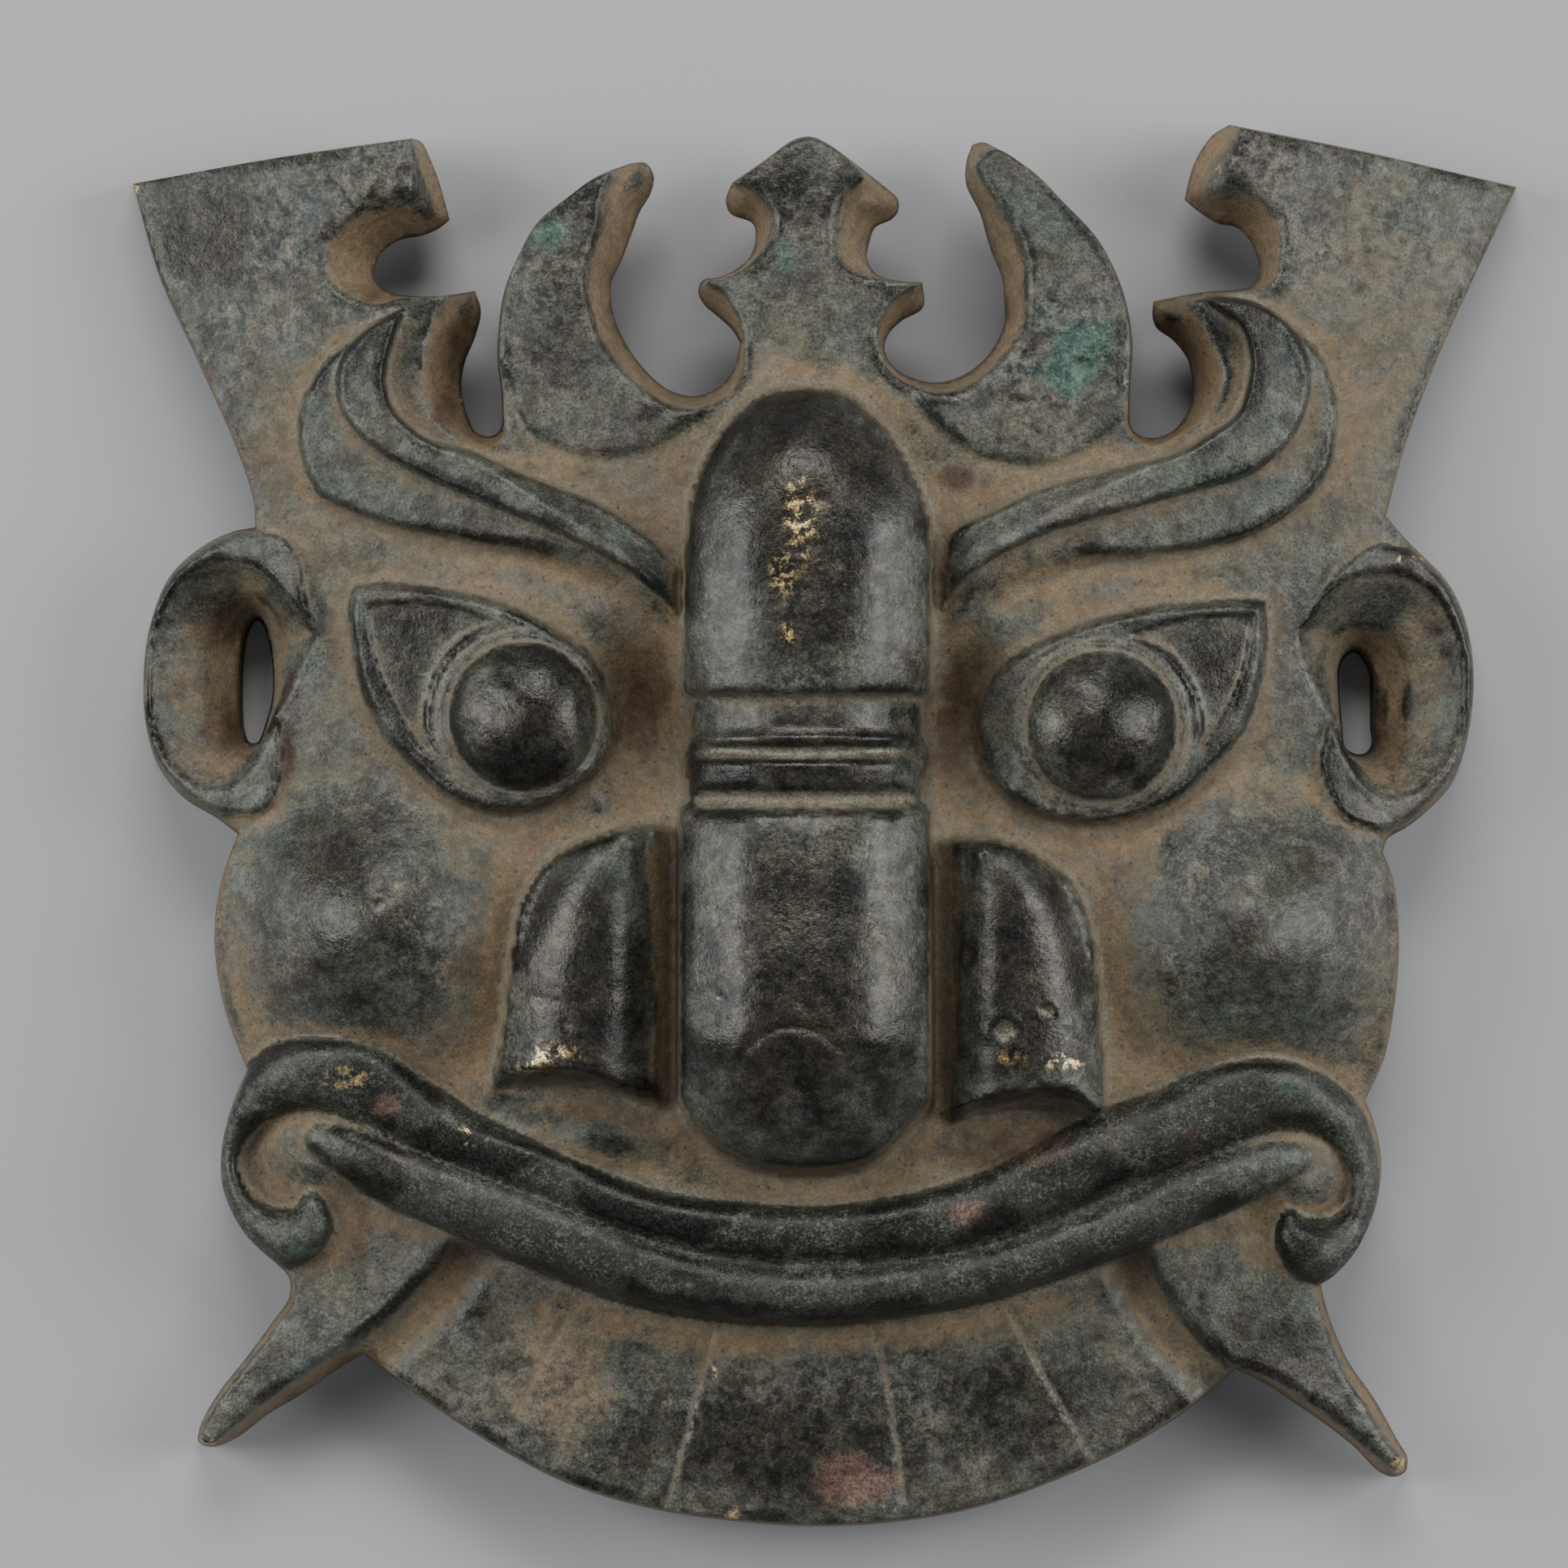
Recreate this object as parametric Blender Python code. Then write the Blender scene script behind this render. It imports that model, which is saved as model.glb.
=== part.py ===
import bpy
import bmesh
import numpy as np
from mathutils import Vector
from mathutils.geometry import delaunay_2d_cdt

# One step of the drawing sheet in millimetres, and the sheet's middle point.
MASK_WIDTH = 220.0
SHEET_WIDTH = 1719.0
STEP = MASK_WIDTH / SHEET_WIDTH
SHEET_MIDDLE = 1016.5

# Heights above the resting plane, in millimetres.
CROWN_HEIGHT = 31.0
SIDE_FALL = 17.0
TOP_FALL = 6.0
CHIN_FALL = 5.0
HALF_SPAN = 110.0
HALF_TALL = 112.0
# The dome's middle, from the middle of the whole outline.
DOME_ACROSS = -2.1
DOME_UP = 2.1
RIM_DEPTH = 12.0
EAR_MIDDLES = [(235, 840), (1760, 850)]
EAR_REACH = (190, 230)
EAR_LOWERING = 1.6
WALL = 3.6
REACH = 16.0
FAR = 60.0

# Mesh settings, in millimetres: how closely lines are followed and how far apart spots are.
MM = 0.001
LINE_GAP = 0.8
LINE_SLACK = 0.2
EDGE_SLACK = 0.12
LONGEST = 6.0
EDGE_CLEARANCE = 0.35
MERGE = 1e-6
SPOT_GAP = 1.3
ROUNDS = 6
FRONT_TRIANGLES = 7100
FRONT_EVERY = 5
BACK_TRIANGLES = 2500
BACK_EVERY = 8
BACK_LONGEST = 9.0
SPOT_ROOM = 1.1
LEAST_ERROR = 0.05
FEWEST_SPOTS = 60
EDGE_ROOM = 0.9
CLEAR_SHARE = 0.97
GRID_MARGIN = 3.0
CIRCLE_POINTS = 240
OPEN_AIR = 999.0
THIN_WALL = 2.4
RIM_WIDTH = 3.6
HOLLOW_SLOPE = 3.5
HOLLOW_BLUR = 1.2
BLUR_PASSES = 10
BACK_SLACK = 0.8
SHARP_ANGLE = 0.6


def sheet(points):
    """Turns sheet points (across, down) into millimetres (x to the right, y up)."""
    p = np.asarray(points, float)
    return np.column_stack(((p[:, 0] - SHEET_MIDDLE) * STEP, (SHEET_MIDDLE - p[:, 1]) * STEP))


def smooth_run(points, gap, closed=False):
    """A smooth curve through the points, with a point about every gap millimetres."""
    p = sheet(points)
    n = len(p)
    if closed:
        ext = np.vstack((p[-1], p, p[0], p[1]))
        spans = n
    else:
        ext = np.vstack((2 * p[0] - p[1], p, 2 * p[-1] - p[-2]))
        spans = n - 1
    out = []
    for k in range(spans):
        a, b, c, d = ext[k:k + 4]
        count = max(1, int(round(np.linalg.norm(c - b) / gap)))
        t = (np.arange(count) / count)[:, None]
        ta = np.sqrt(max(np.linalg.norm(b - a), 1e-6))
        tb = np.sqrt(max(np.linalg.norm(c - b), 1e-6))
        tc = np.sqrt(max(np.linalg.norm(d - c), 1e-6))
        m1 = (c - b) + tb * ((b - a) / ta - (c - a) / (ta + tb))
        m2 = (c - b) + tb * ((d - c) / tc - (d - b) / (tb + tc))
        h = t * t * (3 - 2 * t)
        out.append(b * (1 - h) + c * h + m1 * (t ** 3 - 2 * t ** 2 + t) + m2 * (t ** 3 - t ** 2))
    if not closed:
        out.append(p[-1:])
    return np.vstack(out)


def chain(gap, *runs):
    """Joins smooth runs end to end; every join is a corner."""
    return np.vstack([smooth_run(points, gap)[:-1] for points in runs])


def path(gap, *runs):
    """Like chain, but keeps the last point, so the line stays open."""
    out = chain(gap, *runs)
    return np.vstack((out, sheet([runs[-1][-1]])))


def line_distance(x, y, line, closed=True):
    """Distance of every point to a line of short straight pieces."""
    ends = np.vstack((line, line[:1])) if closed else line
    best = np.full(x.shape, FAR * FAR)
    low = ends.min(axis=0) - REACH
    high = ends.max(axis=0) + REACH
    near = (x > low[0]) & (x < high[0]) & (y > low[1]) & (y < high[1])
    px = x[near]
    py = y[near]
    found = best[near]
    for (ax, ay), (bx, by) in zip(ends[:-1], ends[1:]):
        dx = bx - ax
        dy = by - ay
        size = dx * dx + dy * dy
        if size < 1e-12:
            continue
        t = np.clip(((px - ax) * dx + (py - ay) * dy) / size, 0.0, 1.0)
        found = np.minimum(found, (px - ax - t * dx) ** 2 + (py - ay - t * dy) ** 2)
    best[near] = found
    return np.sqrt(best)


def is_inside(x, y, loop):
    """True for the points inside a closed line."""
    inside = np.zeros(x.shape, bool)
    ends = np.vstack((loop, loop[:1]))
    low = ends.min(axis=0)
    high = ends.max(axis=0)
    near = (x >= low[0]) & (x <= high[0]) & (y >= low[1]) & (y <= high[1])
    px = x[near]
    py = y[near]
    found = inside[near]
    for (ax, ay), (bx, by) in zip(ends[:-1], ends[1:]):
        if ay == by:
            continue
        found ^= ((ay > py) != (by > py)) & (px < (bx - ax) * (py - ay) / (by - ay) + ax)
    inside[near] = found
    return inside


def depth_inside(x, y, loop):
    """Distance inwards from a closed line: positive inside, negative outside."""
    d = line_distance(x, y, loop)
    return np.where(is_inside(x, y, loop), d, -d)


def ease(t):
    t = np.clip(t, 0.0, 1.0)
    return t * t * (3 - 2 * t)


def flow(value, stations):
    """A smooth line through (place, height) stations that never swings past them."""
    s = np.asarray(stations, float)
    run = np.diff(s[:, 0])
    rise = np.diff(s[:, 1]) / run
    slope = np.zeros(len(s))
    for k in range(1, len(s) - 1):
        if rise[k - 1] * rise[k] > 0:
            slope[k] = 2 * rise[k - 1] * rise[k] / (rise[k - 1] + rise[k])
    value = np.clip(value, s[0, 0], s[-1, 0])
    k = np.clip(np.searchsorted(s[:, 0], value) - 1, 0, len(s) - 2)
    t = (value - s[k, 0]) / run[k]
    h = t * t * (3 - 2 * t)
    bend = (t ** 3 - 2 * t ** 2 + t) * slope[k] + (t ** 3 - t ** 2) * slope[k + 1]
    return s[k, 1] * (1 - h) + s[k + 1, 1] * h + run[k] * bend


def between(foot, top):
    """Share of the way up a wall, from its foot line (0) to its top line (1)."""
    return np.clip(foot, 0, None) / (np.clip(foot, 0, None) + np.clip(top, 0, None) + 1e-9)


# Outline at the foot of the wall, clockwise from the left wing's corner; every run ends at a corner.
FOOT_RUNS = [
    # left wing: top edge, arm end, notch, hook
    [(157, 220), (330, 190), (504, 166)],
    [(504, 166), (517, 171), (528, 192), (537, 215), (545, 241), (552, 268)],
    [(552, 268), (536, 280), (514, 288), (494, 291), (475, 301), (463, 316), (458, 332), (463, 347),
     (475, 356),
     (497, 361), (540, 362), (584, 356)],
    [(584, 356), (591, 381), (584, 413), (572, 442), (567, 468), (569, 491), (576, 514), (584, 530),
     (600, 536),
     (613, 531), (618, 520)],
    # left horn
    [(618, 520), (617, 485), (612, 444), (613, 403), (620, 356), (637, 313), (661, 271), (697, 241),
     (735, 214),
     (777, 198)],
    [(777, 198), (795, 198), (805, 214), (801, 236), (788, 258), (777, 288), (763, 324), (753, 345),
     (752, 367),
     (757, 392), (768, 417), (788, 447), (820, 477), (854, 487), (884, 477), (903, 455), (912, 421)],
    # middle ornament
    [(912, 421), (902, 405), (885, 389), (866, 372), (860, 356), (866, 343), (884, 340), (905, 331),
     (924, 314),
     (931, 290), (927, 273), (900, 261), (894, 244), (902, 222)],
    [(902, 222), (940, 196), (978, 169), (998, 165), (1017, 172), (1056, 200), (1094, 230)],
    [(1094, 230), (1107, 243), (1107, 258), (1099, 268), (1079, 278), (1072, 295), (1069, 318), (1082, 337),
     (1108, 344), (1137, 346)],
    [(1137, 346), (1138, 377), (1111, 394), (1096, 409), (1090, 428), (1101, 450), (1123, 464), (1155, 470),
     (1189, 460), (1220, 434), (1238, 397), (1238, 365), (1236, 342), (1221, 304), (1208, 260), (1191, 224),
     (1192, 194), (1199, 175)],
    # right horn
    [(1199, 175), (1212, 172), (1230, 180), (1274, 208), (1312, 246), (1353, 290), (1378, 336), (1391, 378),
     (1397, 424), (1394, 474), (1393, 520)],
    # right wing: hook, notch, arm end, top edge
    [(1393, 520), (1402, 533), (1421, 538), (1446, 530), (1461, 513), (1471, 491), (1471, 466), (1464, 438),
     (1446, 416), (1427, 402), (1422, 388), (1423, 369)],
    [(1423, 369), (1486, 357), (1525, 354), (1546, 349), (1555, 331), (1552, 313), (1541, 290), (1525, 276),
     (1504, 272), (1479, 257), (1462, 243)],
    [(1462, 243), (1466, 224), (1475, 195), (1496, 163), (1518, 149)],
    [(1518, 149), (1700, 184), (1876, 224)],
    # right edge of the wing, ear, cheek, scroll
    [(1876, 224), (1829, 324), (1780, 431), (1738, 541), (1712, 634)],
    [(1712, 634), (1736, 661), (1760, 684), (1786, 710), (1806, 744), (1818, 785), (1823, 831), (1820, 881),
     (1811, 926), (1795, 966), (1766, 998), (1738, 1020), (1714, 1034), (1708, 1050)],
    [(1708, 1050), (1721, 1085), (1727, 1130), (1728, 1180), (1724, 1230), (1710, 1305), (1686, 1358)],
    [(1686, 1358), (1697, 1385), (1705, 1420), (1706, 1452), (1697, 1498), (1673, 1547), (1647, 1576),
     (1631, 1586)],
    # right tusk
    [(1631, 1586), (1638, 1615), (1663, 1677), (1701, 1733), (1726, 1778), (1740, 1803), (1737, 1820),
     (1722, 1826), (1704, 1819), (1673, 1788), (1635, 1758), (1597, 1732), (1559, 1707), (1525, 1690)],
    # chin
    [(1525, 1690), (1470, 1737), (1400, 1782), (1300, 1828), (1200, 1862), (1100, 1879), (1000, 1884),
     (900, 1877), (800, 1862), (700, 1832), (620, 1792), (545, 1745), (490, 1706), (445, 1672)],
    # left tusk
    [(445, 1672), (404, 1697), (369, 1722), (330, 1745), (284, 1779), (254, 1789), (239, 1782), (241, 1764),
     (264, 1722), (298, 1679), (332, 1633), (353, 1601), (352, 1577), (334, 1558)],
    # left scroll, cheek, ear, edge of the wing
    [(334, 1558), (316, 1543), (297, 1523), (279, 1492), (269, 1462), (268, 1425), (274, 1390), (285, 1356),
     (301, 1320)],
    [(301, 1320), (284, 1279), (270, 1234), (261, 1180), (261, 1130), (270, 1082), (289, 1028)],
    [(289, 1028), (262, 1008), (222, 984), (190, 946), (174, 897), (170, 840), (178, 770), (204, 707),
     (246, 670), (283, 653), (311, 648)],
    [(311, 648), (308, 612), (286, 547), (239, 442), (190, 335), (157, 220)],
]

# The same outline along the front edge, at the top of the wall.
TOP_RUNS = [
    [(161, 223), (330, 194), (504, 171)],
    [(504, 171), (509, 189), (509, 210), (506, 233)],
    [(506, 233), (488, 238), (458, 246), (432, 260), (413, 277), (400, 299), (399, 325), (406, 348),
     (426, 364),
     (449, 373), (471, 374), (497, 368), (520, 366), (546, 364)],
    [(546, 364), (533, 397), (525, 426), (520, 465), (526, 500), (542, 523), (568, 540), (602, 552),
     (622, 538),
     (622, 520)],
    [(622, 520), (621, 485), (616, 444), (617, 403), (624, 357), (640, 315), (664, 274), (699, 244),
     (735, 219),
     (752, 214)],
    [(752, 214), (741, 240), (735, 274), (728, 296), (722, 318), (718, 340), (719, 362), (730, 403),
     (752, 441),
     (779, 472), (807, 492), (852, 506), (894, 490), (914, 460), (918, 421)],
    [(918, 421), (914, 402), (903, 376), (888, 357), (872, 348), (890, 346), (912, 336), (932, 320),
     (948, 300),
     (955, 280), (953, 260), (940, 243), (922, 230), (906, 225)],
    [(906, 225), (942, 200), (978, 174), (998, 170), (1016, 177), (1040, 193), (1063, 218)],
    [(1063, 218), (1043, 235), (1031, 252), (1026, 275), (1025, 300), (1033, 320), (1048, 334), (1072, 343),
     (1100, 347), (1130, 350)],
    [(1130, 350), (1098, 370), (1087, 390), (1080, 408), (1083, 428), (1096, 458), (1120, 474), (1156, 486),
     (1194, 476), (1226, 454), (1252, 422), (1267, 391), (1268, 360), (1266, 320), (1256, 288), (1238, 260),
     (1218, 232), (1204, 204)],
    [(1204, 204), (1216, 190), (1228, 184), (1271, 212), (1309, 249), (1350, 293), (1374, 337), (1387, 379),
     (1393, 424), (1390, 474), (1388, 522)],
    [(1388, 522), (1398, 542), (1424, 550), (1454, 538), (1482, 520), (1500, 495), (1507, 463), (1500, 431),
     (1488, 406), (1479, 388), (1468, 372)],
    [(1468, 372), (1500, 364), (1530, 360), (1560, 354), (1573, 340), (1579, 320), (1581, 295), (1575, 266),
     (1557, 243), (1536, 231), (1505, 227)],
    [(1505, 227), (1510, 207), (1523, 181), (1530, 157)],
    [(1530, 157), (1700, 189), (1871, 227)],
    [(1871, 227), (1825, 324), (1776, 431), (1734, 541), (1706, 636)],
    [(1706, 636), (1732, 665), (1756, 688), (1782, 713), (1801, 746), (1813, 786), (1818, 831), (1815, 880),
     (1806, 925), (1790, 963), (1762, 993), (1734, 1015), (1708, 1028), (1702, 1050)],
    [(1702, 1050), (1716, 1086), (1722, 1130), (1723, 1180), (1719, 1229), (1705, 1303), (1680, 1357)],
    [(1680, 1357), (1692, 1386), (1700, 1421), (1701, 1452), (1692, 1496), (1669, 1544), (1643, 1572),
     (1622, 1588)],
    [(1622, 1588), (1630, 1620), (1650, 1680), (1684, 1737), (1711, 1780), (1727, 1803), (1722, 1810),
     (1690, 1790), (1650, 1755), (1612, 1727), (1570, 1700), (1524, 1684)],
    [(1524, 1684), (1468, 1732), (1398, 1777), (1298, 1823), (1199, 1857), (1099, 1874), (1000, 1879),
     (901, 1872), (802, 1857), (702, 1827), (622, 1787), (548, 1741), (493, 1702), (448, 1667)],
    [(448, 1667), (415, 1668), (372, 1696), (330, 1724), (290, 1755), (256, 1781), (246, 1776), (249, 1764),
     (272, 1724), (306, 1681), (341, 1636), (362, 1602), (360, 1575), (340, 1554)],
    [(340, 1554), (320, 1539), (301, 1519), (284, 1490), (274, 1461), (273, 1426), (279, 1391), (290, 1358),
     (307, 1321)],
    [(307, 1321), (289, 1279), (275, 1234), (266, 1180), (266, 1130), (275, 1082), (296, 1026)],
    [(296, 1026), (265, 1003), (226, 980), (195, 944), (179, 896), (175, 840), (183, 771), (208, 710),
     (248, 675), (284, 658), (316, 653)],
    [(316, 653), (312, 611), (290, 546), (243, 441), (194, 334), (161, 223)],
]

SLOTS = [
    # left ear: foot line and the top of its short wall
    ([(311, 763), (302, 776), (296, 804), (294, 840), (294, 874), (296, 899), (302, 914), (312, 914),
      (324, 884),
      (330, 860), (330, 812), (324, 781), (317, 766)],
     [(311, 755), (297, 772), (290, 803), (288, 840), (288, 875), (290, 902), (300, 922), (314, 920),
      (329, 887),
      (335, 862), (335, 811), (330, 778), (319, 758)]),
    ([(1675, 803), (1686, 814), (1693, 831), (1694, 864), (1694, 898), (1696, 915), (1690, 926),
      (1678, 929),
      (1663, 921), (1659, 893), (1656, 853), (1656, 822), (1663, 808)],
     [(1675, 796), (1690, 808), (1699, 829), (1700, 864), (1700, 898), (1702, 917), (1694, 932),
      (1678, 935),
      (1658, 926), (1654, 894), (1651, 853), (1651, 820), (1660, 802)]),
]

EARS = [
    dict(
        rim=[(392, 780), (365, 752), (341, 726), (318, 704), (290, 694), (262, 692), (243, 702), (214, 728),
             (196, 762), (186, 810), (184, 854), (187, 890), (198, 919), (211, 941), (228, 955), (248, 966),
             (265, 967), (284, 960), (303, 946), (318, 922), (330, 897), (341, 880), (360, 850),
             (376, 815)],
        band=[(398, 788), (365, 752), (341, 726), (318, 704), (290, 694), (262, 692), (243, 702),
              (214, 728),
              (196, 762), (186, 810), (184, 854), (187, 890), (198, 919), (211, 941), (228, 955),
              (248, 966),
              (265, 967), (284, 960), (303, 946), (318, 922), (330, 897), (343, 880), (350, 911),
              (351, 939),
              (344, 974), (326, 1000), (300, 1006), (262, 1003), (226, 980), (195, 944), (179, 896),
              (175, 840),
              (183, 771), (208, 710), (248, 675), (284, 656), (312, 652), (338, 656), (358, 668),
              (371, 690),
              (377, 722), (384, 752)],
        slot_side=1),
    dict(
        rim=[(1600, 776), (1622, 752), (1638, 735), (1655, 721), (1675, 712), (1697, 707), (1725, 709),
             (1748, 719),
             (1770, 738), (1787, 766), (1798, 797), (1804, 831), (1801, 873), (1795, 901), (1784, 929),
             (1764, 954), (1742, 974), (1720, 978), (1700, 974), (1680, 957), (1663, 929), (1652, 904),
             (1641, 884), (1622, 852), (1606, 815)],
        band=[(1594, 780), (1622, 752), (1638, 735), (1655, 721), (1675, 712), (1697, 707), (1725, 709),
              (1748, 719), (1770, 738), (1787, 766), (1798, 797), (1804, 831), (1801, 873), (1795, 901),
              (1784, 929), (1764, 954), (1742, 974), (1720, 978), (1700, 974), (1680, 957), (1663, 929),
              (1652, 904), (1640, 886), (1630, 910), (1624, 938), (1630, 964), (1640, 988), (1656, 1008),
              (1680, 1020), (1708, 1026), (1734, 1015), (1762, 993), (1790, 963), (1806, 925), (1815, 880),
              (1818, 831), (1813, 786), (1801, 746), (1782, 713), (1756, 688), (1730, 672), (1697, 668),
              (1672, 682), (1650, 700), (1632, 724), (1614, 750)],
        slot_side=-1),
]

BROWS = [
    dict(
        lower=[[(509, 374), (482, 384), (455, 397), (430, 414), (406, 433), (388, 454), (375, 476),
                (367, 500),
                (363, 530), (367, 563), (376, 590), (389, 613)],
               [(389, 613), (420, 628), (456, 642), (500, 656), (560, 668), (640, 690), (720, 722),
                (790, 760),
                (834, 790)],
               [(834, 790), (834, 700)],
               [(834, 700), (815, 672), (789, 650), (732, 615), (645, 580), (588, 556), (537, 541),
                (514, 527),
                (491, 504), (481, 478), (481, 452), (491, 416), (499, 389), (509, 374)]],
        upper=[[(509, 374), (482, 384), (455, 400), (428, 426), (413, 455), (412, 484), (421, 513),
                (440, 538),
                (467, 560), (498, 580), (531, 595), (617, 631), (674, 654), (720, 676), (760, 698),
                (800, 728),
                (836, 765)],
               [(836, 765), (836, 700)],
               [(836, 700), (815, 672), (789, 650), (732, 615), (645, 580), (588, 556), (537, 541),
                (514, 527),
                (491, 504), (481, 478), (481, 452), (491, 416), (499, 389), (509, 374)]]),
    dict(
        lower=[[(1480, 368), (1503, 364), (1543, 368), (1580, 386), (1605, 404), (1632, 434), (1646, 470),
                (1654, 506), (1652, 541), (1643, 577), (1621, 609), (1586, 638), (1543, 663), (1489, 677),
                (1404, 690), (1326, 708), (1260, 736), (1200, 772), (1157, 806)],
               [(1157, 806), (1157, 700)],
               [(1157, 700), (1170, 655), (1223, 627), (1289, 597), (1370, 575), (1450, 554), (1489, 531),
                (1521, 506), (1532, 477), (1536, 441), (1525, 406), (1500, 386), (1480, 368)]],
        upper=[[(1480, 368), (1503, 364), (1543, 369), (1579, 388), (1600, 411), (1614, 441), (1618, 477),
                (1609, 513), (1595, 541), (1569, 568), (1537, 589), (1489, 603), (1435, 618), (1338, 645),
                (1253, 676), (1204, 706), (1157, 760)],
               [(1157, 760), (1157, 700)],
               [(1157, 700), (1170, 655), (1223, 627), (1289, 597), (1370, 575), (1450, 554), (1489, 531),
                (1521, 506), (1532, 477), (1536, 441), (1525, 406), (1500, 386), (1480, 368)]]),
]

EYES = [
    dict(
        lid=[[(429, 722), (450, 716), (492, 715), (559, 724), (622, 740), (683, 769), (731, 804),
              (759, 849),
              (766, 903), (744, 950), (702, 985), (650, 1005), (600, 1005), (546, 984), (508, 951),
              (469, 908),
              (441, 852), (428, 792), (425, 750), (429, 722)]],
        field=[[(450, 744), (500, 740), (571, 748), (612, 768)],
               [(612, 768), (560, 800), (532, 850), (528, 900), (548, 944)],
               [(548, 944), (520, 926), (498, 897), (469, 839), (455, 787), (450, 744)]],
        ball=(645, 883), ring=107.0, ball_r=92.0),
    dict(
        lid=[[(1563, 738), (1540, 735), (1477, 738), (1415, 744), (1354, 758), (1293, 780), (1241, 810),
              (1208, 840), (1197, 880), (1203, 937), (1230, 978), (1278, 1008), (1330, 1020), (1385, 1017),
              (1442, 996), (1486, 962), (1526, 918), (1553, 862), (1565, 797), (1563, 738)]],
        field=[[(1547, 756), (1500, 755), (1440, 764), (1384, 784)],
               [(1384, 784), (1440, 810), (1472, 860), (1478, 905), (1462, 944)],
               [(1462, 944), (1490, 915), (1510, 884), (1532, 830), (1547, 756)]],
        ball=(1357, 895), ring=108.0, ball_r=93.0),
]

NOSE_SIDES = [[(833, 1500), (832, 1200), (833, 1000), (839, 900), (839, 706)],
              [(839, 706), (843, 632), (861, 571), (894, 518), (939, 481), (1000, 472), (1045, 481),
               (1086, 514),
               (1118, 563), (1143, 616), (1151, 649), (1150, 706)],
              [(1150, 706), (1153, 840), (1150, 1000), (1152, 1200), (1153, 1500)]]
NOSE_TIP = [(833, 1366), (847, 1390), (874, 1418), (908, 1438), (950, 1449), (993, 1452), (1038, 1449),
            (1078, 1438), (1108, 1414), (1130, 1390), (1153, 1366)]
# Height of the nose's middle above the face, at stations down the sheet.
NOSE_LINE = [(468, 12.0), (520, 15.5), (620, 17.8), (780, 18.6), (850, 18.4), (860, 15.0), (898, 15.2),
             (912, 16.4),
             (922, 14.6), (930, 14.6), (942, 16.8), (968, 16.5), (982, 14.8), (990, 15.0), (1006, 19.4),
             (1100, 21.5), (1220, 24.0), (1275, 24.4), (1340, 21.5), (1400, 16.0), (1450, 10.0)]
# How far the nose's sides stand in at its neck and its ring.
NOSE_WAIST = [(850, 0.0), (862, 1.3), (900, 1.2), (932, 0.0), (950, 0.4), (984, 1.0), (996, 0.0)]
# Fall of the nose's side facets, from its side line inwards.
NOSE_FACET = [(0.0, 10.0), (1.2, 8.2), (3.0, 6.0), (5.5, 3.9), (8.5, 1.9), (11.0, 0.8), (14.0, 0.2),
              (20.0, 0.0)]
NOSE_WALL = 1.5
NOSE_TIP_WALL = 2.7

NOSTRILS = [
    dict(
        foot=[[(833, 1014), (812, 1012), (765, 1017), (720, 1030), (682, 1048), (655, 1078), (637, 1114),
               (628, 1158), (621, 1202), (616, 1249), (609, 1292), (600, 1345)],
              [(600, 1345), (633, 1340), (677, 1337), (730, 1342), (765, 1352), (795, 1364), (833, 1374)],
              [(833, 1374), (833, 1014)]],
        brim=[(596, 1324), (619, 1319), (648, 1315), (686, 1310), (736, 1320), (765, 1331), (806, 1343),
              (840, 1356)],
        barrel=[(770, 1040, 26), (752, 1066, 48), (738, 1104, 66), (727, 1150, 78), (719, 1210, 86),
                (713, 1270, 91), (705, 1370, 98)]),
    dict(
        foot=[[(1155, 1032), (1190, 1027), (1220, 1028), (1257, 1037), (1287, 1052), (1325, 1086),
               (1349, 1146),
               (1358, 1213), (1363, 1289), (1371, 1392)],
              [(1371, 1392), (1350, 1386), (1312, 1370), (1253, 1368), (1209, 1374), (1155, 1396)],
              [(1155, 1396), (1155, 1032)]],
        brim=[(1375, 1370), (1350, 1362), (1325, 1340), (1300, 1335), (1250, 1340), (1205, 1352),
              (1150, 1372)],
        barrel=[(1214, 1054, 26), (1232, 1080, 48), (1246, 1118, 66), (1255, 1170, 80), (1261, 1240, 89),
                (1266, 1310, 95), (1270, 1410, 102)]),
]

# Rolls of the lip: centre line with half widths, in steps.
UPPER_ROLL = [(384, 1484, 16), (380, 1512, 30), (352, 1526, 37), (320, 1512, 28), (295, 1482, 19),
              (281, 1440, 14), (288, 1398, 19), (312, 1358, 32), (348, 1330, 44), (395, 1324, 47),
              (450, 1337, 47),
              (510, 1372, 44), (570, 1405, 38), (640, 1436, 36), (720, 1468, 34), (800, 1496, 32),
              (900, 1514, 34),
              (1000, 1520, 35), (1100, 1513, 38), (1200, 1491, 43), (1300, 1452, 48), (1380, 1412, 51),
              (1450, 1386, 50), (1520, 1358, 50), (1580, 1350, 44), (1630, 1367, 36), (1664, 1400, 28),
              (1682, 1450, 20), (1676, 1496, 22), (1656, 1530, 34), (1624, 1542, 40), (1598, 1524, 28),
              (1590, 1502, 14)]
LOWER_ROLL = [(398, 1405, 30), (432, 1418, 38), (500, 1450, 43), (597, 1487, 46), (697, 1529, 49),
              (796, 1567, 45),
              (895, 1588, 41), (1000, 1595, 39), (1092, 1589, 38), (1224, 1565, 36), (1356, 1519, 36),
              (1453, 1477, 40), (1525, 1449, 38), (1585, 1430, 32), (1612, 1424, 18)]

# Raised floors inside the lip's scrolls: middle, radii and height, and how flat their tops are.
SCROLL_FLOORS = [((388, 1408), (92, 96), 3.6), ((1606, 1434), (92, 100), 3.8)]
SCROLL_CROWN = 1.25

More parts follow.
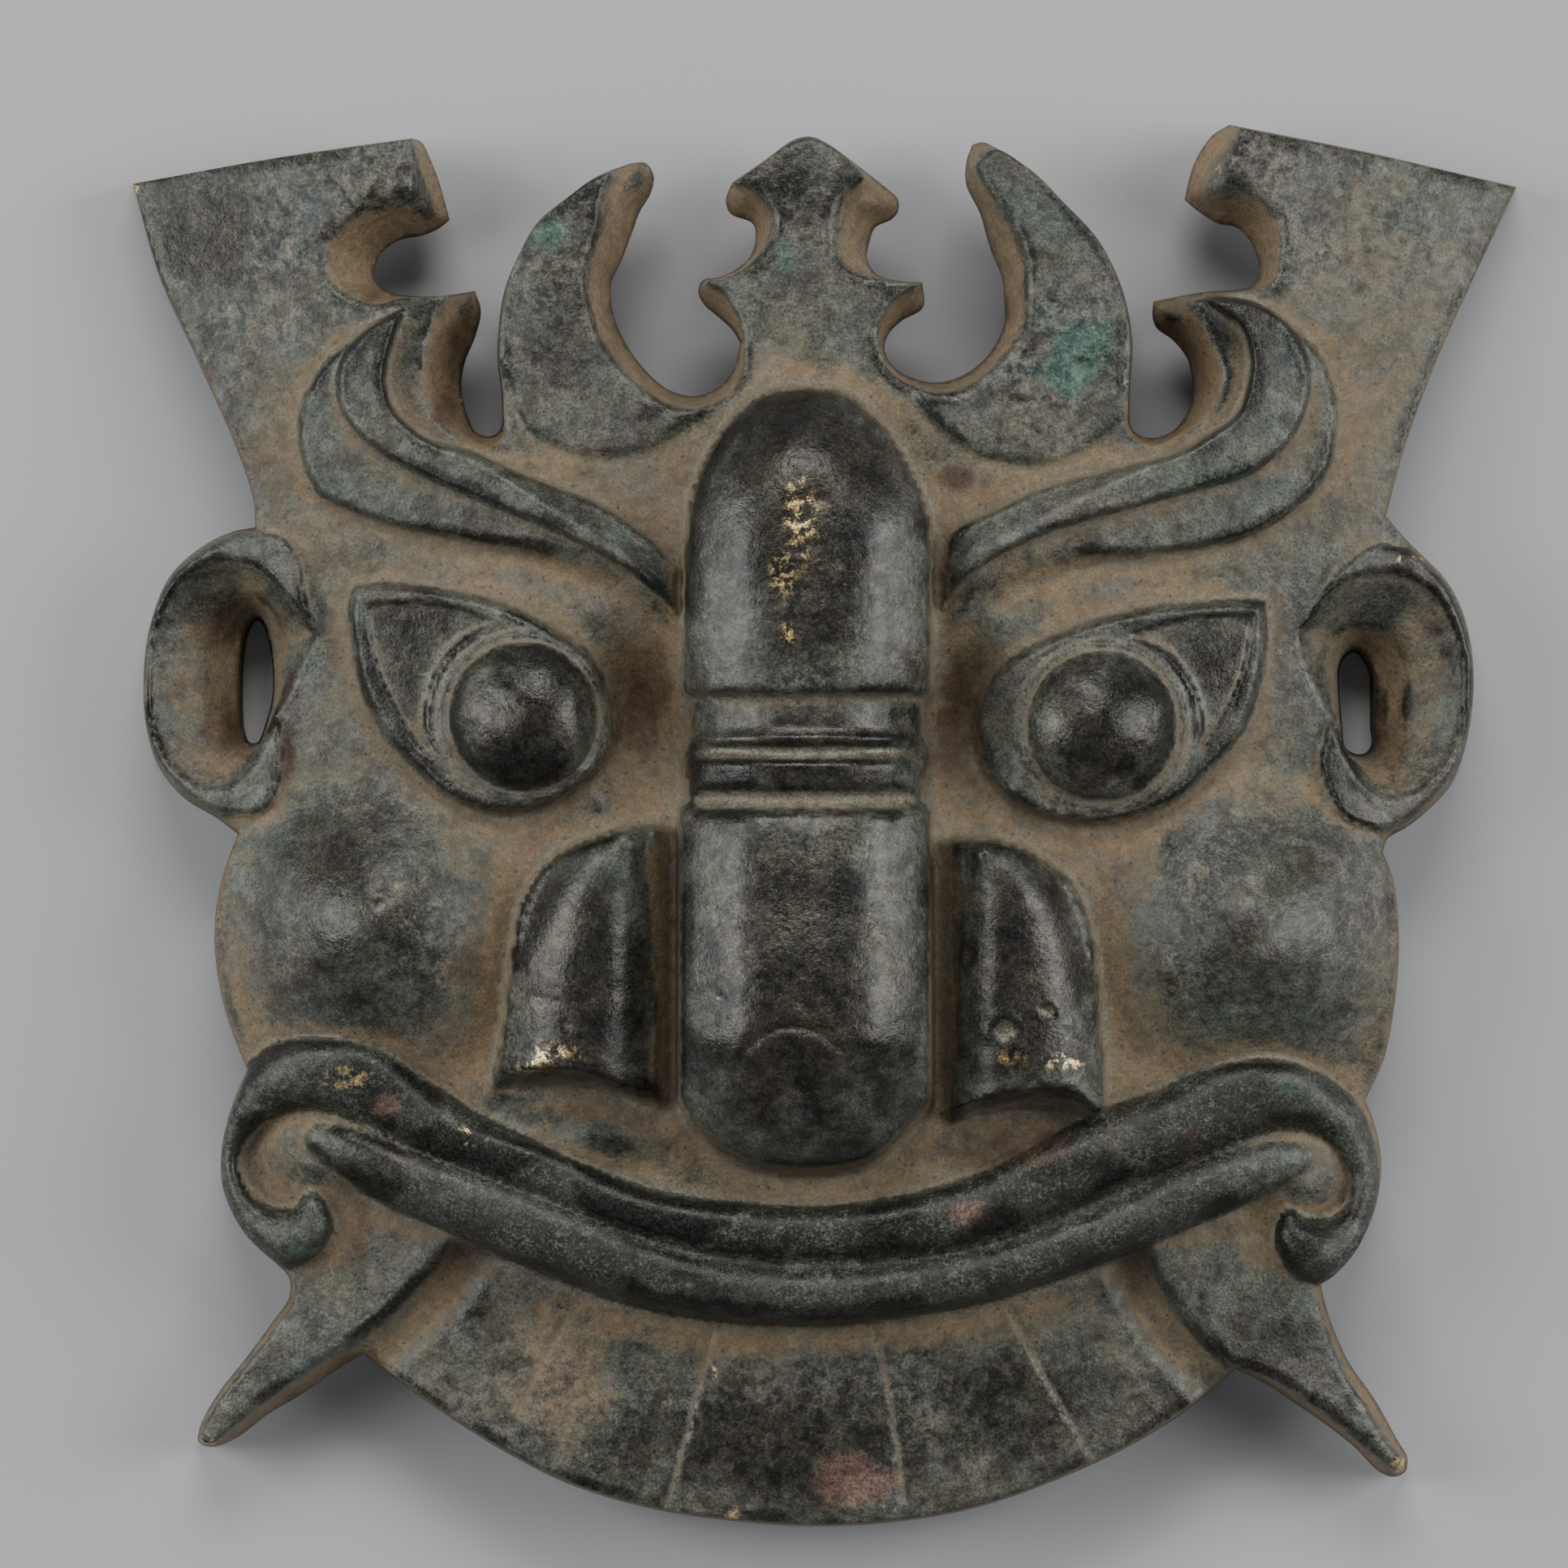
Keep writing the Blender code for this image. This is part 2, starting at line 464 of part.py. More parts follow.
# Heights and slope widths of the carving, in millimetres.
LIP_GROOVE = 3.6
ROLL_BASE = 3.2
ROLL_SHARE = 0.72
ROLL_POWER = 2.4
GROOVE_SPREAD = 0.5
CHIN_DROP = 5.0
CHIN_SLOPE = 3.2
CHIN_LIP_SLOPE = 2.5
TUSK_TROUGH = 1.0
TROUGH_AWAY = 6.5
TROUGH_HALF = 3.0
TOOTH_CUT = 0.45
TOOTH_HALF = 0.8
HORN_STEP = 1.2
HORN_SLOPE = 2.0
NOSTRIL_BASE = 6.2
NOSTRIL_BARREL = 6.8
NOSTRIL_POWER = 2.8
NOSTRIL_ROUND = 3.8
NOSTRIL_WALL = 1.6
LID_RAISE = 4.5
LID_WALL = 1.8
FIELD_DEPTH = 1.6
FIELD_WALL = 0.9
RING_RAISE = 1.2
RING_CREASE = 0.7
CREASE_AWAY = 0.3
CREASE_HALF = 0.7
BALL_RAISE = 7.2
BROW_LOWER = 3.2
BROW_WALL = 1.4
BROW_FADE = 5.0
BROW_UPPER = 2.8
BROW_UPPER_WALL = 1.1
EAR_BAND = 2.5
EAR_LIP = 0.5
# Depth of the ear's bowl, from its rim (0) to its slot (1).
EAR_BOWL = [(0.0, 0.0), (0.3, 2.2), (0.62, 5.2), (0.8, 8.6), (1.0, 11.5)]

# Soft swellings and hollows: middle, radii and height.
SWELLINGS = [
    ((458, 1146), (225, 218), 13.0),
    ((1553, 1158), (225, 218), 13.0),
    ((792, 885), (90, 150), -8.0),
    ((1182, 895), (90, 150), -8.0),
    ((1000, 1450), (420, 130), 2.0),
    ((725, 1400), (160, 52), 2.8),
    ((1265, 1408), (150, 48), 2.2),
]

HORN_PLATES = [
    [(560, 300), (600, 440), (624, 474), (632, 506), (650, 536), (684, 556), (740, 570), (800, 560),
     (850, 530),
     (880, 500), (860, 300), (760, 120)],
    [(1440, 300), (1415, 460), (1395, 500), (1380, 528), (1340, 560), (1270, 580), (1190, 560), (1140, 520),
     (1120, 490), (1150, 300), (1230, 120)],
]

TEETH = [
    [(697, 1624), (668, 1680), (638, 1736)],
    [(877, 1640), (850, 1750), (822, 1856)],
    [(1077, 1636), (1092, 1700), (1106, 1790), (1112, 1850)],
    [(1244, 1612), (1290, 1700), (1350, 1804)],
]

# Lines along which the chin drops below the tusks and the lip.
LEFT_TUSK_LINE = [(256, 1781), (300, 1746), (358, 1700), (415, 1658), (473, 1612), (518, 1566), (556, 1518)]
LIP_LINE = [(556, 1518), (620, 1535), (697, 1560), (796, 1594), (895, 1613), (1000, 1619), (1092, 1612),
            (1224, 1586), (1356, 1542), (1420, 1524)]
RIGHT_TUSK_LINE = [(1420, 1524), (1428, 1552), (1451, 1595), (1490, 1645), (1533, 1686), (1590, 1716),
                   (1650, 1757), (1722, 1810)]
# Two points past the chin that close its area.
BELOW_CHIN = [(1760, 1990), (230, 1990)]


def to_mm(steps):
    return steps * STEP


def at(across, down):
    return (across - SHEET_MIDDLE) * STEP, (SHEET_MIDDLE - down) * STEP


def ground(x, y):
    """The plain bowed sheet that all the carving stands on."""
    u = np.abs(x - DOME_ACROSS) / HALF_SPAN
    v = (y - DOME_UP) / HALF_TALL
    return CROWN_HEIGHT - SIDE_FALL * u ** 2.2 - np.where(v > 0, TOP_FALL, CHIN_FALL) * v * v


def rim_height(x, y):
    """Height of the back edge; it comes down to the resting plane at the wings, the ears and the tusks."""
    low = np.maximum(0.0, ground(x, y) - RIM_DEPTH)
    ears = [mound(x, y, middle, EAR_REACH, EAR_LOWERING) for middle in EAR_MIDDLES]
    return low * (1 - np.clip(np.maximum(*ears), 0, 1))


def mound(x, y, middle, radii, high):
    """A soft round swelling."""
    cx, cy = at(*middle)
    r = ((x - cx) / to_mm(radii[0])) ** 2 + ((y - cy) / to_mm(radii[1])) ** 2
    return high * np.clip(1 - r, 0, None) ** 2


def rounded_stations(stations, gap):
    """Rounds the middle line of a roll and spreads its half widths along it."""
    s = np.asarray(stations, float)
    out = []
    for k in range(len(s) - 1):
        a = s[max(k - 1, 0)]
        b = s[k]
        c = s[k + 1]
        d = s[min(k + 2, len(s) - 1)]
        count = max(1, int(round(np.hypot(*(c - b)[:2]) * STEP / gap)))
        t = (np.arange(count) / count)[:, None]
        out.append(0.5 * (2 * b + (c - a) * t + (2 * a - 5 * b + 4 * c - d) * t * t
                          + (3 * b - a - 3 * c + d) * t ** 3))
    out.append(s[-1:])
    return np.vstack(out)


def roll(x, y, stations, gap):
    """How far across a roll of changing width every point lies: 0 on its middle line, 1 at its foot."""
    s = rounded_stations(stations, gap)
    p = sheet(s[:, :2])
    w = s[:, 2] * STEP
    best = np.full(x.shape, 9.0)
    width = np.zeros(x.shape)
    low = p.min(axis=0) - REACH
    high = p.max(axis=0) + REACH
    near = (x > low[0]) & (x < high[0]) & (y > low[1]) & (y < high[1])
    px = x[near]
    py = y[near]
    found = best[near]
    across = width[near]
    for k in range(len(p) - 1):
        ax, ay = p[k]
        dx, dy = p[k + 1] - p[k]
        t = np.clip(((px - ax) * dx + (py - ay) * dy) / (dx * dx + dy * dy), 0, 1)
        half = w[k] + (w[k + 1] - w[k]) * t
        r = np.sqrt((px - ax - t * dx) ** 2 + (py - ay - t * dy) ** 2) / half
        better = r < found
        found = np.where(better, r, found)
        across = np.where(better, half, across)
    best[near] = found
    width[near] = across
    return best, width


def nose_loop(gap):
    sides = path(gap, *NOSE_SIDES)
    tip = smooth_run(NOSE_TIP, gap)
    upper = sides[sides[:, 1] >= tip[0, 1]]
    return np.vstack((upper, tip[::-1])), sides, tip


def nose_raise(x, y, gap):
    loop, sides, tip = nose_loop(gap)
    inside = is_inside(x, y, loop)
    down = SHEET_MIDDLE - y / STEP
    d = line_distance(x, y, sides, closed=False) - flow(down, NOSE_WAIST)
    end = line_distance(x, y, tip, closed=False)
    high = flow(down, NOSE_LINE) - flow(d, NOSE_FACET)
    return np.where(inside, np.clip(high, 0, None) * ease(d / NOSE_WALL) * ease(end / NOSE_TIP_WALL), 0.0)


def nostril_raise(x, y, part, gap):
    foot = chain(gap, *part["foot"])
    d = depth_inside(x, y, foot)
    low = sheet(part["foot"][1])
    brim = sheet(part["brim"])
    low = low[np.argsort(low[:, 0])]
    brim = brim[np.argsort(brim[:, 0])]
    y_low = np.interp(x, low[:, 0], low[:, 1])
    y_brim = np.interp(x, brim[:, 0], brim[:, 1])
    up = np.clip((y - y_low) / (y_brim - y_low), 0, 1)
    side = line_distance(x, y, path(gap, part["foot"][0]), closed=False)
    nose_side = line_distance(x, y, sheet(part["foot"][2]), closed=False)
    high = NOSTRIL_BASE * ease(nose_side / NOSTRIL_ROUND)
    far = roll(x, y, part["barrel"], gap)[0]
    high += NOSTRIL_BARREL * np.clip(1 - far ** NOSTRIL_POWER, 0, 1)
    return np.where(d > 0, high * ease(side / NOSTRIL_WALL) * up, 0.0)


def eye_raise(x, y, part, gap):
    d = depth_inside(x, y, chain(gap, *part["lid"]))
    f = depth_inside(x, y, chain(gap, *part["field"]))
    cx, cy = at(*part["ball"])
    r = np.hypot(x - cx, y - cy)
    plate = np.where(d > 0, LID_RAISE * ease(d / LID_WALL) - FIELD_DEPTH * ease(f / FIELD_WALL), 0.0)
    disc = ease((to_mm(part["ring"]) - r) / FIELD_WALL)
    plate = plate * (1 - disc) + (LID_RAISE + RING_RAISE) * disc
    ball = to_mm(part["ball_r"])
    dome = BALL_RAISE * np.clip(1 - (r / ball) ** 2, 0, 1) ** 0.6
    crease = RING_CREASE * np.clip(1 - np.abs(r - ball - CREASE_AWAY) / CREASE_HALF, 0, 1)
    return plate + dome - crease


def brow_raise(x, y, part, gap):
    d = depth_inside(x, y, chain(gap, *part["lower"]))
    u = depth_inside(x, y, chain(gap, *part["upper"]))
    fade = ease((to_mm(440) - np.abs(x - DOME_ACROSS)) / to_mm(200))
    z = BROW_LOWER * ease(d / (BROW_WALL + BROW_FADE * fade)) + BROW_UPPER * ease(u / BROW_UPPER_WALL)
    return np.where(d > 0, z, 0.0)


def ear_shape(x, y, part, slot, gap):
    band = depth_inside(x, y, smooth_run(part["band"], gap, closed=True))
    rim = depth_inside(x, y, smooth_run(part["rim"], gap, closed=True))
    hole = smooth_run(slot[1], gap, closed=True)
    to_hole = line_distance(x, y, hole)
    z = np.where(band > 0, EAR_BAND * ease(band / FIELD_WALL), 0.0)
    share = np.where(rim > 0, rim / (rim + to_hole + 1e-6), 0.0)
    share = np.where(is_inside(x, y, hole), 1.0, share)
    bowl = flow(share, EAR_BOWL) + EAR_LIP * ease(rim / FIELD_WALL)
    return z - np.where(rim > 0, bowl, 0.0)


def lip_raise(x, y, gap):
    upper, upper_half = roll(x, y, UPPER_ROLL, gap)
    lower, lower_half = roll(x, y, LOWER_ROLL, gap)
    first = (ROLL_BASE + ROLL_SHARE * upper_half) * np.sqrt(np.clip(1 - upper ** ROLL_POWER, 0, 1))
    second = (ROLL_BASE + ROLL_SHARE * lower_half) * np.sqrt(np.clip(1 - lower ** ROLL_POWER, 0, 1))
    groove = LIP_GROOVE * np.clip(1 - (np.maximum(upper, lower) - 1.0) / GROOVE_SPREAD, 0, 1)
    raised = np.maximum(np.maximum(first, second), groove)
    for middle, radii, high in SCROLL_FLOORS:
        raised = np.maximum(raised, np.minimum(mound(x, y, middle, radii, SCROLL_CROWN * high), high))
    return raised


def chin_lines(gap):
    return smooth_run(LEFT_TUSK_LINE, gap), smooth_run(LIP_LINE, gap), smooth_run(RIGHT_TUSK_LINE, gap)


def chin_drop(x, y, gap):
    left, lip, right = chin_lines(gap)
    loop = np.vstack((left, lip, right, sheet(BELOW_CHIN)))
    inside = is_inside(x, y, loop)
    tusk = np.minimum(line_distance(x, y, left, closed=False), line_distance(x, y, right, closed=False))
    lips = line_distance(x, y, lip, closed=False)
    trough = TUSK_TROUGH * np.clip(1 - np.abs(tusk - TROUGH_AWAY) / TROUGH_HALF, 0, 1)
    slope = ease(tusk / CHIN_SLOPE) * ease(lips / CHIN_LIP_SLOPE)
    return np.where(inside, (CHIN_DROP + trough) * slope, 0.0)


def teeth_cut(x, y, gap):
    cut = np.zeros(x.shape)
    for line in TEETH:
        d = line_distance(x, y, smooth_run(line, gap), closed=False)
        cut += TOOTH_CUT * np.clip(1 - d / TOOTH_HALF, 0, 1)
    return cut


def horn_plates(x, y, gap):
    """The horns' faces stand a little proud of the brow, with a soft step along their lower outer side."""
    z = np.zeros(x.shape)
    for line in HORN_PLATES:
        d = depth_inside(x, y, smooth_run(line, gap, closed=True))
        z += np.where(d > 0, HORN_STEP * ease(d / HORN_SLOPE), 0.0)
    return z


def face(x, y, gap):
    z = ground(x, y)
    for middle, radii, high in SWELLINGS:
        z = z + mound(x, y, middle, radii, high)
    z = z + horn_plates(x, y, gap) + nose_raise(x, y, gap)
    for part in NOSTRILS:
        z = z + nostril_raise(x, y, part, gap)
    for part in EYES:
        z = z + eye_raise(x, y, part, gap)
    for part in BROWS:
        z = z + brow_raise(x, y, part, gap)
    for part, slot in zip(EARS, SLOTS):
        z = z + ear_shape(x, y, part, slot, gap)
    return z + lip_raise(x, y, gap) - chin_drop(x, y, gap) - teeth_cut(x, y, gap)


def front(x, y, gap):
    """Height of all that is seen from in front, walls too, and which points are metal."""
    foot = chain(gap, *FOOT_RUNS)
    top = chain(gap, *TOP_RUNS)
    metal = is_inside(x, y, foot)
    rim = rim_height(x, y)
    z = face(x, y, gap)
    share = between(line_distance(x, y, foot), line_distance(x, y, top))
    z = rim + (z - rim) * np.where(is_inside(x, y, top), 1.0, share)
    for lower, upper in SLOTS:
        low = smooth_run(lower, gap, closed=True)
        up = smooth_run(upper, gap, closed=True)
        hole = is_inside(x, y, low)
        share = between(line_distance(x, y, low), line_distance(x, y, up))
        z = rim + (z - rim) * np.where(is_inside(x, y, up), share, 1.0)
        metal &= ~hole
    return z, metal


def thin_out(line, slack, longest):
    """Leaves out the points of a fine line that its shape doesn't need."""
    keep = [0, len(line) - 1]
    spans = [(0, len(line) - 1)]
    while spans:
        a, b = spans.pop()
        if b - a < 2:
            continue
        p = line[a]
        way = line[b] - p
        size = np.hypot(*way)
        inner = line[a + 1:b] - p
        if size < 1e-9:
            off = np.hypot(inner[:, 0], inner[:, 1])
        else:
            off = np.abs(inner[:, 0] * way[1] - inner[:, 1] * way[0]) / size
        k = int(np.argmax(off))
        if off[k] > slack or size > longest:
            middle = a + 1 + (k if off[k] > slack else (b - a) // 2 - 1)
            keep.append(middle)
            spans.append((a, middle))
            spans.append((middle, b))
    return line[sorted(keep)]


def thin_loop(line, slack, longest):
    """Thins out a closed line, keeping its first point and the one half way round."""
    half = len(line) // 2
    first = thin_out(line[:half + 1], slack, longest)
    second = thin_out(np.vstack((line[half:], line[:1])), slack, longest)
    return np.vstack((first[:-1], second[:-1]))


def beside(line, distance, closed):
    """A line that keeps a distance to the left of another, without the points that come too near."""
    ends = np.vstack((line[-1:], line, line[:1])) if closed else np.vstack((line[:1], line, line[-1:]))
    way = ends[2:] - ends[:-2]
    way /= np.maximum(np.hypot(way[:, 0], way[:, 1]), 1e-9)[:, None]
    moved = line + distance * np.column_stack((-way[:, 1], way[:, 0]))
    real = line_distance(moved[:, 0], moved[:, 1], line, closed)
    return moved, real > abs(distance) * CLEAR_SHARE


def pieces(line, good, closed):
    """Cuts a line into the stretches whose points are all good."""
    if closed:
        line = np.vstack((line, line[:1]))
        good = np.append(good, good[0])
    out = []
    start = None
    for k, fine in enumerate(good):
        if fine and start is None:
            start = k
        if start is not None and (not fine or k == len(good) - 1):
            stop = k + 1 if fine else k
            if stop - start > 1:
                out.append(line[start:stop])
            start = None
    return out


def carving_lines():
    """Lines along the feet and tops of the carving that the mesh must follow."""
    gap = LINE_GAP
    loops = []
    open_lines = []
    for part in BROWS:
        for key, step in (("lower", BROW_WALL), ("upper", BROW_UPPER_WALL)):
            line = chain(gap, *part[key])
            loops.append(line)
            loops.append((line, step))
    for part in EYES:
        lid = chain(gap, *part["lid"])
        loops.append(lid)
        loops.append((lid, LID_WALL))
        loops.append(chain(gap, *part["field"]))
        turn = np.linspace(0, 2 * np.pi, CIRCLE_POINTS, endpoint=False)
        cx, cy = at(*part["ball"])
        ring = to_mm(part["ring"])
        for radius in (ring, ring - FIELD_WALL, to_mm(part["ball_r"]) + CREASE_AWAY):
            loops.append(np.column_stack((cx + radius * np.cos(turn), cy + radius * np.sin(turn))))
    nose, sides, tip = nose_loop(gap)
    loops.append(nose)
    loops.append((nose, NOSE_WALL))
    for part in NOSTRILS:
        foot = chain(gap, *part["foot"])
        loops.append(foot)
        loops.append((foot, NOSTRIL_WALL))
        open_lines.append(sheet(part["brim"]))
        open_lines.append(sheet(rounded_stations(part["barrel"], gap)[:, :2]))
    for part, slot in zip(EARS, SLOTS):
        loops.append(smooth_run(part["rim"], gap, closed=True))
        band = smooth_run(part["band"], gap, closed=True)
        loops.append(band)
    for stations in (UPPER_ROLL, LOWER_ROLL):
        s = rounded_stations(stations, gap)
        middle = sheet(s[:, :2])
        ends = np.vstack((middle[:1], middle, middle[-1:]))
        way = ends[2:] - ends[:-2]
        way /= np.hypot(way[:, 0], way[:, 1])[:, None]
        side = np.column_stack((-way[:, 1], way[:, 0])) * (s[:, 2] * STEP)[:, None]
        open_lines += [middle, middle + side, middle - side]
    left, lip, right = chin_lines(gap)
    for line, turn in ((left, -1), (right, -1)):
        open_lines.append(line)
        moved, good = beside(line, turn * CHIN_SLOPE, False)
        open_lines += pieces(moved, good, False)
    return loops, open_lines


def inside_only(line, closed, foot, top, holes):
    """Keeps the parts of a line that lie on the face, clear of its edges."""
    x = line[:, 0]
    y = line[:, 1]
    good = is_inside(x, y, top) & (line_distance(x, y, top) > EDGE_CLEARANCE)
    for hole in holes:
        good &= ~is_inside(x, y, hole) & (line_distance(x, y, hole) > EDGE_CLEARANCE)
    return pieces(line, good, closed)


class Net:
    """Points and the edges that the triangles must keep."""

    def __init__(self):
        self.points = []
        self.edges = []
        self.count = 0
        self.border_count = 0

    def add(self, line, closed):
        n = len(line)
        k = np.arange(n)
        pairs = np.column_stack((k, np.roll(k, -1))) if closed else np.column_stack((k[:-1], k[1:]))
        self.edges += [(int(a) + self.count, int(b) + self.count) for a, b in pairs]
        self.points.append(line)
        self.count += n

    def scatter(self, points):
        self.points.append(points)
        self.count += len(points)

    def triangles(self):
        """The points, the triangles, and for each point its number on the outline or slots, else -1."""
        p = np.vstack(self.points)
        spots = [Vector((float(a), float(b))) for a, b in p]
        out = delaunay_2d_cdt(spots, self.edges, [], 0, MERGE)
        border = np.full(len(out[0]), -1)
        for k, sources in enumerate(out[3]):
            outer = [i for i in sources if i < self.border_count]
            if outer:
                border[k] = outer[0]
        points = np.array([(v.x, v.y) for v in out[0]])
        return points, np.array([list(f) for f in out[2]], int), border


def cut_chords(net, foot, holes):
    """Adds a point in the middle of every inner edge that joins two border points, until there is none."""
    while True:
        points, tris, border = net.triangles()
        tris = metal_only(points, tris, foot, holes)
        count = {}
        for a, b, c in tris:
            for pair in ((a, b), (b, c), (c, a)):
                key = (min(pair), max(pair))
                count[key] = count.get(key, 0) + 1
        chords = [k for k, n in count.items() if n == 2 and border[k[0]] >= 0 and border[k[1]] >= 0]
        if not chords:
            return points, tris, border
        net.scatter(np.array([(points[a] + points[b]) / 2 for a, b in chords]))


def metal_only(points, tris, foot, holes):
    """Leaves out the triangles that lie outside the outline or in a slot."""
    c = points[tris].mean(axis=1)
    keep = is_inside(c[:, 0], c[:, 1], foot)
    for hole in holes:
        keep &= ~is_inside(c[:, 0], c[:, 1], hole)
    return tris[keep]


def flat_error(points, heights, tris, true_heights, origin, shape):
    """How far each grid spot's true height is from the flat triangle above or below it."""
    error = np.zeros(shape)
    truth = true_heights.reshape(shape)
    for a, b, c in tris:
        p = points[[a, b, c]]
        lo = np.floor((p.min(axis=0) - origin) / SPOT_GAP).astype(int)
        hi = np.ceil((p.max(axis=0) - origin) / SPOT_GAP).astype(int)
        lo = np.maximum(lo, 0)
        hi = np.minimum(hi, (shape[1] - 1, shape[0] - 1))
        if lo[0] > hi[0] or lo[1] > hi[1]:
            continue
        gx = origin[0] + SPOT_GAP * np.arange(lo[0], hi[0] + 1)
        gy = origin[1] + SPOT_GAP * np.arange(lo[1], hi[1] + 1)
        mx, my = np.meshgrid(gx, gy)
        d = (p[1, 1] - p[2, 1]) * (p[0, 0] - p[2, 0]) + (p[2, 0] - p[1, 0]) * (p[0, 1] - p[2, 1])
        if abs(d) < 1e-9:
            continue
        u = ((p[1, 1] - p[2, 1]) * (mx - p[2, 0]) + (p[2, 0] - p[1, 0]) * (my - p[2, 1])) / d
        v = ((p[2, 1] - p[0, 1]) * (mx - p[2, 0]) + (p[0, 0] - p[2, 0]) * (my - p[2, 1])) / d
        w = 1 - u - v
        within = (u >= 0) & (v >= 0) & (w >= 0)
        z = u * heights[a] + v * heights[b] + w * heights[c]
        block = error[lo[1]:hi[1] + 1, lo[0]:hi[0] + 1]
        part = truth[lo[1]:hi[1] + 1, lo[0]:hi[0] + 1]
        block[within] = np.abs(z - part)[within]
    return error


def spread_out(order, x, y, room, limit):
    """Takes points in the given order, leaving out those too near to one already taken."""
    taken = []
    cells = {}
    for k in order:
        cell = (int(x[k] // room), int(y[k] // room))
        close = False
        for i in (-1, 0, 1):
            for j in (-1, 0, 1):
                for other in cells.get((cell[0] + i, cell[1] + j), ()):
                    if (x[k] - x[other]) ** 2 + (y[k] - y[other]) ** 2 < room * room:
                        close = True
        if close:
            continue
        cells.setdefault(cell, []).append(k)
        taken.append(k)
        if len(taken) >= limit:
            break
    return np.array(taken, int)


def front_mesh(foot, top, holes, rims, spots, spot_heights, shape, origin):
    """Triangles of the face, with points added where it bends most."""
    net = Net()
    net.add(foot, True)
    for hole in holes:
        net.add(hole, True)
    net.border_count = net.count
    net.add(top, True)
    for rim in rims:
        net.add(rim, True)
    loops, open_lines = carving_lines()
    for item in loops:
        if isinstance(item, tuple):
            line, step = item
            turn = 1 if signed_area(line) > 0 else -1
            moved, good = beside(line, turn * step, True)
            good &= is_inside(moved[:, 0], moved[:, 1], top)
            stretches = pieces(moved, good, True)
        else:
            stretches = inside_only(item, True, foot, top, rims)
        for part in stretches:
            for piece in inside_only(part, False, foot, top, rims):
                if len(piece) > 3:
                    net.add(thin_out(piece, LINE_SLACK, LONGEST), False)
    for line in open_lines:
        for piece in inside_only(line, False, foot, top, rims):
            if len(piece) > 1:
                net.add(thin_out(piece, LINE_SLACK, LONGEST), False)
    x = spots[:, 0]
    y = spots[:, 1]
    usable = is_inside(x, y, foot) & (line_distance(x, y, foot) > EDGE_ROOM)
    usable &= line_distance(x, y, top) > EDGE_ROOM
    for rim in rims:
        usable &= ~is_inside(x, y, rim) & (line_distance(x, y, rim) > EDGE_ROOM)

    def height_of(points):
        return front(points[:, 0], points[:, 1], LINE_GAP)[0]

    refine(net, foot, holes, spots, spot_heights, usable, shape, origin, height_of, FRONT_EVERY,
           FRONT_TRIANGLES)
    points, tris, border = cut_chords(net, foot, holes)
    return points, height_of(points), tris, border


def refine(net, foot, holes, spots, truth, usable, shape, origin, height_of, every, limit):
    """Scatters an even set of spots, then adds more where the flat triangles miss the true surface most."""
    x = spots[:, 0]
    y = spots[:, 1]
    column = np.round((x - origin[0]) / SPOT_GAP)
    row = np.round((y - origin[1]) / SPOT_GAP)
    net.scatter(spots[usable & (column % every == 0) & (row % every == 0)])
    for step in range(ROUNDS):
        points, tris, border = net.triangles()
        tris = metal_only(points, tris, foot, holes)
        room = (limit - len(tris)) // 2
        if room < FEWEST_SPOTS:
            break
        error = flat_error(points, height_of(points), tris, truth, origin, shape).ravel()
        error[~usable] = 0
        order = np.argsort(-error)
        order = order[error[order] > LEAST_ERROR]
        share = room if step == ROUNDS - 1 else max(FEWEST_SPOTS, room // 2)
        picked = spread_out(order, x, y, SPOT_ROOM, share)
        if len(picked) == 0:
            break
        net.scatter(spots[picked])
        usable[picked] = False


def signed_area(line):
    nxt = np.roll(line, -1, axis=0)
    return 0.5 * float(np.sum(line[:, 0] * nxt[:, 1] - line[:, 1] * nxt[:, 0]))


def underside_grid(spot_heights, metal, shape):
    """The hollow's height on the grid: a wall's thickness behind the face, the small relief left out."""
    z = np.where(metal, spot_heights, OPEN_AIR).reshape(shape)
    low = lowest_near(z, WALL + HOLLOW_BLUR)
    soft = np.where(low == OPEN_AIR, 0.0, low - WALL)
    for _ in range(BLUR_PASSES):
        for axis in (0, 1):
            soft = (np.roll(soft, 1, axis) + soft + np.roll(soft, -1, axis)) / 3
    return np.minimum(soft, lowest_near(z, THIN_WALL) - THIN_WALL)


def lowest_near(z, radius):
    """The lowest height within a radius of every spot."""
    reach = int(np.ceil(radius / SPOT_GAP))
    low = z.copy()
    for i in range(-reach, reach + 1):
        for j in range(-reach, reach + 1):
            if i * i + j * j <= reach * reach:
                low = np.minimum(low, np.roll(np.roll(z, i, axis=0), j, axis=1))
    return low


def sample(grid, x, y, origin):
    gx = np.clip((x - origin[0]) / SPOT_GAP, 0, grid.shape[1] - 1.001)
    gy = np.clip((y - origin[1]) / SPOT_GAP, 0, grid.shape[0] - 1.001)
    i = gy.astype(int)
    j = gx.astype(int)
    u = gx - j
    v = gy - i
    low = grid[i, j] * (1 - u) + grid[i, j + 1] * u
    high = grid[i + 1, j] * (1 - u) + grid[i + 1, j + 1] * u
    return low * (1 - v) + high * v


def back_heights(x, y, foot, holes, hollow, origin):
    edge = line_distance(x, y, foot)
    for hole in holes:
        edge = np.minimum(edge, line_distance(x, y, hole))
    rim = rim_height(x, y)
    rise = np.maximum(sample(hollow, x, y, origin) - rim, 0.0)
    return rim + rise * ease((edge - RIM_WIDTH) / HOLLOW_SLOPE)


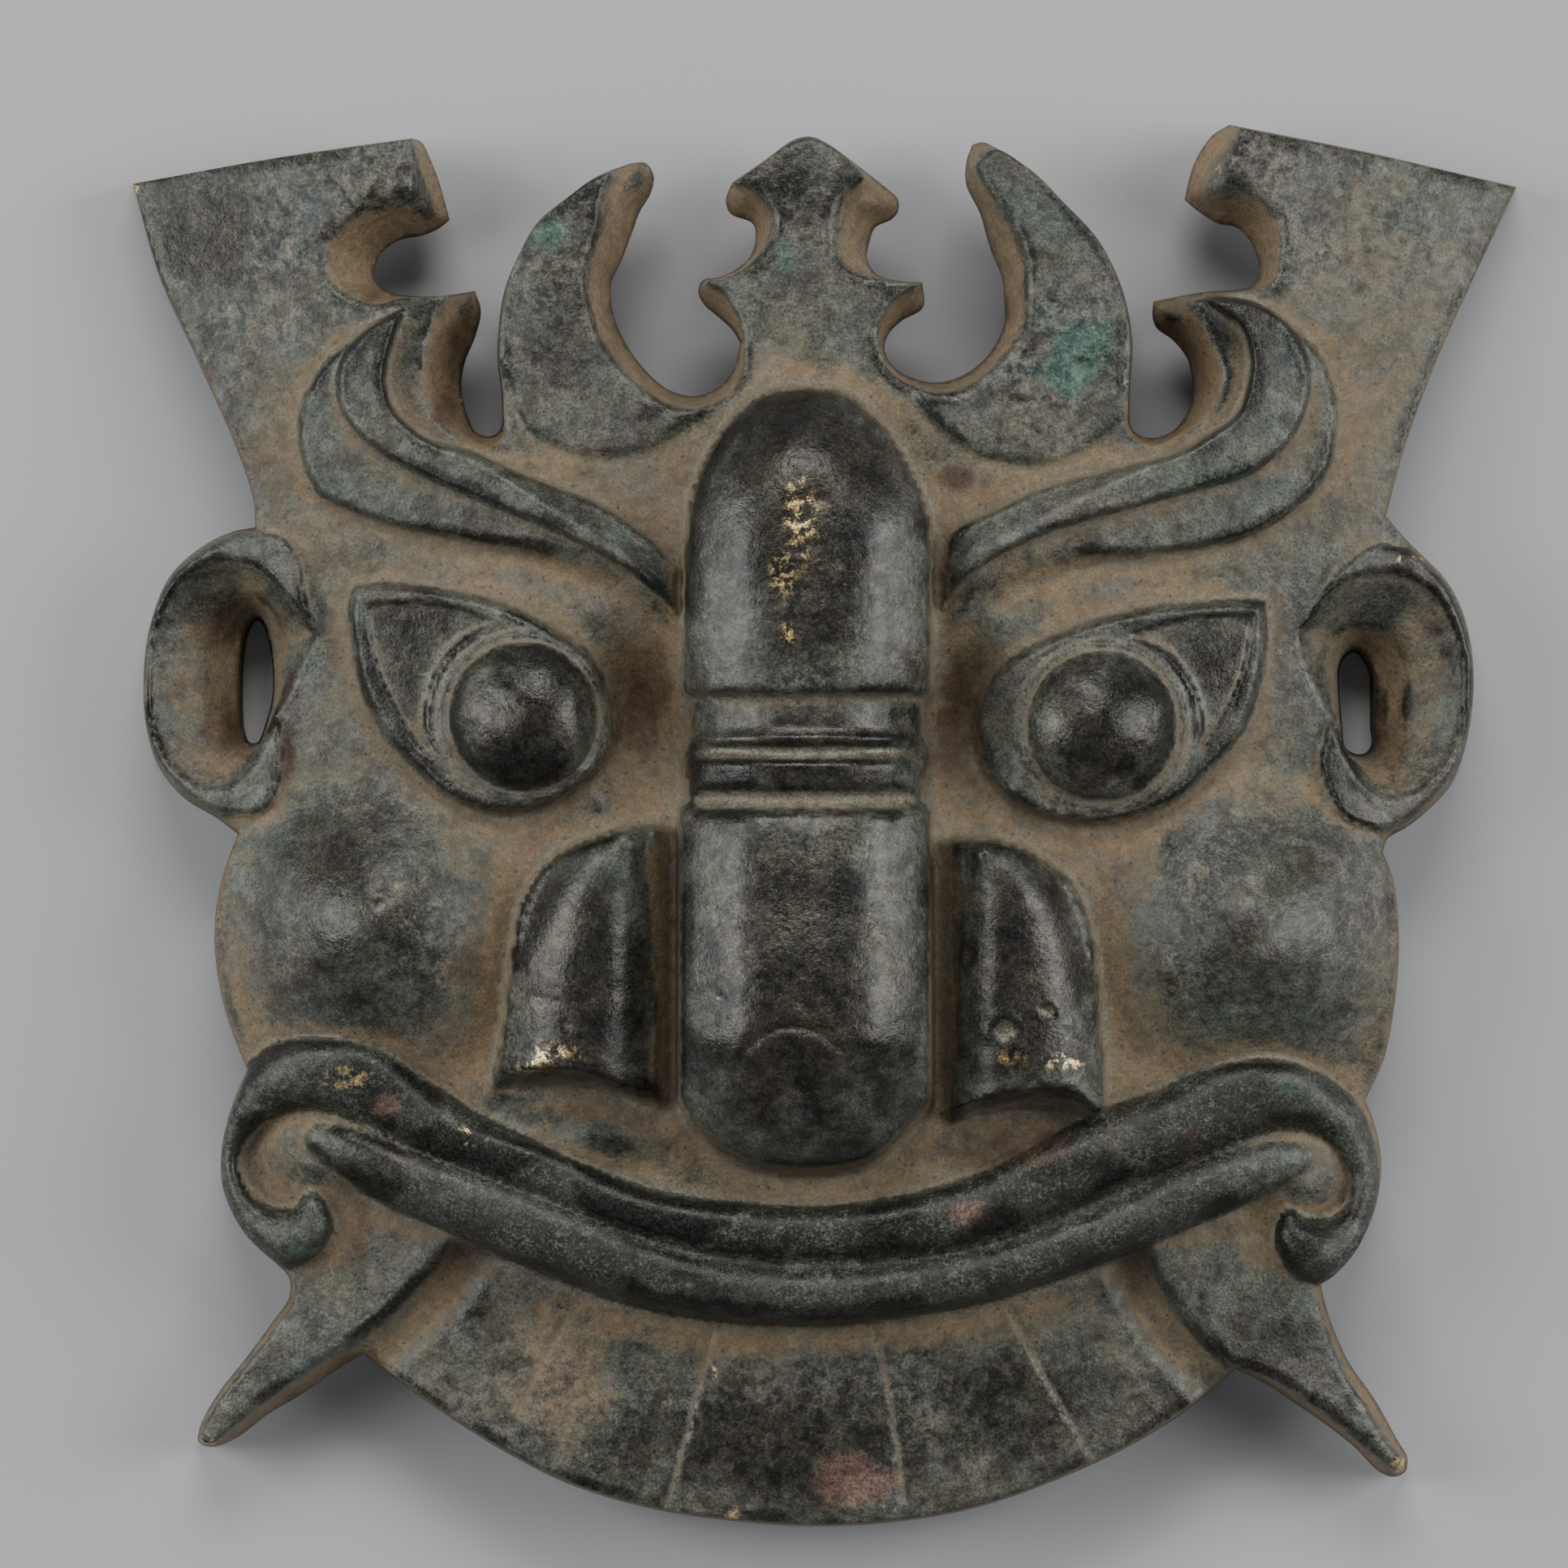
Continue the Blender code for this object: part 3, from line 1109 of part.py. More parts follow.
def back_mesh(foot, holes, hollow, origin, spots, shape):
    net = Net()
    net.add(foot, True)
    for hole in holes:
        net.add(hole, True)
    net.border_count = net.count
    fine_foot = chain(LINE_GAP, *FOOT_RUNS)
    fine_holes = [smooth_run(lower, LINE_GAP, closed=True) for lower, upper in SLOTS]
    for line in [fine_foot] + fine_holes:
        inward = 1 if signed_area(line) > 0 else -1
        if line is not fine_foot:
            inward = -inward
        for distance in (RIM_WIDTH, RIM_WIDTH + HOLLOW_SLOPE):
            moved, good = beside(line, inward * distance, True)
            x = moved[:, 0]
            y = moved[:, 1]
            edge = line_distance(x, y, fine_foot)
            for hole in fine_holes:
                edge = np.minimum(edge, line_distance(x, y, hole))
                good &= ~is_inside(x, y, hole)
            good &= (edge > distance * CLEAR_SHARE) & is_inside(x, y, fine_foot)
            for piece in pieces(moved, good, True):
                if len(piece) > 3:
                    net.add(thin_out(piece, BACK_SLACK, BACK_LONGEST), False)
    x = spots[:, 0]
    y = spots[:, 1]
    room = RIM_WIDTH + HOLLOW_SLOPE + EDGE_ROOM
    usable = is_inside(x, y, foot) & (line_distance(x, y, foot) > room)
    for hole in holes:
        usable &= ~is_inside(x, y, hole) & (line_distance(x, y, hole) > room)

    def height_of(points):
        return back_heights(points[:, 0], points[:, 1], foot, holes, hollow, origin)

    truth = height_of(spots)
    refine(net, foot, holes, spots, truth, usable, shape, origin, height_of, BACK_EVERY, BACK_TRIANGLES)
    points, tris, border = cut_chords(net, foot, holes)
    return points, height_of(points), tris, border


def build_mask():
    foot = thin_loop(chain(LINE_GAP, *FOOT_RUNS), EDGE_SLACK, LONGEST)
    top = thin_loop(chain(LINE_GAP, *TOP_RUNS), EDGE_SLACK, LONGEST)
    holes = []
    rims = []
    for lower, upper in SLOTS:
        holes.append(thin_loop(smooth_run(lower, LINE_GAP, closed=True), EDGE_SLACK, LONGEST))
        rims.append(thin_loop(smooth_run(upper, LINE_GAP, closed=True), EDGE_SLACK, LONGEST))
    origin = np.array((-HALF_SPAN - GRID_MARGIN, -HALF_TALL - GRID_MARGIN))
    shape = (int(2 * -origin[1] / SPOT_GAP) + 1, int(2 * -origin[0] / SPOT_GAP) + 1)
    gx = origin[0] + SPOT_GAP * np.arange(shape[1])
    gy = origin[1] + SPOT_GAP * np.arange(shape[0])
    mx, my = np.meshgrid(gx, gy)
    spots = np.column_stack((mx.ravel(), my.ravel()))
    spot_heights, metal = front(spots[:, 0], spots[:, 1], LINE_GAP)
    points, heights, tris, border = front_mesh(foot, top, holes, rims, spots, spot_heights, shape, origin)
    hollow = underside_grid(spot_heights, metal, shape)
    back_points, back_z, back_tris, back_border = back_mesh(foot, holes, hollow, origin, spots, shape)
    bm = bmesh.new()
    outer = np.vstack([foot] + holes)
    low = rim_height(outer[:, 0], outer[:, 1])
    shared = [bm.verts.new((float(p[0]) * MM, float(p[1]) * MM, float(z) * MM)) for p, z in zip(outer, low)]

    def corners(points, heights, border):
        out = []
        for p, z, k in zip(points, heights, border):
            spot = (float(p[0]) * MM, float(p[1]) * MM, float(z) * MM)
            out.append(shared[k] if k >= 0 else bm.verts.new(spot))
        return out

    face_verts = corners(points, heights, border)
    back_verts = corners(back_points, back_z, back_border)
    for a, b, c in tris:
        bm.faces.new((face_verts[a], face_verts[b], face_verts[c]))
    for a, b, c in back_tris:
        bm.faces.new((back_verts[c], back_verts[b], back_verts[a]))
    return bm


def bronze():
    material = bpy.data.materials.new("mask_bronze")
    material.use_nodes = True
    shader = material.node_tree.nodes["Principled BSDF"]
    shader.inputs["Base Color"].default_value = (0.085, 0.095, 0.075, 1.0)
    shader.inputs["Metallic"].default_value = 0.6
    shader.inputs["Roughness"].default_value = 0.5
    return material


def main():
    for old in list(bpy.data.objects):
        bpy.data.objects.remove(old, do_unlink=True)
    bm = build_mask()
    loose = [v for v in bm.verts if not v.link_faces]
    bmesh.ops.delete(bm, geom=loose, context="VERTS")
    mesh = bpy.data.meshes.new("mask")
    bm.to_mesh(mesh)
    bm.free()
    for polygon in mesh.polygons:
        polygon.use_smooth = True
    mesh.set_sharp_from_angle(angle=SHARP_ANGLE)
    mask = bpy.data.objects.new("mask", mesh)
    bpy.context.scene.collection.objects.link(mask)
    mesh.materials.append(bronze())


main()
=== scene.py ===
import bpy
import numpy as np
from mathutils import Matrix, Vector
from mathutils.geometry import delaunay_2d_cdt


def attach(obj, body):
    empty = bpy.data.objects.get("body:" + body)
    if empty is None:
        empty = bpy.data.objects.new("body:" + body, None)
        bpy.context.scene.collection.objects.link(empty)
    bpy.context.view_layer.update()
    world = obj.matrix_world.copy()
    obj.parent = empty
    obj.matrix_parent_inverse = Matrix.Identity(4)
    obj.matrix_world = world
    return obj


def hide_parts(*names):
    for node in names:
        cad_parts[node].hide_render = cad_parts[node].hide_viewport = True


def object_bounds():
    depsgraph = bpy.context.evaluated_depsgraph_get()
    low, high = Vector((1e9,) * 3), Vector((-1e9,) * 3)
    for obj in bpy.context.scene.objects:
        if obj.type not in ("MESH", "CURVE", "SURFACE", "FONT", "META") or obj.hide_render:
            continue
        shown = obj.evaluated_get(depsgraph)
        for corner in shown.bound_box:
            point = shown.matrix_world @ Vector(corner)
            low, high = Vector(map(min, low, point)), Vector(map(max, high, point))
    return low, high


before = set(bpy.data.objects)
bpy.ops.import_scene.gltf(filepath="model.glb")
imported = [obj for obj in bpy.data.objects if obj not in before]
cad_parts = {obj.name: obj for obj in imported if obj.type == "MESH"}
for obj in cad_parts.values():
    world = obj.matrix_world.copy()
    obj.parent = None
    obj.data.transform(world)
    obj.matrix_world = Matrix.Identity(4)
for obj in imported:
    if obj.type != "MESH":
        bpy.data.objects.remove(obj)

cad_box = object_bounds()

# One step of the drawing sheet in millimetres, and the sheet's middle point.
MASK_WIDTH = 220.0
SHEET_WIDTH = 1719.0
STEP = MASK_WIDTH / SHEET_WIDTH
SHEET_MIDDLE = 1016.5

# The plain bowed sheet: its top above the resting plane, its falls and its half sizes, in millimetres.
CROWN_HEIGHT = 31.0
SIDE_FALL = 17.0
TOP_FALL = 6.0
CHIN_FALL = 5.0
HALF_SPAN = 110.0
HALF_TALL = 112.0
# The dome's middle, from the middle of the whole outline.
DOME_ACROSS = -2.1
DOME_UP = 2.1
# The back edge lies RIM_DEPTH below the plain bowed sheet, and comes down further round the ears.
RIM_DEPTH = 12.0
EAR_MIDDLES = [(235, 840), (1760, 850)]
EAR_REACH = (190, 230)
EAR_LOWERING = 1.6
# Thickness of the cast wall.
WALL = 3.6
# Points further than REACH outside a line's box count as FAR away from it.
REACH = 16.0
FAR = 60.0

# Mesh settings, in millimetres.
MM = 0.001
LINE_GAP = 0.8
LINE_SLACK = 0.02
LONGEST = 0.9
EDGE_CLEARANCE = 0.3
MERGE = 1e-6
SPOT_GAP = 0.7
BACK_EVERY = 3
RIM_EVERY = 2
RIM_MARGIN = 1.0
LINE_ROOM = 0.36
ON_LINE = 0.02
CLEAR_SHARE = 0.97
CIRCLE_POINTS = 360
GRID_MARGIN = 2.0
OPEN_AIR = 999.0
RIM_WIDTH = 3.6
HOLLOW_SLOPE = 3.5
HOLLOW_BLUR = 1.2
HOLLOW_SOFTNESS = 4.0
THIN_WALL = 2.4

# Random unevenness: the side of the lattice of random numbers, and how soft the patches' edges are.
NOISE_SIDE = 257
CLOUD_CELL = 5.0
CLOUD_INNER = 0.30
CLOUD_OUTER = 1.40
# Heights, cell sizes and seeds of the waves in the skin, in the coarse places and in the hollow behind.
BROAD_WAVES = [(0.16, 11.0, 11), (0.09, 4.6, 12)]
SKIN_WAVES = [(0.055, 2.1, 13), (0.05, 1.05, 14)]
COARSE_WAVES = [(1.0, 2.4, 15), (0.2, 1.3, 16)]
COARSE_LEVEL = 0.15
COARSE_DEPTH = 0.38
BACK_WAVES = [(0.22, 9.0, 71), (0.12, 4.0, 72)]
BACK_STILL = 6.0
# How much smoother the polished places are.
POLISH_CALM = 0.65

# Casting pits, bubbles and dents: across, down, radius on the sheet, depth in millimetres.
# A bubble's depth is negative. Each has a low lip round it.
PITS = [
    (1171, 1224, 8, 0.5), (1289, 1245, 11, 0.9), (1236, 1268, 17, 0.7), (1212, 1272, 7, -0.35),
    (888, 1227, 6, 0.6), (362, 1454, 7, 0.9), (600, 1186, 8, 0.5), (1330, 455, 13, 0.45),
    (1712, 322, 13, 0.4), (1745, 292, 9, 0.4), (1660, 305, 9, 0.3), (690, 1296, 6, 0.5),
    (700, 1262, 8, 0.3), (667, 1240, 6, 0.35), (470, 1118, 9, 0.5), (1086, 1574, 5, -0.3),
    (500, 1180, 7, 0.4), (540, 1205, 6, 0.4), (1650, 1500, 6, 0.3), (985, 1236, 7, 0.35)]
PIT_LIP = 0.25
PIT_LIP_PLACE = 1.15
PIT_LIP_WIDTH = 0.35
# Scratches: line, depth and half width in millimetres.
SCRATCHES = [
    ([(908, 1325), (914, 1300), (926, 1284), (948, 1272), (980, 1266), (1010, 1274),
      (1036, 1294)], 0.38, 0.8),
    ([(470, 1165), (500, 1140), (545, 1110)], 0.35, 0.5),
    ([(420, 1060), (452, 1048), (480, 1040)], 0.2, 0.4),
    ([(626, 1216), (660, 1228), (700, 1236), (735, 1228), (766, 1212)], 0.25, 0.5),
    ([(1470, 1080), (1482, 1100), (1496, 1112)], -0.35, 0.6),
    ([(1340, 1060), (1360, 1100)], 0.15, 0.5),
    ([(930, 1640), (960, 1668), (986, 1672)], 0.15, 0.4),
    ([(560, 1640), (600, 1655), (640, 1646)], 0.12, 0.4)]

# Places with a finish of their own: across, down, half width, half height, strength.
# The cast surface is coarse.
COARSE_PLACES = [
    (1480, 1100, 95, 110, 1.0), (490, 1160, 110, 120, 0.7), (650, 900, 70, 70, 0.5),
    (1360, 900, 70, 70, 0.4), (800, 1560, 330, 60, 0.6), (1150, 1560, 300, 50, 0.5),
    (330, 420, 160, 200, 0.3), (1700, 320, 130, 110, 0.6), (690, 1290, 60, 50, 0.6),
    (480, 1360, 90, 40, 0.6), (1000, 640, 60, 120, 0.4)]
# Dark and rubbed smooth.
POLISHED = [
    (993, 930, 150, 75, 0.9), (993, 640, 150, 190, 1.0), (993, 1210, 165, 240, 1.0),
    (715, 1200, 90, 150, 1.0), (1262, 1215, 92, 160, 1.0), (646, 882, 96, 96, 1.0),
    (1357, 895, 96, 96, 1.0), (520, 800, 75, 90, 0.8), (1490, 830, 70, 85, 0.8),
    (440, 1110, 125, 130, 0.75), (1560, 1150, 120, 125, 0.55), (245, 290, 90, 80, 0.9),
    (600, 1400, 130, 60, 0.9), (800, 1500, 230, 60, 1.0), (1100, 1520, 260, 55, 0.9),
    (1400, 1440, 150, 60, 0.7), (500, 1460, 130, 40, 0.6), (750, 1560, 200, 50, 0.8),
    (1150, 1580, 300, 45, 0.8), (700, 400, 60, 130, 0.5), (1290, 400, 60, 130, 0.35),
    (993, 240, 60, 60, 0.5), (460, 220, 100, 40, 0.35), (960, 1780, 240, 90, 0.75),
    (1240, 1730, 110, 90, 0.7), (760, 1800, 90, 60, 0.5), (640, 1790, 80, 40, 0.3),
    (300, 1700, 70, 90, 0.35), (1560, 1650, 110, 90, 0.55), (450, 1330, 90, 40, 0.4),
    (1520, 1360, 120, 40, 0.45), (340, 1530, 55, 40, 0.4), (1640, 1530, 60, 50, 0.5),
    (1590, 1060, 70, 60, 0.4), (340, 1130, 70, 120, 0.35)]
# Earth has stayed.
EARTHY = [
    (370, 560, 120, 190, 0.55), (1680, 470, 140, 220, 0.75), (760, 590, 190, 60, 0.75),
    (1290, 620, 190, 60, 0.6), (1000, 450, 210, 60, 0.5), (640, 710, 190, 50, 0.7),
    (1330, 720, 190, 50, 0.7), (395, 760, 70, 160, 0.8), (1600, 820, 60, 170, 0.7),
    (790, 880, 60, 160, 0.9), (1190, 900, 60, 170, 0.9), (650, 1050, 150, 50, 0.9),
    (1300, 1050, 170, 45, 0.8), (590, 1220, 60, 170, 0.8), (1400, 1240, 60, 170, 0.7),
    (560, 1290, 110, 60, 0.6), (1180, 1440, 230, 50, 0.8), (760, 1410, 190, 50, 0.8),
    (980, 1470, 190, 28, 0.8), (330, 1410, 60, 80, 0.9), (1640, 1450, 55, 75, 0.8),
    (690, 1705, 80, 85, 1.0), (560, 1690, 110, 70, 0.45), (900, 1660, 110, 35, 0.6),
    (1220, 1630, 240, 34, 0.7), (1440, 1640, 90, 80, 0.7), (520, 1600, 70, 70, 0.8),
    (250, 850, 60, 130, 0.9), (1750, 850, 60, 130, 0.8), (420, 1490, 60, 60, 0.7),
    (1560, 1500, 50, 50, 0.7), (290, 1230, 50, 160, 0.6), (1700, 1290, 40, 130, 0.6),
    (545, 180, 50, 80, 0.4), (300, 1000, 50, 40, 0.5), (1460, 1120, 60, 60, 0.25),
    (522, 440, 22, 80, 0.9), (1500, 440, 20, 60, 0.4), (505, 1150, 60, 22, 0.35),
    (1475, 1180, 50, 70, 0.35), (1135, 1355, 24, 60, 0.9), (868, 1398, 34, 40, 0.7),
    (1640, 1440, 60, 70, 0.9), (355, 1415, 60, 60, 0.9), (840, 975, 20, 30, 0.8),
    (1545, 1530, 24, 50, 0.8), (700, 1410, 150, 44, 0.7), (760, 555, 60, 30, 0.6)]
# Deep hollows laid with rust brown as painted shade: the eyes' inner corners, the ears' bowls, under the
# nostrils and beside walls.
SHADE_AND_RUST_HOLLOWS = [
    (792, 870, 40, 105, 0.75), (1182, 890, 38, 105, 0.75), (760, 700, 50, 30, 0.4),
    (1180, 590, 28, 20, 0.9), (250, 760, 42, 44, 0.7), (268, 900, 30, 60, 0.6), (1690, 900, 30, 60, 0.6),
    (580, 1190, 34, 34, 0.6), (1440, 1200, 50, 70, 0.35), (545, 500, 20, 40, 0.7),
    (1390, 1400, 60, 40, 0.4), (1270, 1415, 120, 30, 0.7), (830, 1390, 70, 30, 0.5),
    (1460, 1420, 20, 40, 0.6), (445, 1520, 22, 55, 0.6), (1440, 480, 18, 60, 0.5),
    (760, 420, 22, 70, 0.5), (350, 920, 16, 50, 0.7)]
# Green stains.
VERDIGRIS = [
    (1320, 430, 62, 75, 0.9), (1300, 270, 40, 60, 0.45), (675, 285, 30, 36, 0.85),
    (960, 310, 26, 30, 0.75), (1500, 585, 90, 24, 0.55), (1240, 660, 90, 26, 0.4),
    (1610, 1340, 60, 24, 0.6), (370, 1540, 26, 22, 0.6), (1110, 620, 26, 90, 0.35),
    (880, 560, 40, 90, 0.3), (760, 1760, 60, 40, 0.35), (560, 1760, 70, 40, 0.3),
    (1700, 240, 60, 40, 0.3), (905, 905, 60, 24, 0.4), (855, 1210, 16, 120, 0.5),
    (1130, 950, 22, 60, 0.4)]
# Copper stains.
COPPERY = [
    (1050, 1825, 58, 44, 1.0), (1190, 1492, 34, 22, 0.9), (478, 1362, 34, 22, 0.9),
    (700, 1690, 30, 46, 0.45), (1098, 1716, 16, 12, 0.5), (655, 1052, 9, 9, 0.9),
    (876, 1390, 22, 20, 0.5), (1040, 910, 60, 14, 0.3), (1050, 975, 60, 16, 0.35)]
# Bright rubbed metal.
BRIGHT = [
    (985, 650, 22, 66, 0.85), (966, 706, 20, 30, 1.0), (970, 785, 9, 18, 1.0), (690, 1298, 36, 16, 1.0),
    (655, 1312, 18, 9, 0.9), (1312, 1306, 26, 14, 0.75), (1245, 1300, 20, 14, 0.6),
    (424, 1326, 34, 16, 0.8), (575, 1398, 26, 12, 0.9), (160, 226, 9, 14, 1.0), (252, 1778, 12, 12, 0.8),
    (1728, 1812, 12, 12, 0.9), (879, 1690, 6, 12, 0.9), (905, 1866, 22, 8, 0.9), (1092, 1862, 14, 8, 0.8),
    (1740, 690, 20, 8, 0.7), (640, 925, 40, 40, 0.14), (1372, 930, 30, 34, 0.14), (1500, 205, 14, 8, 0.5),
    (1000, 1560, 8, 8, 0.5)]
# The patina is scuffed and mottled dark and pinkish.
SCUFFS = [
    (330, 300, 90, 80, 0.7), (460, 220, 110, 60, 0.8), (330, 420, 120, 120, 0.4),
    (1660, 290, 140, 90, 0.6), (1560, 190, 70, 40, 0.7), (520, 1160, 60, 60, 0.7),
    (1480, 1140, 60, 100, 0.6), (650, 1300, 60, 60, 0.7), (1290, 1280, 60, 60, 0.6),
    (1000, 780, 60, 160, 0.6), (1000, 1150, 90, 200, 0.6), (690, 1740, 150, 70, 0.5),
    (1050, 1740, 300, 90, 0.6), (1300, 420, 70, 110, 0.7), (700, 330, 60, 90, 0.6),
    (990, 250, 70, 60, 0.5), (460, 1370, 110, 60, 0.8), (640, 900, 70, 70, 0.7), (1350, 900, 70, 70, 0.7),
    (1560, 1480, 90, 60, 0.4)]
# Matt and nearly black: dark crust on the cheeks and the wing's corner, and painted shade on walls turned
# from the light, in the wings' notches, at the horns' tips and under the nostrils.
SOOT_AND_SHADE_PLACES = [
    (238, 278, 84, 88, 1.0), (534, 236, 26, 46, 0.8), (792, 222, 26, 52, 0.8), (1208, 186, 18, 40, 0.6),
    (572, 376, 18, 26, 0.7), (1444, 396, 18, 20, 0.8), (386, 756, 16, 38, 0.8), (1604, 742, 16, 40, 0.7),
    (262, 742, 40, 22, 0.5), (1716, 742, 36, 22, 0.5), (1420, 118, 26, 30, 0.6), (1000, 160, 60, 16, 0.5),
    (1486, 1108, 64, 96, 0.85), (520, 1130, 54, 50, 0.7), (745, 1395, 20, 10, 0.6),
    (640, 1352, 46, 9, 0.7), (1100, 1730, 60, 70, 0.3), (1330, 1700, 40, 60, 0.35)]
# The lip's black has worn to grey green.
FADED = [
    (300, 1430, 40, 110, 0.8), (355, 1530, 60, 40, 0.7), (440, 1425, 90, 40, 0.6),
    (1690, 1440, 40, 90, 0.6), (1630, 1550, 50, 40, 0.4), (1580, 1350, 80, 40, 0.4),
    (620, 1480, 200, 22, 0.4), (1350, 1500, 200, 24, 0.35), (380, 1320, 60, 40, 0.5),
    (1000, 1590, 260, 16, 0.3), (1560, 1450, 70, 30, 0.5)]
# Bright golden earth.
GOLDEN_PLACES = [
    (250, 850, 62, 130, 1.0), (1750, 850, 62, 130, 1.0), (690, 1705, 84, 88, 1.0),
    (548, 430, 24, 90, 0.8), (700, 700, 130, 30, 0.6), (1300, 690, 120, 28, 0.6),
    (1700, 470, 90, 150, 0.35), (620, 1230, 24, 130, 0.7)]
# Black stretches of the lip.
BLACKENED = [
    (590, 1418, 130, 34, 0.8), (790, 1490, 130, 24, 0.7), (1330, 1436, 110, 26, 0.4),
    (470, 1350, 60, 26, 0.4)]
# Fine pale lines on the nose's tip, which are painted highlights along its step and edges, and golden
# strips down both its sides.
HIGHLIGHT_LINES = [
    [(944, 1268), (975, 1261), (1010, 1267)], [(918, 1296), (926, 1282), (936, 1274)],
    [(1026, 1276), (1042, 1290)]]
STRIPS = [
    [(818, 1040), (820, 1200), (822, 1352)], [(1159, 1062), (1157, 1200), (1150, 1376)]]
# Each kind of place with the raggedness of its edges and its seed.
STAINS = dict(
    polish=(POLISHED, 0.25, 31), earthy=(EARTHY, 0.35, 33), scuff=(SCUFFS, 0.6, 34),
    soot_and_shade=(SOOT_AND_SHADE_PLACES, 0.35, 35), faded=(FADED, 0.3, 36), golden=(GOLDEN_PLACES, 0.5, 37),
    black=(BLACKENED, 0.5, 38), rust_and_shade=(SHADE_AND_RUST_HOLLOWS, 0.4, 61), verdigris=(VERDIGRIS, 0.5, 62),
    copper=(COPPERY, 0.35, 63), bright=(BRIGHT, 0.3, 64))
COARSE_STAIN = (COARSE_PLACES, 0.3, 21)

# Widths over which the front is blurred to find hollows and ridges, in millimetres, and for each width
# its share in a hollow's strength and the depth at which that is full.
BLURS = (0.9, 2.2, 5.5)
RECESS_SHARES = ((0.30, 0.35), (0.45, 0.9), (0.55, 2.0))
# Cell sizes and seeds of the noises that break up the finish.
GRAIN_NOISE = (6.5, 51)
FINE_NOISE = (1.7, 52)
WORN_NOISE = (9.0, 53)
HIGHLIGHT_NOISE = (2.0, 39)
# How much of the wall's finish lies on the edge itself.
WALL_ON_LINE = 0.6
# Half widths of the pale tooth lines, the strips and the painted highlight lines on the nose's tip, in
# millimetres, and how strong the painted highlights are.
TOOTH_BAND = 1.2
STRIP_BAND = 2.0
HIGHLIGHT_WIDTH = 0.7
HIGHLIGHT_STRENGTH = 0.4
# Where the black of a lip ends and how wide the painted shade is along the line where the lips meet, in
# half widths of a roll, and how plainly a scroll's floor shows.
LIP_REACH = 1.15
LIP_SOFTNESS = 0.25
SEAM_SHADE_WIDTH = 0.22
FLOOR_SHOW = 3.2
# How soft the edges of an eye's ring are, in steps.
RING_SOFTNESS = 4
# The hollow behind: how much earth, how far that swings, pale dust and ochre, and the noises of the
# earth, the rust and the green.
BACK_EARTH = 0.55
BACK_EARTH_SWING = 0.25
BACK_PALE = 0.25
BACK_OCHRE = 0.3
BACK_EARTH_NOISE = (8.0, 73)
BACK_RUST_NOISE = (14.0, 74)
BACK_GREEN_NOISE = (12.0, 75)

# Linear colours of the finish.
BLACK_BRONZE = (0.010, 0.009, 0.009)
BROWN_BRONZE = (0.040, 0.034, 0.026)
GREY_PATINA = (0.094, 0.089, 0.072)
GREEN_PATINA = (0.078, 0.087, 0.066)
BLUE_PATINA = (0.052, 0.062, 0.058)
PINK_SCUFF = (0.128, 0.107, 0.080)
OCHRE_EARTH = (0.136, 0.108, 0.066)
PALE_EARTH = (0.138, 0.124, 0.092)
DARK_EARTH = (0.068, 0.052, 0.031)
GOLDEN_EARTH = (0.210, 0.142, 0.074)
# Rust brown: rust in the hollow behind, and painted shade in the front's deep hollows and on its walls.
RUST_AND_SHADE_BROWN = (0.055, 0.029, 0.016)
TURQUOISE = (0.050, 0.130, 0.100)
COPPER = (0.175, 0.100, 0.080)
GOLD = (0.60, 0.44, 0.22)
LIP_BLACK = (0.020, 0.022, 0.018)
LIP_GREEN = (0.072, 0.077, 0.060)
# Noises of the finish, from large to fine, then blots and mottling: size in millimetres, detail, roughness
# and distortion.
FINISH_NOISES = [
    (16.0, 3.0, 0.55), (7.0, 4.0, 0.6, 0.3), (2.6, 5.0, 0.65), (0.9, 4.0, 0.7), (0.42, 2.0, 0.6),
    (5.6, 6.0, 0.68, 0.5), (1.9, 4.0, 0.72, 0.4)]
# Distances between pin pricks, and strength and depth of each bump, in millimetres.
DARK_PIN_GAP = 1.9
LIGHT_PIN_GAP = 2.6
BUMPS = ((0.6, 0.35), (0.6, 0.16), (0.5, 0.07))
BRONZE_SPECULAR = 0.45

# How the finished surface keeps off its borders, in millimetres, and the highest point of the cast form.
EDGE_STILL = 2.0
EDGE_ROUND = 0.35
EDGE_ROUND_WIDTH = 1.3
# Nicks along the edge: depth, how rare they are, how far in they reach, cell size and seed.
EDGE_NICKS = 0.9
NICK_LEVEL = 0.35
NICK_WIDTH = 1.6
NICK_NOISE = (3.4, 41)
HIGHEST = cad_box[1].z / MM - 0.02

# Studio, camera and floor, in metres.
SENSOR = 36.0
CAMERA_X = -0.00646
CAMERA_Y = 0.00646
CAMERA_HEIGHT = 3.0
FACE_PLANE = 0.025
VIEW_SIDE = 0.24726
CLIP_END = 20.0
FLOOR_HALF = 4.0
FLOOR_DARK = (0.40, 0.40, 0.41)
FLOOR_LIGHT = (0.45, 0.45, 0.46)
FLOOR_NOISE = (220.0, 2.0, 0.5)
FLOOR_ROUGHNESS = 0.75
FLOOR_SPECULAR = 0.2
WORLD_COLOUR = (0.94, 0.97, 1.0)
WORLD_STRENGTH = 0.20
# Lights: name, place, size and colour.
LIGHTS = [
    ("left box", (-1.15, 0.20, 0.78), (0.7, 1.1), (0.97, 0.99, 1.0)),
    ("right box", (1.15, 0.20, 0.78), (0.7, 1.1), (0.97, 0.99, 1.0)),
    ("top box", (0.0, 1.15, 1.20), (0.9, 0.5), (1.0, 0.99, 0.97))]
LIGHT_POWER = 15.0
LIGHT_AIM = (0.0, 0.0, 0.02)


def sheet(points):
    """Turns sheet points (across, down) into millimetres (x to the right, y up)."""
    p = np.asarray(points, float)
    return np.column_stack(((p[:, 0] - SHEET_MIDDLE) * STEP, (SHEET_MIDDLE - p[:, 1]) * STEP))


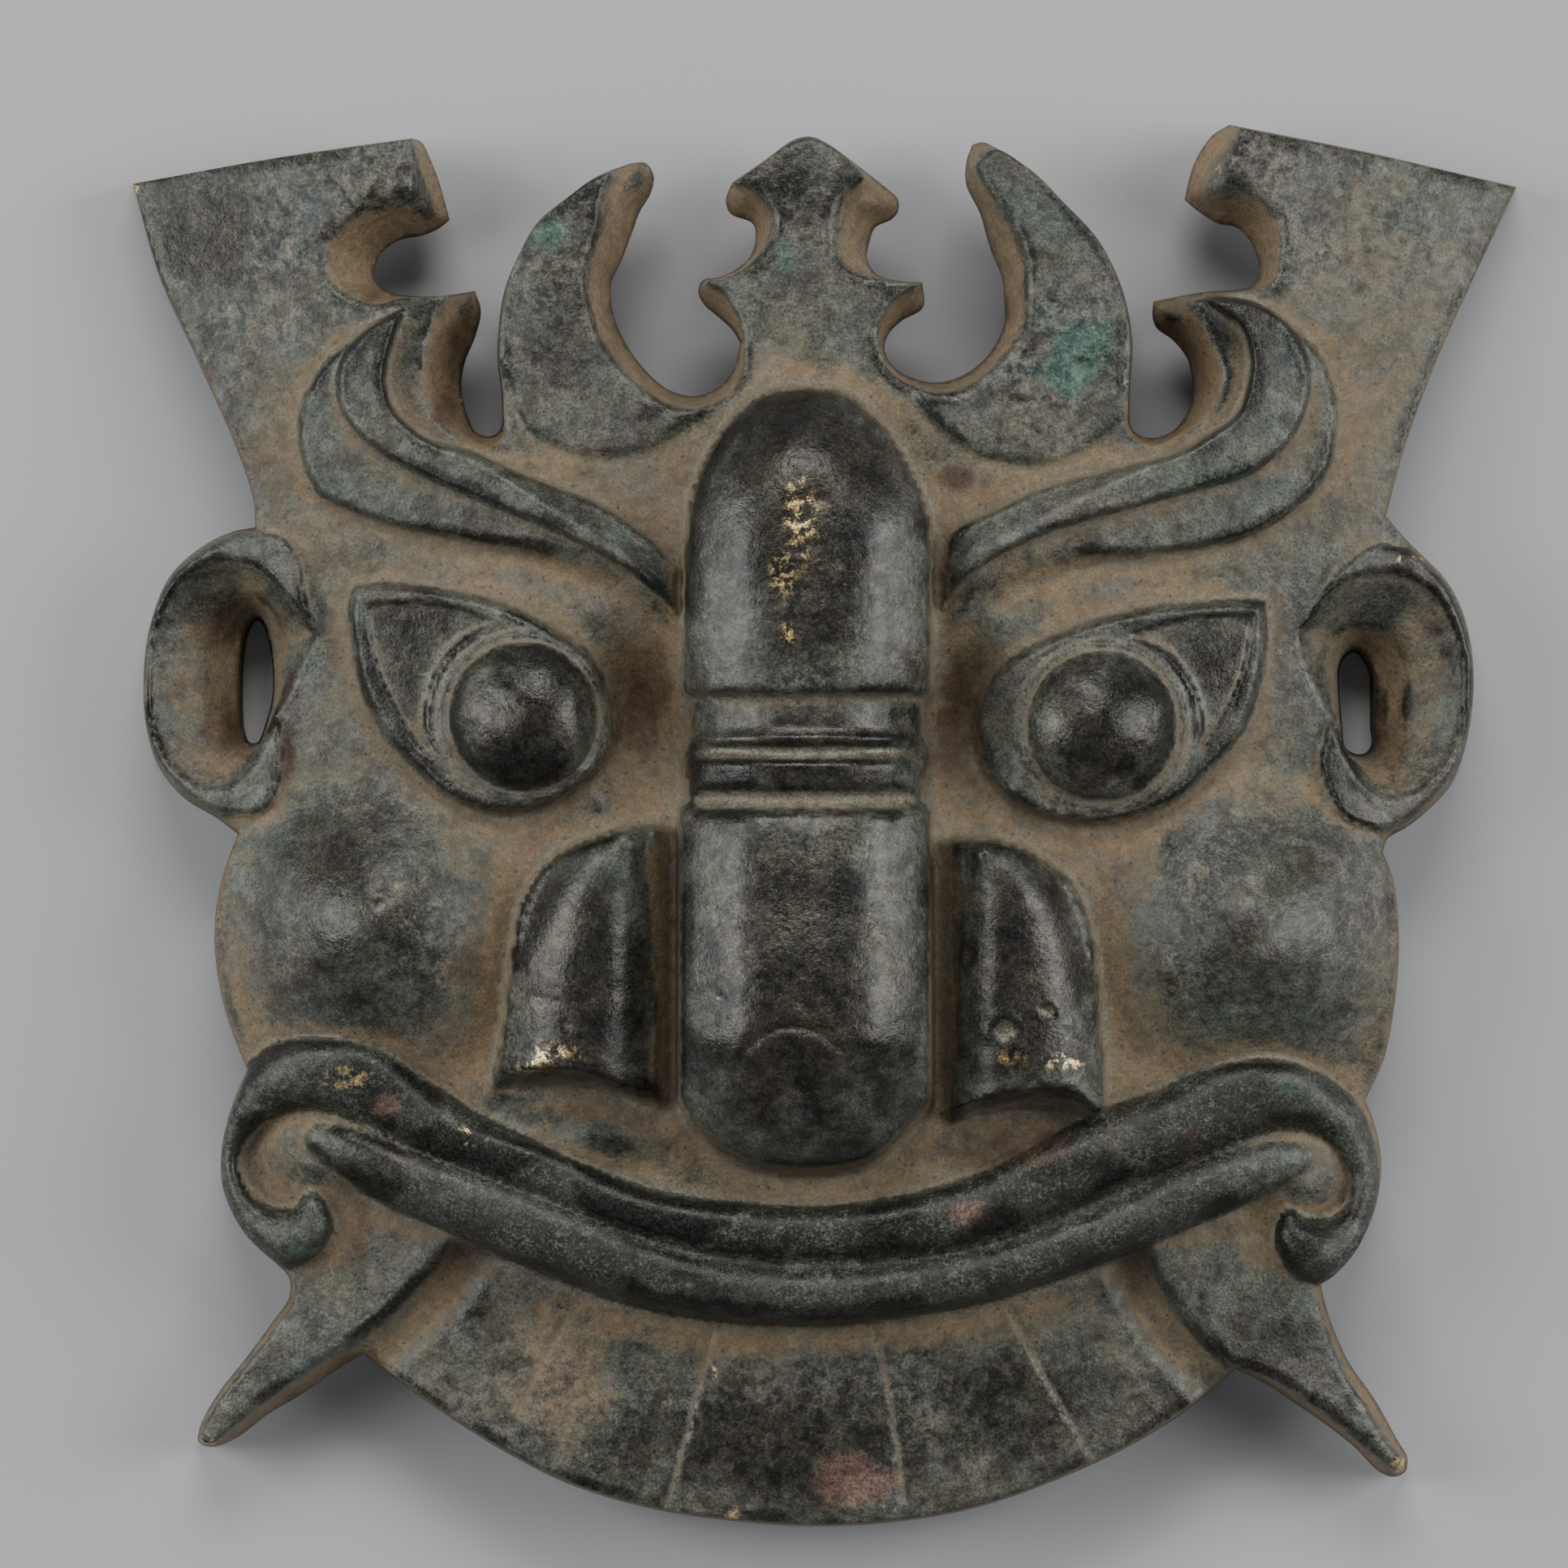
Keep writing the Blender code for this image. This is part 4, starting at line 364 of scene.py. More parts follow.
def smooth_run(points, gap, closed=False):
    """A smooth curve through the points, with a point about every gap millimetres."""
    p = sheet(points)
    n = len(p)
    if closed:
        ext = np.vstack((p[-1], p, p[0], p[1]))
        spans = n
    else:
        ext = np.vstack((2 * p[0] - p[1], p, 2 * p[-1] - p[-2]))
        spans = n - 1
    out = []
    for k in range(spans):
        a, b, c, d = ext[k:k + 4]
        count = max(1, int(round(np.linalg.norm(c - b) / gap)))
        t = (np.arange(count) / count)[:, None]
        ta = np.sqrt(max(np.linalg.norm(b - a), 1e-6))
        tb = np.sqrt(max(np.linalg.norm(c - b), 1e-6))
        tc = np.sqrt(max(np.linalg.norm(d - c), 1e-6))
        m1 = (c - b) + tb * ((b - a) / ta - (c - a) / (ta + tb))
        m2 = (c - b) + tb * ((d - c) / tc - (d - b) / (tb + tc))
        h = t * t * (3 - 2 * t)
        out.append(b * (1 - h) + c * h + m1 * (t ** 3 - 2 * t ** 2 + t) + m2 * (t ** 3 - t ** 2))
    if not closed:
        out.append(p[-1:])
    return np.vstack(out)


def chain(gap, *runs):
    """Joins smooth runs end to end; every join is a corner."""
    return np.vstack([smooth_run(points, gap)[:-1] for points in runs])


def path(gap, *runs):
    """Like chain, but keeps the last point, so the line stays open."""
    out = chain(gap, *runs)
    return np.vstack((out, sheet([runs[-1][-1]])))


def joined(*runs):
    """Gives each run of a closed line its first point, which is the last point of the run before it."""
    return [runs[k - 1][-1:] + run for k, run in enumerate(runs)]


def line_distance(x, y, line, closed=True):
    """Distance of every point to a line of short straight pieces."""
    ends = np.vstack((line, line[:1])) if closed else line
    best = np.full(x.shape, FAR * FAR)
    low = ends.min(axis=0) - REACH
    high = ends.max(axis=0) + REACH
    near = (x > low[0]) & (x < high[0]) & (y > low[1]) & (y < high[1])
    px = x[near]
    py = y[near]
    found = best[near]
    for (ax, ay), (bx, by) in zip(ends[:-1], ends[1:]):
        dx = bx - ax
        dy = by - ay
        size = dx * dx + dy * dy
        if size < 1e-12:
            continue
        t = np.clip(((px - ax) * dx + (py - ay) * dy) / size, 0.0, 1.0)
        found = np.minimum(found, (px - ax - t * dx) ** 2 + (py - ay - t * dy) ** 2)
    best[near] = found
    return np.sqrt(best)


def is_inside(x, y, loop):
    """True for the points inside a closed line."""
    inside = np.zeros(x.shape, bool)
    ends = np.vstack((loop, loop[:1]))
    low = ends.min(axis=0)
    high = ends.max(axis=0)
    near = (x >= low[0]) & (x <= high[0]) & (y >= low[1]) & (y <= high[1])
    px = x[near]
    py = y[near]
    found = inside[near]
    for (ax, ay), (bx, by) in zip(ends[:-1], ends[1:]):
        if ay == by:
            continue
        found ^= ((ay > py) != (by > py)) & (px < (bx - ax) * (py - ay) / (by - ay) + ax)
    inside[near] = found
    return inside


def depth_inside(x, y, loop):
    """Distance inwards from a closed line: positive inside, negative outside."""
    d = line_distance(x, y, loop)
    return np.where(is_inside(x, y, loop), d, -d)


def ease(t):
    t = np.clip(t, 0.0, 1.0)
    return t * t * (3 - 2 * t)


def flow(value, stations):
    """A smooth line through (place, height) stations that never swings past them."""
    s = np.asarray(stations, float)
    run = np.diff(s[:, 0])
    rise = np.diff(s[:, 1]) / run
    slope = np.zeros(len(s))
    for k in range(1, len(s) - 1):
        if rise[k - 1] * rise[k] > 0:
            slope[k] = 2 * rise[k - 1] * rise[k] / (rise[k - 1] + rise[k])
    value = np.clip(value, s[0, 0], s[-1, 0])
    k = np.clip(np.searchsorted(s[:, 0], value) - 1, 0, len(s) - 2)
    t = (value - s[k, 0]) / run[k]
    h = t * t * (3 - 2 * t)
    bend = (t ** 3 - 2 * t ** 2 + t) * slope[k] + (t ** 3 - t ** 2) * slope[k + 1]
    return s[k, 1] * (1 - h) + s[k + 1, 1] * h + run[k] * bend


def between(foot, top):
    """Share of the way up a wall, from its foot line (0) to its top line (1)."""
    return np.clip(foot, 0, None) / (np.clip(foot, 0, None) + np.clip(top, 0, None) + 1e-9)


# Outline at the foot of the wall, clockwise from the left wing's corner; every run ends at a corner.
FOOT_RUNS = joined(
    # left wing: top edge, arm end, notch, hook
    [(330, 190), (504, 166)],
    [(517, 171), (528, 192), (537, 215), (545, 241), (552, 268)],
    [(536, 280), (514, 288), (494, 291), (475, 301), (463, 316), (458, 332), (463, 347), (475, 356),
     (497, 361), (540, 362), (584, 356)],
    [(591, 381), (584, 413), (572, 442), (567, 468), (569, 491), (576, 514), (584, 530), (600, 536),
     (613, 531), (618, 520)],
    # left horn
    [(617, 485), (612, 444), (613, 403), (620, 356), (637, 313), (661, 271), (697, 241), (735, 214),
     (777, 198)],
    [(795, 198), (805, 214), (801, 236), (788, 258), (777, 288), (763, 324), (753, 345), (752, 367),
     (757, 392), (768, 417), (788, 447), (820, 477), (854, 487), (884, 477), (903, 455), (912, 421)],
    # middle ornament
    [(902, 405), (885, 389), (866, 372), (860, 356), (866, 343), (884, 340), (905, 331), (924, 314),
     (931, 290), (927, 273), (900, 261), (894, 244), (902, 222)],
    [(940, 196), (978, 169), (998, 165), (1017, 172), (1056, 200), (1094, 230)],
    [(1107, 243), (1107, 258), (1099, 268), (1079, 278), (1072, 295), (1069, 318), (1082, 337),
     (1108, 344), (1137, 346)],
    [(1138, 377), (1111, 394), (1096, 409), (1090, 428), (1101, 450), (1123, 464), (1155, 470),
     (1189, 460), (1220, 434), (1238, 397), (1238, 365), (1236, 342), (1221, 304), (1208, 260),
     (1191, 224), (1192, 194), (1199, 175)],
    # right horn
    [(1212, 172), (1230, 180), (1274, 208), (1312, 246), (1353, 290), (1378, 336), (1391, 378),
     (1397, 424), (1394, 474), (1393, 520)],
    # right wing: hook, notch, arm end, top edge
    [(1402, 533), (1421, 538), (1446, 530), (1461, 513), (1471, 491), (1471, 466), (1464, 438),
     (1446, 416), (1427, 402), (1422, 388), (1423, 369)],
    [(1486, 357), (1525, 354), (1546, 349), (1555, 331), (1552, 313), (1541, 290), (1525, 276),
     (1504, 272), (1479, 257), (1462, 243)],
    [(1466, 224), (1475, 195), (1496, 163), (1518, 149)],
    [(1700, 184), (1876, 224)],
    # right edge of the wing, ear, cheek, scroll
    [(1829, 324), (1780, 431), (1738, 541), (1712, 634)],
    [(1736, 661), (1760, 684), (1786, 710), (1806, 744), (1818, 785), (1823, 831), (1820, 881),
     (1811, 926), (1795, 966), (1766, 998), (1738, 1020), (1714, 1034), (1708, 1050)],
    [(1721, 1085), (1727, 1130), (1728, 1180), (1724, 1230), (1710, 1305), (1686, 1358)],
    [(1697, 1385), (1705, 1420), (1706, 1452), (1697, 1498), (1673, 1547), (1647, 1576), (1631, 1586)],
    # right tusk
    [(1638, 1615), (1663, 1677), (1701, 1733), (1726, 1778), (1740, 1803), (1737, 1820), (1722, 1826),
     (1704, 1819), (1673, 1788), (1635, 1758), (1597, 1732), (1559, 1707), (1525, 1690)],
    # chin
    [(1470, 1737), (1400, 1782), (1300, 1828), (1200, 1862), (1100, 1879), (1000, 1884), (900, 1877),
     (800, 1862), (700, 1832), (620, 1792), (545, 1745), (490, 1706), (445, 1672)],
    # left tusk
    [(404, 1697), (369, 1722), (330, 1745), (284, 1779), (254, 1789), (239, 1782), (241, 1764),
     (264, 1722), (298, 1679), (332, 1633), (353, 1601), (352, 1577), (334, 1558)],
    # left scroll, cheek, ear, edge of the wing
    [(316, 1543), (297, 1523), (279, 1492), (269, 1462), (268, 1425), (274, 1390), (285, 1356),
     (301, 1320)],
    [(284, 1279), (270, 1234), (261, 1180), (261, 1130), (270, 1082), (289, 1028)],
    [(262, 1008), (222, 984), (190, 946), (174, 897), (170, 840), (178, 770), (204, 707), (246, 670),
     (283, 653), (311, 648)],
    [(308, 612), (286, 547), (239, 442), (190, 335), (157, 220)])

# The same outline along the front edge, at the top of the wall.
TOP_RUNS = joined(
    [(330, 194), (504, 171)],
    [(509, 189), (509, 210), (506, 233)],
    [(488, 238), (458, 246), (432, 260), (413, 277), (400, 299), (399, 325), (406, 348), (426, 364),
     (449, 373), (471, 374), (497, 368), (520, 366), (546, 364)],
    [(533, 397), (525, 426), (520, 465), (526, 500), (542, 523), (568, 540), (602, 552), (622, 538),
     (622, 520)],
    [(621, 485), (616, 444), (617, 403), (624, 357), (640, 315), (664, 274), (699, 244), (735, 219),
     (752, 214)],
    [(741, 240), (735, 274), (728, 296), (722, 318), (718, 340), (719, 362), (730, 403), (752, 441),
     (779, 472), (807, 492), (852, 506), (894, 490), (914, 460), (918, 421)],
    [(914, 402), (903, 376), (888, 357), (872, 348), (890, 346), (912, 336), (932, 320), (948, 300),
     (955, 280), (953, 260), (940, 243), (922, 230), (906, 225)],
    [(942, 200), (978, 174), (998, 170), (1016, 177), (1040, 193), (1063, 218)],
    [(1043, 235), (1031, 252), (1026, 275), (1025, 300), (1033, 320), (1048, 334), (1072, 343),
     (1100, 347), (1130, 350)],
    [(1098, 370), (1087, 390), (1080, 408), (1083, 428), (1096, 458), (1120, 474), (1156, 486),
     (1194, 476), (1226, 454), (1252, 422), (1267, 391), (1268, 360), (1266, 320), (1256, 288),
     (1238, 260), (1218, 232), (1204, 204)],
    [(1216, 190), (1228, 184), (1271, 212), (1309, 249), (1350, 293), (1374, 337), (1387, 379),
     (1393, 424), (1390, 474), (1388, 522)],
    [(1398, 542), (1424, 550), (1454, 538), (1482, 520), (1500, 495), (1507, 463), (1500, 431),
     (1488, 406), (1479, 388), (1468, 372)],
    [(1500, 364), (1530, 360), (1560, 354), (1573, 340), (1579, 320), (1581, 295), (1575, 266),
     (1557, 243), (1536, 231), (1505, 227)],
    [(1510, 207), (1523, 181), (1530, 157)],
    [(1700, 189), (1871, 227)],
    [(1825, 324), (1776, 431), (1734, 541), (1706, 636)],
    [(1732, 665), (1756, 688), (1782, 713), (1801, 746), (1813, 786), (1818, 831), (1815, 880),
     (1806, 925), (1790, 963), (1762, 993), (1734, 1015), (1708, 1028), (1702, 1050)],
    [(1716, 1086), (1722, 1130), (1723, 1180), (1719, 1229), (1705, 1303), (1680, 1357)],
    [(1692, 1386), (1700, 1421), (1701, 1452), (1692, 1496), (1669, 1544), (1643, 1572), (1622, 1588)],
    [(1630, 1620), (1650, 1680), (1684, 1737), (1711, 1780), (1727, 1803), (1722, 1810), (1690, 1790),
     (1650, 1755), (1612, 1727), (1570, 1700), (1524, 1684)],
    [(1468, 1732), (1398, 1777), (1298, 1823), (1199, 1857), (1099, 1874), (1000, 1879), (901, 1872),
     (802, 1857), (702, 1827), (622, 1787), (548, 1741), (493, 1702), (448, 1667)],
    [(415, 1668), (372, 1696), (330, 1724), (290, 1755), (256, 1781), (246, 1776), (249, 1764),
     (272, 1724), (306, 1681), (341, 1636), (362, 1602), (360, 1575), (340, 1554)],
    [(320, 1539), (301, 1519), (284, 1490), (274, 1461), (273, 1426), (279, 1391), (290, 1358),
     (307, 1321)],
    [(289, 1279), (275, 1234), (266, 1180), (266, 1130), (275, 1082), (296, 1026)],
    [(265, 1003), (226, 980), (195, 944), (179, 896), (175, 840), (183, 771), (208, 710), (248, 675),
     (284, 658), (316, 653)],
    [(312, 611), (290, 546), (243, 441), (194, 334), (161, 223)])

# The ears' slots: foot line and the top of its short wall.
SLOTS = [
    ([(311, 763), (302, 776), (296, 804), (294, 840), (294, 874), (296, 899), (302, 914), (312, 914),
      (324, 884), (330, 860), (330, 812), (324, 781), (317, 766)],
     [(311, 755), (297, 772), (290, 803), (288, 840), (288, 875), (290, 902), (300, 922), (314, 920),
      (329, 887), (335, 862), (335, 811), (330, 778), (319, 758)]),
    ([(1675, 803), (1686, 814), (1693, 831), (1694, 864), (1694, 898), (1696, 915), (1690, 926),
      (1678, 929), (1663, 921), (1659, 893), (1656, 853), (1656, 822), (1663, 808)],
     [(1675, 796), (1690, 808), (1699, 829), (1700, 864), (1700, 898), (1702, 917), (1694, 932),
      (1678, 935), (1658, 926), (1654, 894), (1651, 853), (1651, 820), (1660, 802)])]

# The ears: the line round the bowl, and the outer line of the band round it, which shares points with it.
LEFT_RIM = [
    (392, 780), (365, 752), (341, 726), (318, 704), (290, 694), (262, 692), (243, 702), (214, 728),
    (196, 762), (186, 810), (184, 854), (187, 890), (198, 919), (211, 941), (228, 955), (248, 966),
    (265, 967), (284, 960), (303, 946), (318, 922), (330, 897), (341, 880), (360, 850), (376, 815)]
RIGHT_RIM = [
    (1600, 776), (1622, 752), (1638, 735), (1655, 721), (1675, 712), (1697, 707), (1725, 709),
    (1748, 719), (1770, 738), (1787, 766), (1798, 797), (1804, 831), (1801, 873), (1795, 901),
    (1784, 929), (1764, 954), (1742, 974), (1720, 978), (1700, 974), (1680, 957), (1663, 929),
    (1652, 904), (1641, 884), (1622, 852), (1606, 815)]
EARS = [
    dict(rim=LEFT_RIM, band=[(398, 788)] + LEFT_RIM[1:21] + [
        (343, 880), (350, 911), (351, 939), (344, 974), (326, 1000), (300, 1006), (262, 1003), (226, 980),
        (195, 944), (179, 896), (175, 840), (183, 771), (208, 710), (248, 675), (284, 656), (312, 652),
        (338, 656), (358, 668), (371, 690), (377, 722), (384, 752)]),
    dict(rim=RIGHT_RIM, band=[(1594, 780)] + RIGHT_RIM[1:22] + [
        (1640, 886), (1630, 910), (1624, 938), (1630, 964), (1640, 988), (1656, 1008), (1680, 1020),
        (1708, 1026), (1734, 1015), (1762, 993), (1790, 963), (1806, 925), (1815, 880), (1818, 831),
        (1813, 786), (1801, 746), (1782, 713), (1756, 688), (1730, 672), (1697, 668), (1672, 682),
        (1650, 700), (1632, 724), (1614, 750)])]

# The brows: lower and upper step, which share the line along their crest.
LEFT_CREST = [
    (815, 672), (789, 650), (732, 615), (645, 580), (588, 556), (537, 541), (514, 527), (491, 504),
    (481, 478), (481, 452), (491, 416), (499, 389), (509, 374)]
RIGHT_CREST = [
    (1170, 655), (1223, 627), (1289, 597), (1370, 575), (1450, 554), (1489, 531), (1521, 506),
    (1532, 477), (1536, 441), (1525, 406), (1500, 386), (1480, 368)]
BROWS = [
    dict(
        lower=joined(
            [(482, 384), (455, 397), (430, 414), (406, 433), (388, 454), (375, 476), (367, 500),
             (363, 530), (367, 563), (376, 590), (389, 613)],
            [(420, 628), (456, 642), (500, 656), (560, 668), (640, 690), (720, 722), (790, 760),
             (834, 790)],
            [(834, 700)],
            LEFT_CREST),
        upper=joined(
            [(482, 384), (455, 400), (428, 426), (413, 455), (412, 484), (421, 513), (440, 538),
             (467, 560), (498, 580), (531, 595), (617, 631), (674, 654), (720, 676), (760, 698),
             (800, 728), (836, 765)],
            [(836, 700)],
            LEFT_CREST)),
    dict(
        lower=joined(
            [(1503, 364), (1543, 368), (1580, 386), (1605, 404), (1632, 434), (1646, 470), (1654, 506),
             (1652, 541), (1643, 577), (1621, 609), (1586, 638), (1543, 663), (1489, 677), (1404, 690),
             (1326, 708), (1260, 736), (1200, 772), (1157, 806)],
            [(1157, 700)],
            RIGHT_CREST),
        upper=joined(
            [(1503, 364), (1543, 369), (1579, 388), (1600, 411), (1614, 441), (1618, 477), (1609, 513),
             (1595, 541), (1569, 568), (1537, 589), (1489, 603), (1435, 618), (1338, 645), (1253, 676),
             (1204, 706), (1157, 760)],
            [(1157, 700)],
            RIGHT_CREST))]

EYES = [
    dict(
        lid=joined(
            [(450, 716), (492, 715), (559, 724), (622, 740), (683, 769), (731, 804), (759, 849),
             (766, 903), (744, 950), (702, 985), (650, 1005), (600, 1005), (546, 984), (508, 951),
             (469, 908), (441, 852), (428, 792), (425, 750), (429, 722)]),
        field=joined(
            [(500, 740), (571, 748), (612, 768)],
            [(560, 800), (532, 850), (528, 900), (548, 944)],
            [(520, 926), (498, 897), (469, 839), (455, 787), (450, 744)]),
        ball=(645, 883), ring=107.0, ball_r=92.0),
    dict(
        lid=joined(
            [(1540, 735), (1477, 738), (1415, 744), (1354, 758), (1293, 780), (1241, 810), (1208, 840),
             (1197, 880), (1203, 937), (1230, 978), (1278, 1008), (1330, 1020), (1385, 1017), (1442, 996),
             (1486, 962), (1526, 918), (1553, 862), (1565, 797), (1563, 738)]),
        field=joined(
            [(1500, 755), (1440, 764), (1384, 784)],
            [(1440, 810), (1472, 860), (1478, 905), (1462, 944)],
            [(1490, 915), (1510, 884), (1532, 830), (1547, 756)]),
        ball=(1357, 895), ring=108.0, ball_r=93.0)]

# The nose: left side, top and right side in one, then its tip.
NOSE_SIDES = [
    [(833, 1500), (832, 1200), (833, 1000), (839, 900), (839, 706)],
    [(839, 706), (843, 632), (861, 571), (894, 518), (939, 481), (1000, 472), (1045, 481), (1086, 514),
     (1118, 563), (1143, 616), (1151, 649), (1150, 706)],
    [(1150, 706), (1153, 840), (1150, 1000), (1152, 1200), (1153, 1500)]]
NOSE_TIP = [
    (833, 1366), (847, 1390), (874, 1418), (908, 1438), (950, 1449), (993, 1452), (1038, 1449),
    (1078, 1438), (1108, 1414), (1130, 1390), (1153, 1366)]
# Height of the nose's middle above the face, at stations down the sheet.
NOSE_LINE = [
    (468, 12.0), (520, 15.5), (620, 17.8), (780, 18.6), (850, 18.4), (860, 15.0), (898, 15.2),
    (912, 16.4), (922, 14.6), (930, 14.6), (942, 16.8), (968, 16.5), (982, 14.8), (990, 15.0),
    (1006, 19.4), (1100, 21.5), (1220, 24.0), (1275, 24.4), (1340, 21.5), (1400, 16.0), (1450, 10.0)]
# How far the nose's sides stand in at its neck and its ring.
NOSE_WAIST = [
    (850, 0.0), (862, 1.3), (900, 1.2), (932, 0.0), (950, 0.4), (984, 1.0), (996, 0.0)]
# Fall of the nose's side facets, from its side line inwards.
NOSE_FACET = [
    (0.0, 10.0), (1.2, 8.2), (3.0, 6.0), (5.5, 3.9), (8.5, 1.9), (11.0, 0.8), (14.0, 0.2), (20.0, 0.0)]
NOSE_WALL = 1.5
NOSE_TIP_WALL = 2.7

NOSTRILS = [
    dict(
        foot=joined(
            [(812, 1012), (765, 1017), (720, 1030), (682, 1048), (655, 1078), (637, 1114), (628, 1158),
             (621, 1202), (616, 1249), (609, 1292), (600, 1345)],
            [(633, 1340), (677, 1337), (730, 1342), (765, 1352), (795, 1364), (833, 1374)],
            [(833, 1014)]),
        brim=[(596, 1324), (619, 1319), (648, 1315), (686, 1310), (736, 1320), (765, 1331), (806, 1343),
              (840, 1356)],
        barrel=[(770, 1040, 26), (752, 1066, 48), (738, 1104, 66), (727, 1150, 78), (719, 1210, 86),
                (713, 1270, 91), (705, 1370, 98)]),
    dict(
        foot=joined(
            [(1190, 1027), (1220, 1028), (1257, 1037), (1287, 1052), (1325, 1086), (1349, 1146),
             (1358, 1213), (1363, 1289), (1371, 1392)],
            [(1350, 1386), (1312, 1370), (1253, 1368), (1209, 1374), (1155, 1396)],
            [(1155, 1032)]),
        brim=[(1375, 1370), (1350, 1362), (1325, 1340), (1300, 1335), (1250, 1340), (1205, 1352),
              (1150, 1372)],
        barrel=[(1214, 1054, 26), (1232, 1080, 48), (1246, 1118, 66), (1255, 1170, 80), (1261, 1240, 89),
                (1266, 1310, 95), (1270, 1410, 102)])]

# Rolls of the lip: centre line with half widths, in steps.
UPPER_ROLL = [
    (384, 1484, 16), (380, 1512, 30), (352, 1526, 37), (320, 1512, 28), (295, 1482, 19), (281, 1440, 14),
    (288, 1398, 19), (312, 1358, 32), (348, 1330, 44), (395, 1324, 47), (450, 1337, 47), (510, 1372, 44),
    (570, 1405, 38), (640, 1436, 36), (720, 1468, 34), (800, 1496, 32), (900, 1514, 34), (1000, 1520, 35),
    (1100, 1513, 38), (1200, 1491, 43), (1300, 1452, 48), (1380, 1412, 51), (1450, 1386, 50),
    (1520, 1358, 50), (1580, 1350, 44), (1630, 1367, 36), (1664, 1400, 28), (1682, 1450, 20),
    (1676, 1496, 22), (1656, 1530, 34), (1624, 1542, 40), (1598, 1524, 28), (1590, 1502, 14)]
LOWER_ROLL = [
    (398, 1405, 30), (432, 1418, 38), (500, 1450, 43), (597, 1487, 46), (697, 1529, 49), (796, 1567, 45),
    (895, 1588, 41), (1000, 1595, 39), (1092, 1589, 38), (1224, 1565, 36), (1356, 1519, 36),
    (1453, 1477, 40), (1525, 1449, 38), (1585, 1430, 32), (1612, 1424, 18)]

# Raised floors inside the lip's scrolls: middle, radii and height, and how flat their tops are.
SCROLL_FLOORS = [((388, 1408), (92, 96), 3.6), ((1606, 1434), (92, 100), 3.8)]
SCROLL_CROWN = 1.25

# Heights and slope widths of the carving, in millimetres.
LIP_GROOVE = 3.6
ROLL_BASE = 3.2
ROLL_SHARE = 0.72
ROLL_POWER = 2.4
GROOVE_SPREAD = 0.5
CHIN_DROP = 5.0
CHIN_SLOPE = 3.2
CHIN_LIP_SLOPE = 2.5
TUSK_TROUGH = 1.0
TROUGH_AWAY = 6.5
TROUGH_HALF = 3.0
TOOTH_CUT = 0.45
TOOTH_HALF = 0.8
HORN_STEP = 1.2
HORN_SLOPE = 2.0
NOSTRIL_BASE = 6.2
NOSTRIL_BARREL = 6.8
NOSTRIL_POWER = 2.8
NOSTRIL_ROUND = 3.8
NOSTRIL_WALL = 1.6
LID_RAISE = 4.5
LID_WALL = 1.8
FIELD_DEPTH = 1.6
FIELD_WALL = 0.9
RING_RAISE = 1.2
RING_CREASE = 0.7
CREASE_AWAY = 0.3
CREASE_HALF = 0.7
BALL_RAISE = 7.2
BROW_LOWER = 3.2
BROW_WALL = 1.4
BROW_FADE = 5.0
BROW_UPPER = 2.8
BROW_UPPER_WALL = 1.1
EAR_BAND = 2.5
EAR_LIP = 0.5
# Depth of the ear's bowl, from its rim (0) to its slot (1).
EAR_BOWL = [(0.0, 0.0), (0.3, 2.2), (0.62, 5.2), (0.8, 8.6), (1.0, 11.5)]

# Soft swellings and hollows: middle, radii and height.
SWELLINGS = [
    ((458, 1146), (225, 218), 13.0),
    ((1553, 1158), (225, 218), 13.0),
    ((792, 885), (90, 150), -8.0),
    ((1182, 895), (90, 150), -8.0),
    ((1000, 1450), (420, 130), 2.0),
    ((725, 1400), (160, 52), 2.8),
    ((1265, 1408), (150, 48), 2.2),
]

# The horns' raised faces, the tooth lines, and the lines along which the chin drops below tusks and lip.
HORN_PLATES = [
    [(560, 300), (600, 440), (624, 474), (632, 506), (650, 536), (684, 556), (740, 570), (800, 560),
     (850, 530), (880, 500), (860, 300), (760, 120)],
    [(1440, 300), (1415, 460), (1395, 500), (1380, 528), (1340, 560), (1270, 580), (1190, 560),
     (1140, 520), (1120, 490), (1150, 300), (1230, 120)]]
TEETH = [
    [(697, 1624), (668, 1680), (638, 1736)],
    [(877, 1640), (850, 1750), (822, 1856)],
    [(1077, 1636), (1092, 1700), (1106, 1790), (1112, 1850)],
    [(1244, 1612), (1290, 1700), (1350, 1804)],
]
LEFT_TUSK_LINE = [
    (256, 1781), (300, 1746), (358, 1700), (415, 1658), (473, 1612), (518, 1566), (556, 1518)]
LIP_LINE = [
    (556, 1518), (620, 1535), (697, 1560), (796, 1594), (895, 1613), (1000, 1619), (1092, 1612),
    (1224, 1586), (1356, 1542), (1420, 1524)]
RIGHT_TUSK_LINE = [
    (1420, 1524), (1428, 1552), (1451, 1595), (1490, 1645), (1533, 1686), (1590, 1716), (1650, 1757),
    (1722, 1810)]
# Two points past the chin that close its area.
BELOW_CHIN = [(1760, 1990), (230, 1990)]


def to_mm(steps):
    return steps * STEP


def at(across, down):
    return (across - SHEET_MIDDLE) * STEP, (SHEET_MIDDLE - down) * STEP


def ground(x, y):
    """The plain bowed sheet that all the carving stands on."""
    u = np.abs(x - DOME_ACROSS) / HALF_SPAN
    v = (y - DOME_UP) / HALF_TALL
    return CROWN_HEIGHT - SIDE_FALL * u ** 2.2 - np.where(v > 0, TOP_FALL, CHIN_FALL) * v * v


def rim_height(x, y):
    """Height of the back edge; it comes down to the resting plane at the wings and the ears."""
    low = np.maximum(0.0, ground(x, y) - RIM_DEPTH)
    ears = [mound(x, y, middle, EAR_REACH, EAR_LOWERING) for middle in EAR_MIDDLES]
    return low * (1 - np.clip(np.maximum(*ears), 0, 1))


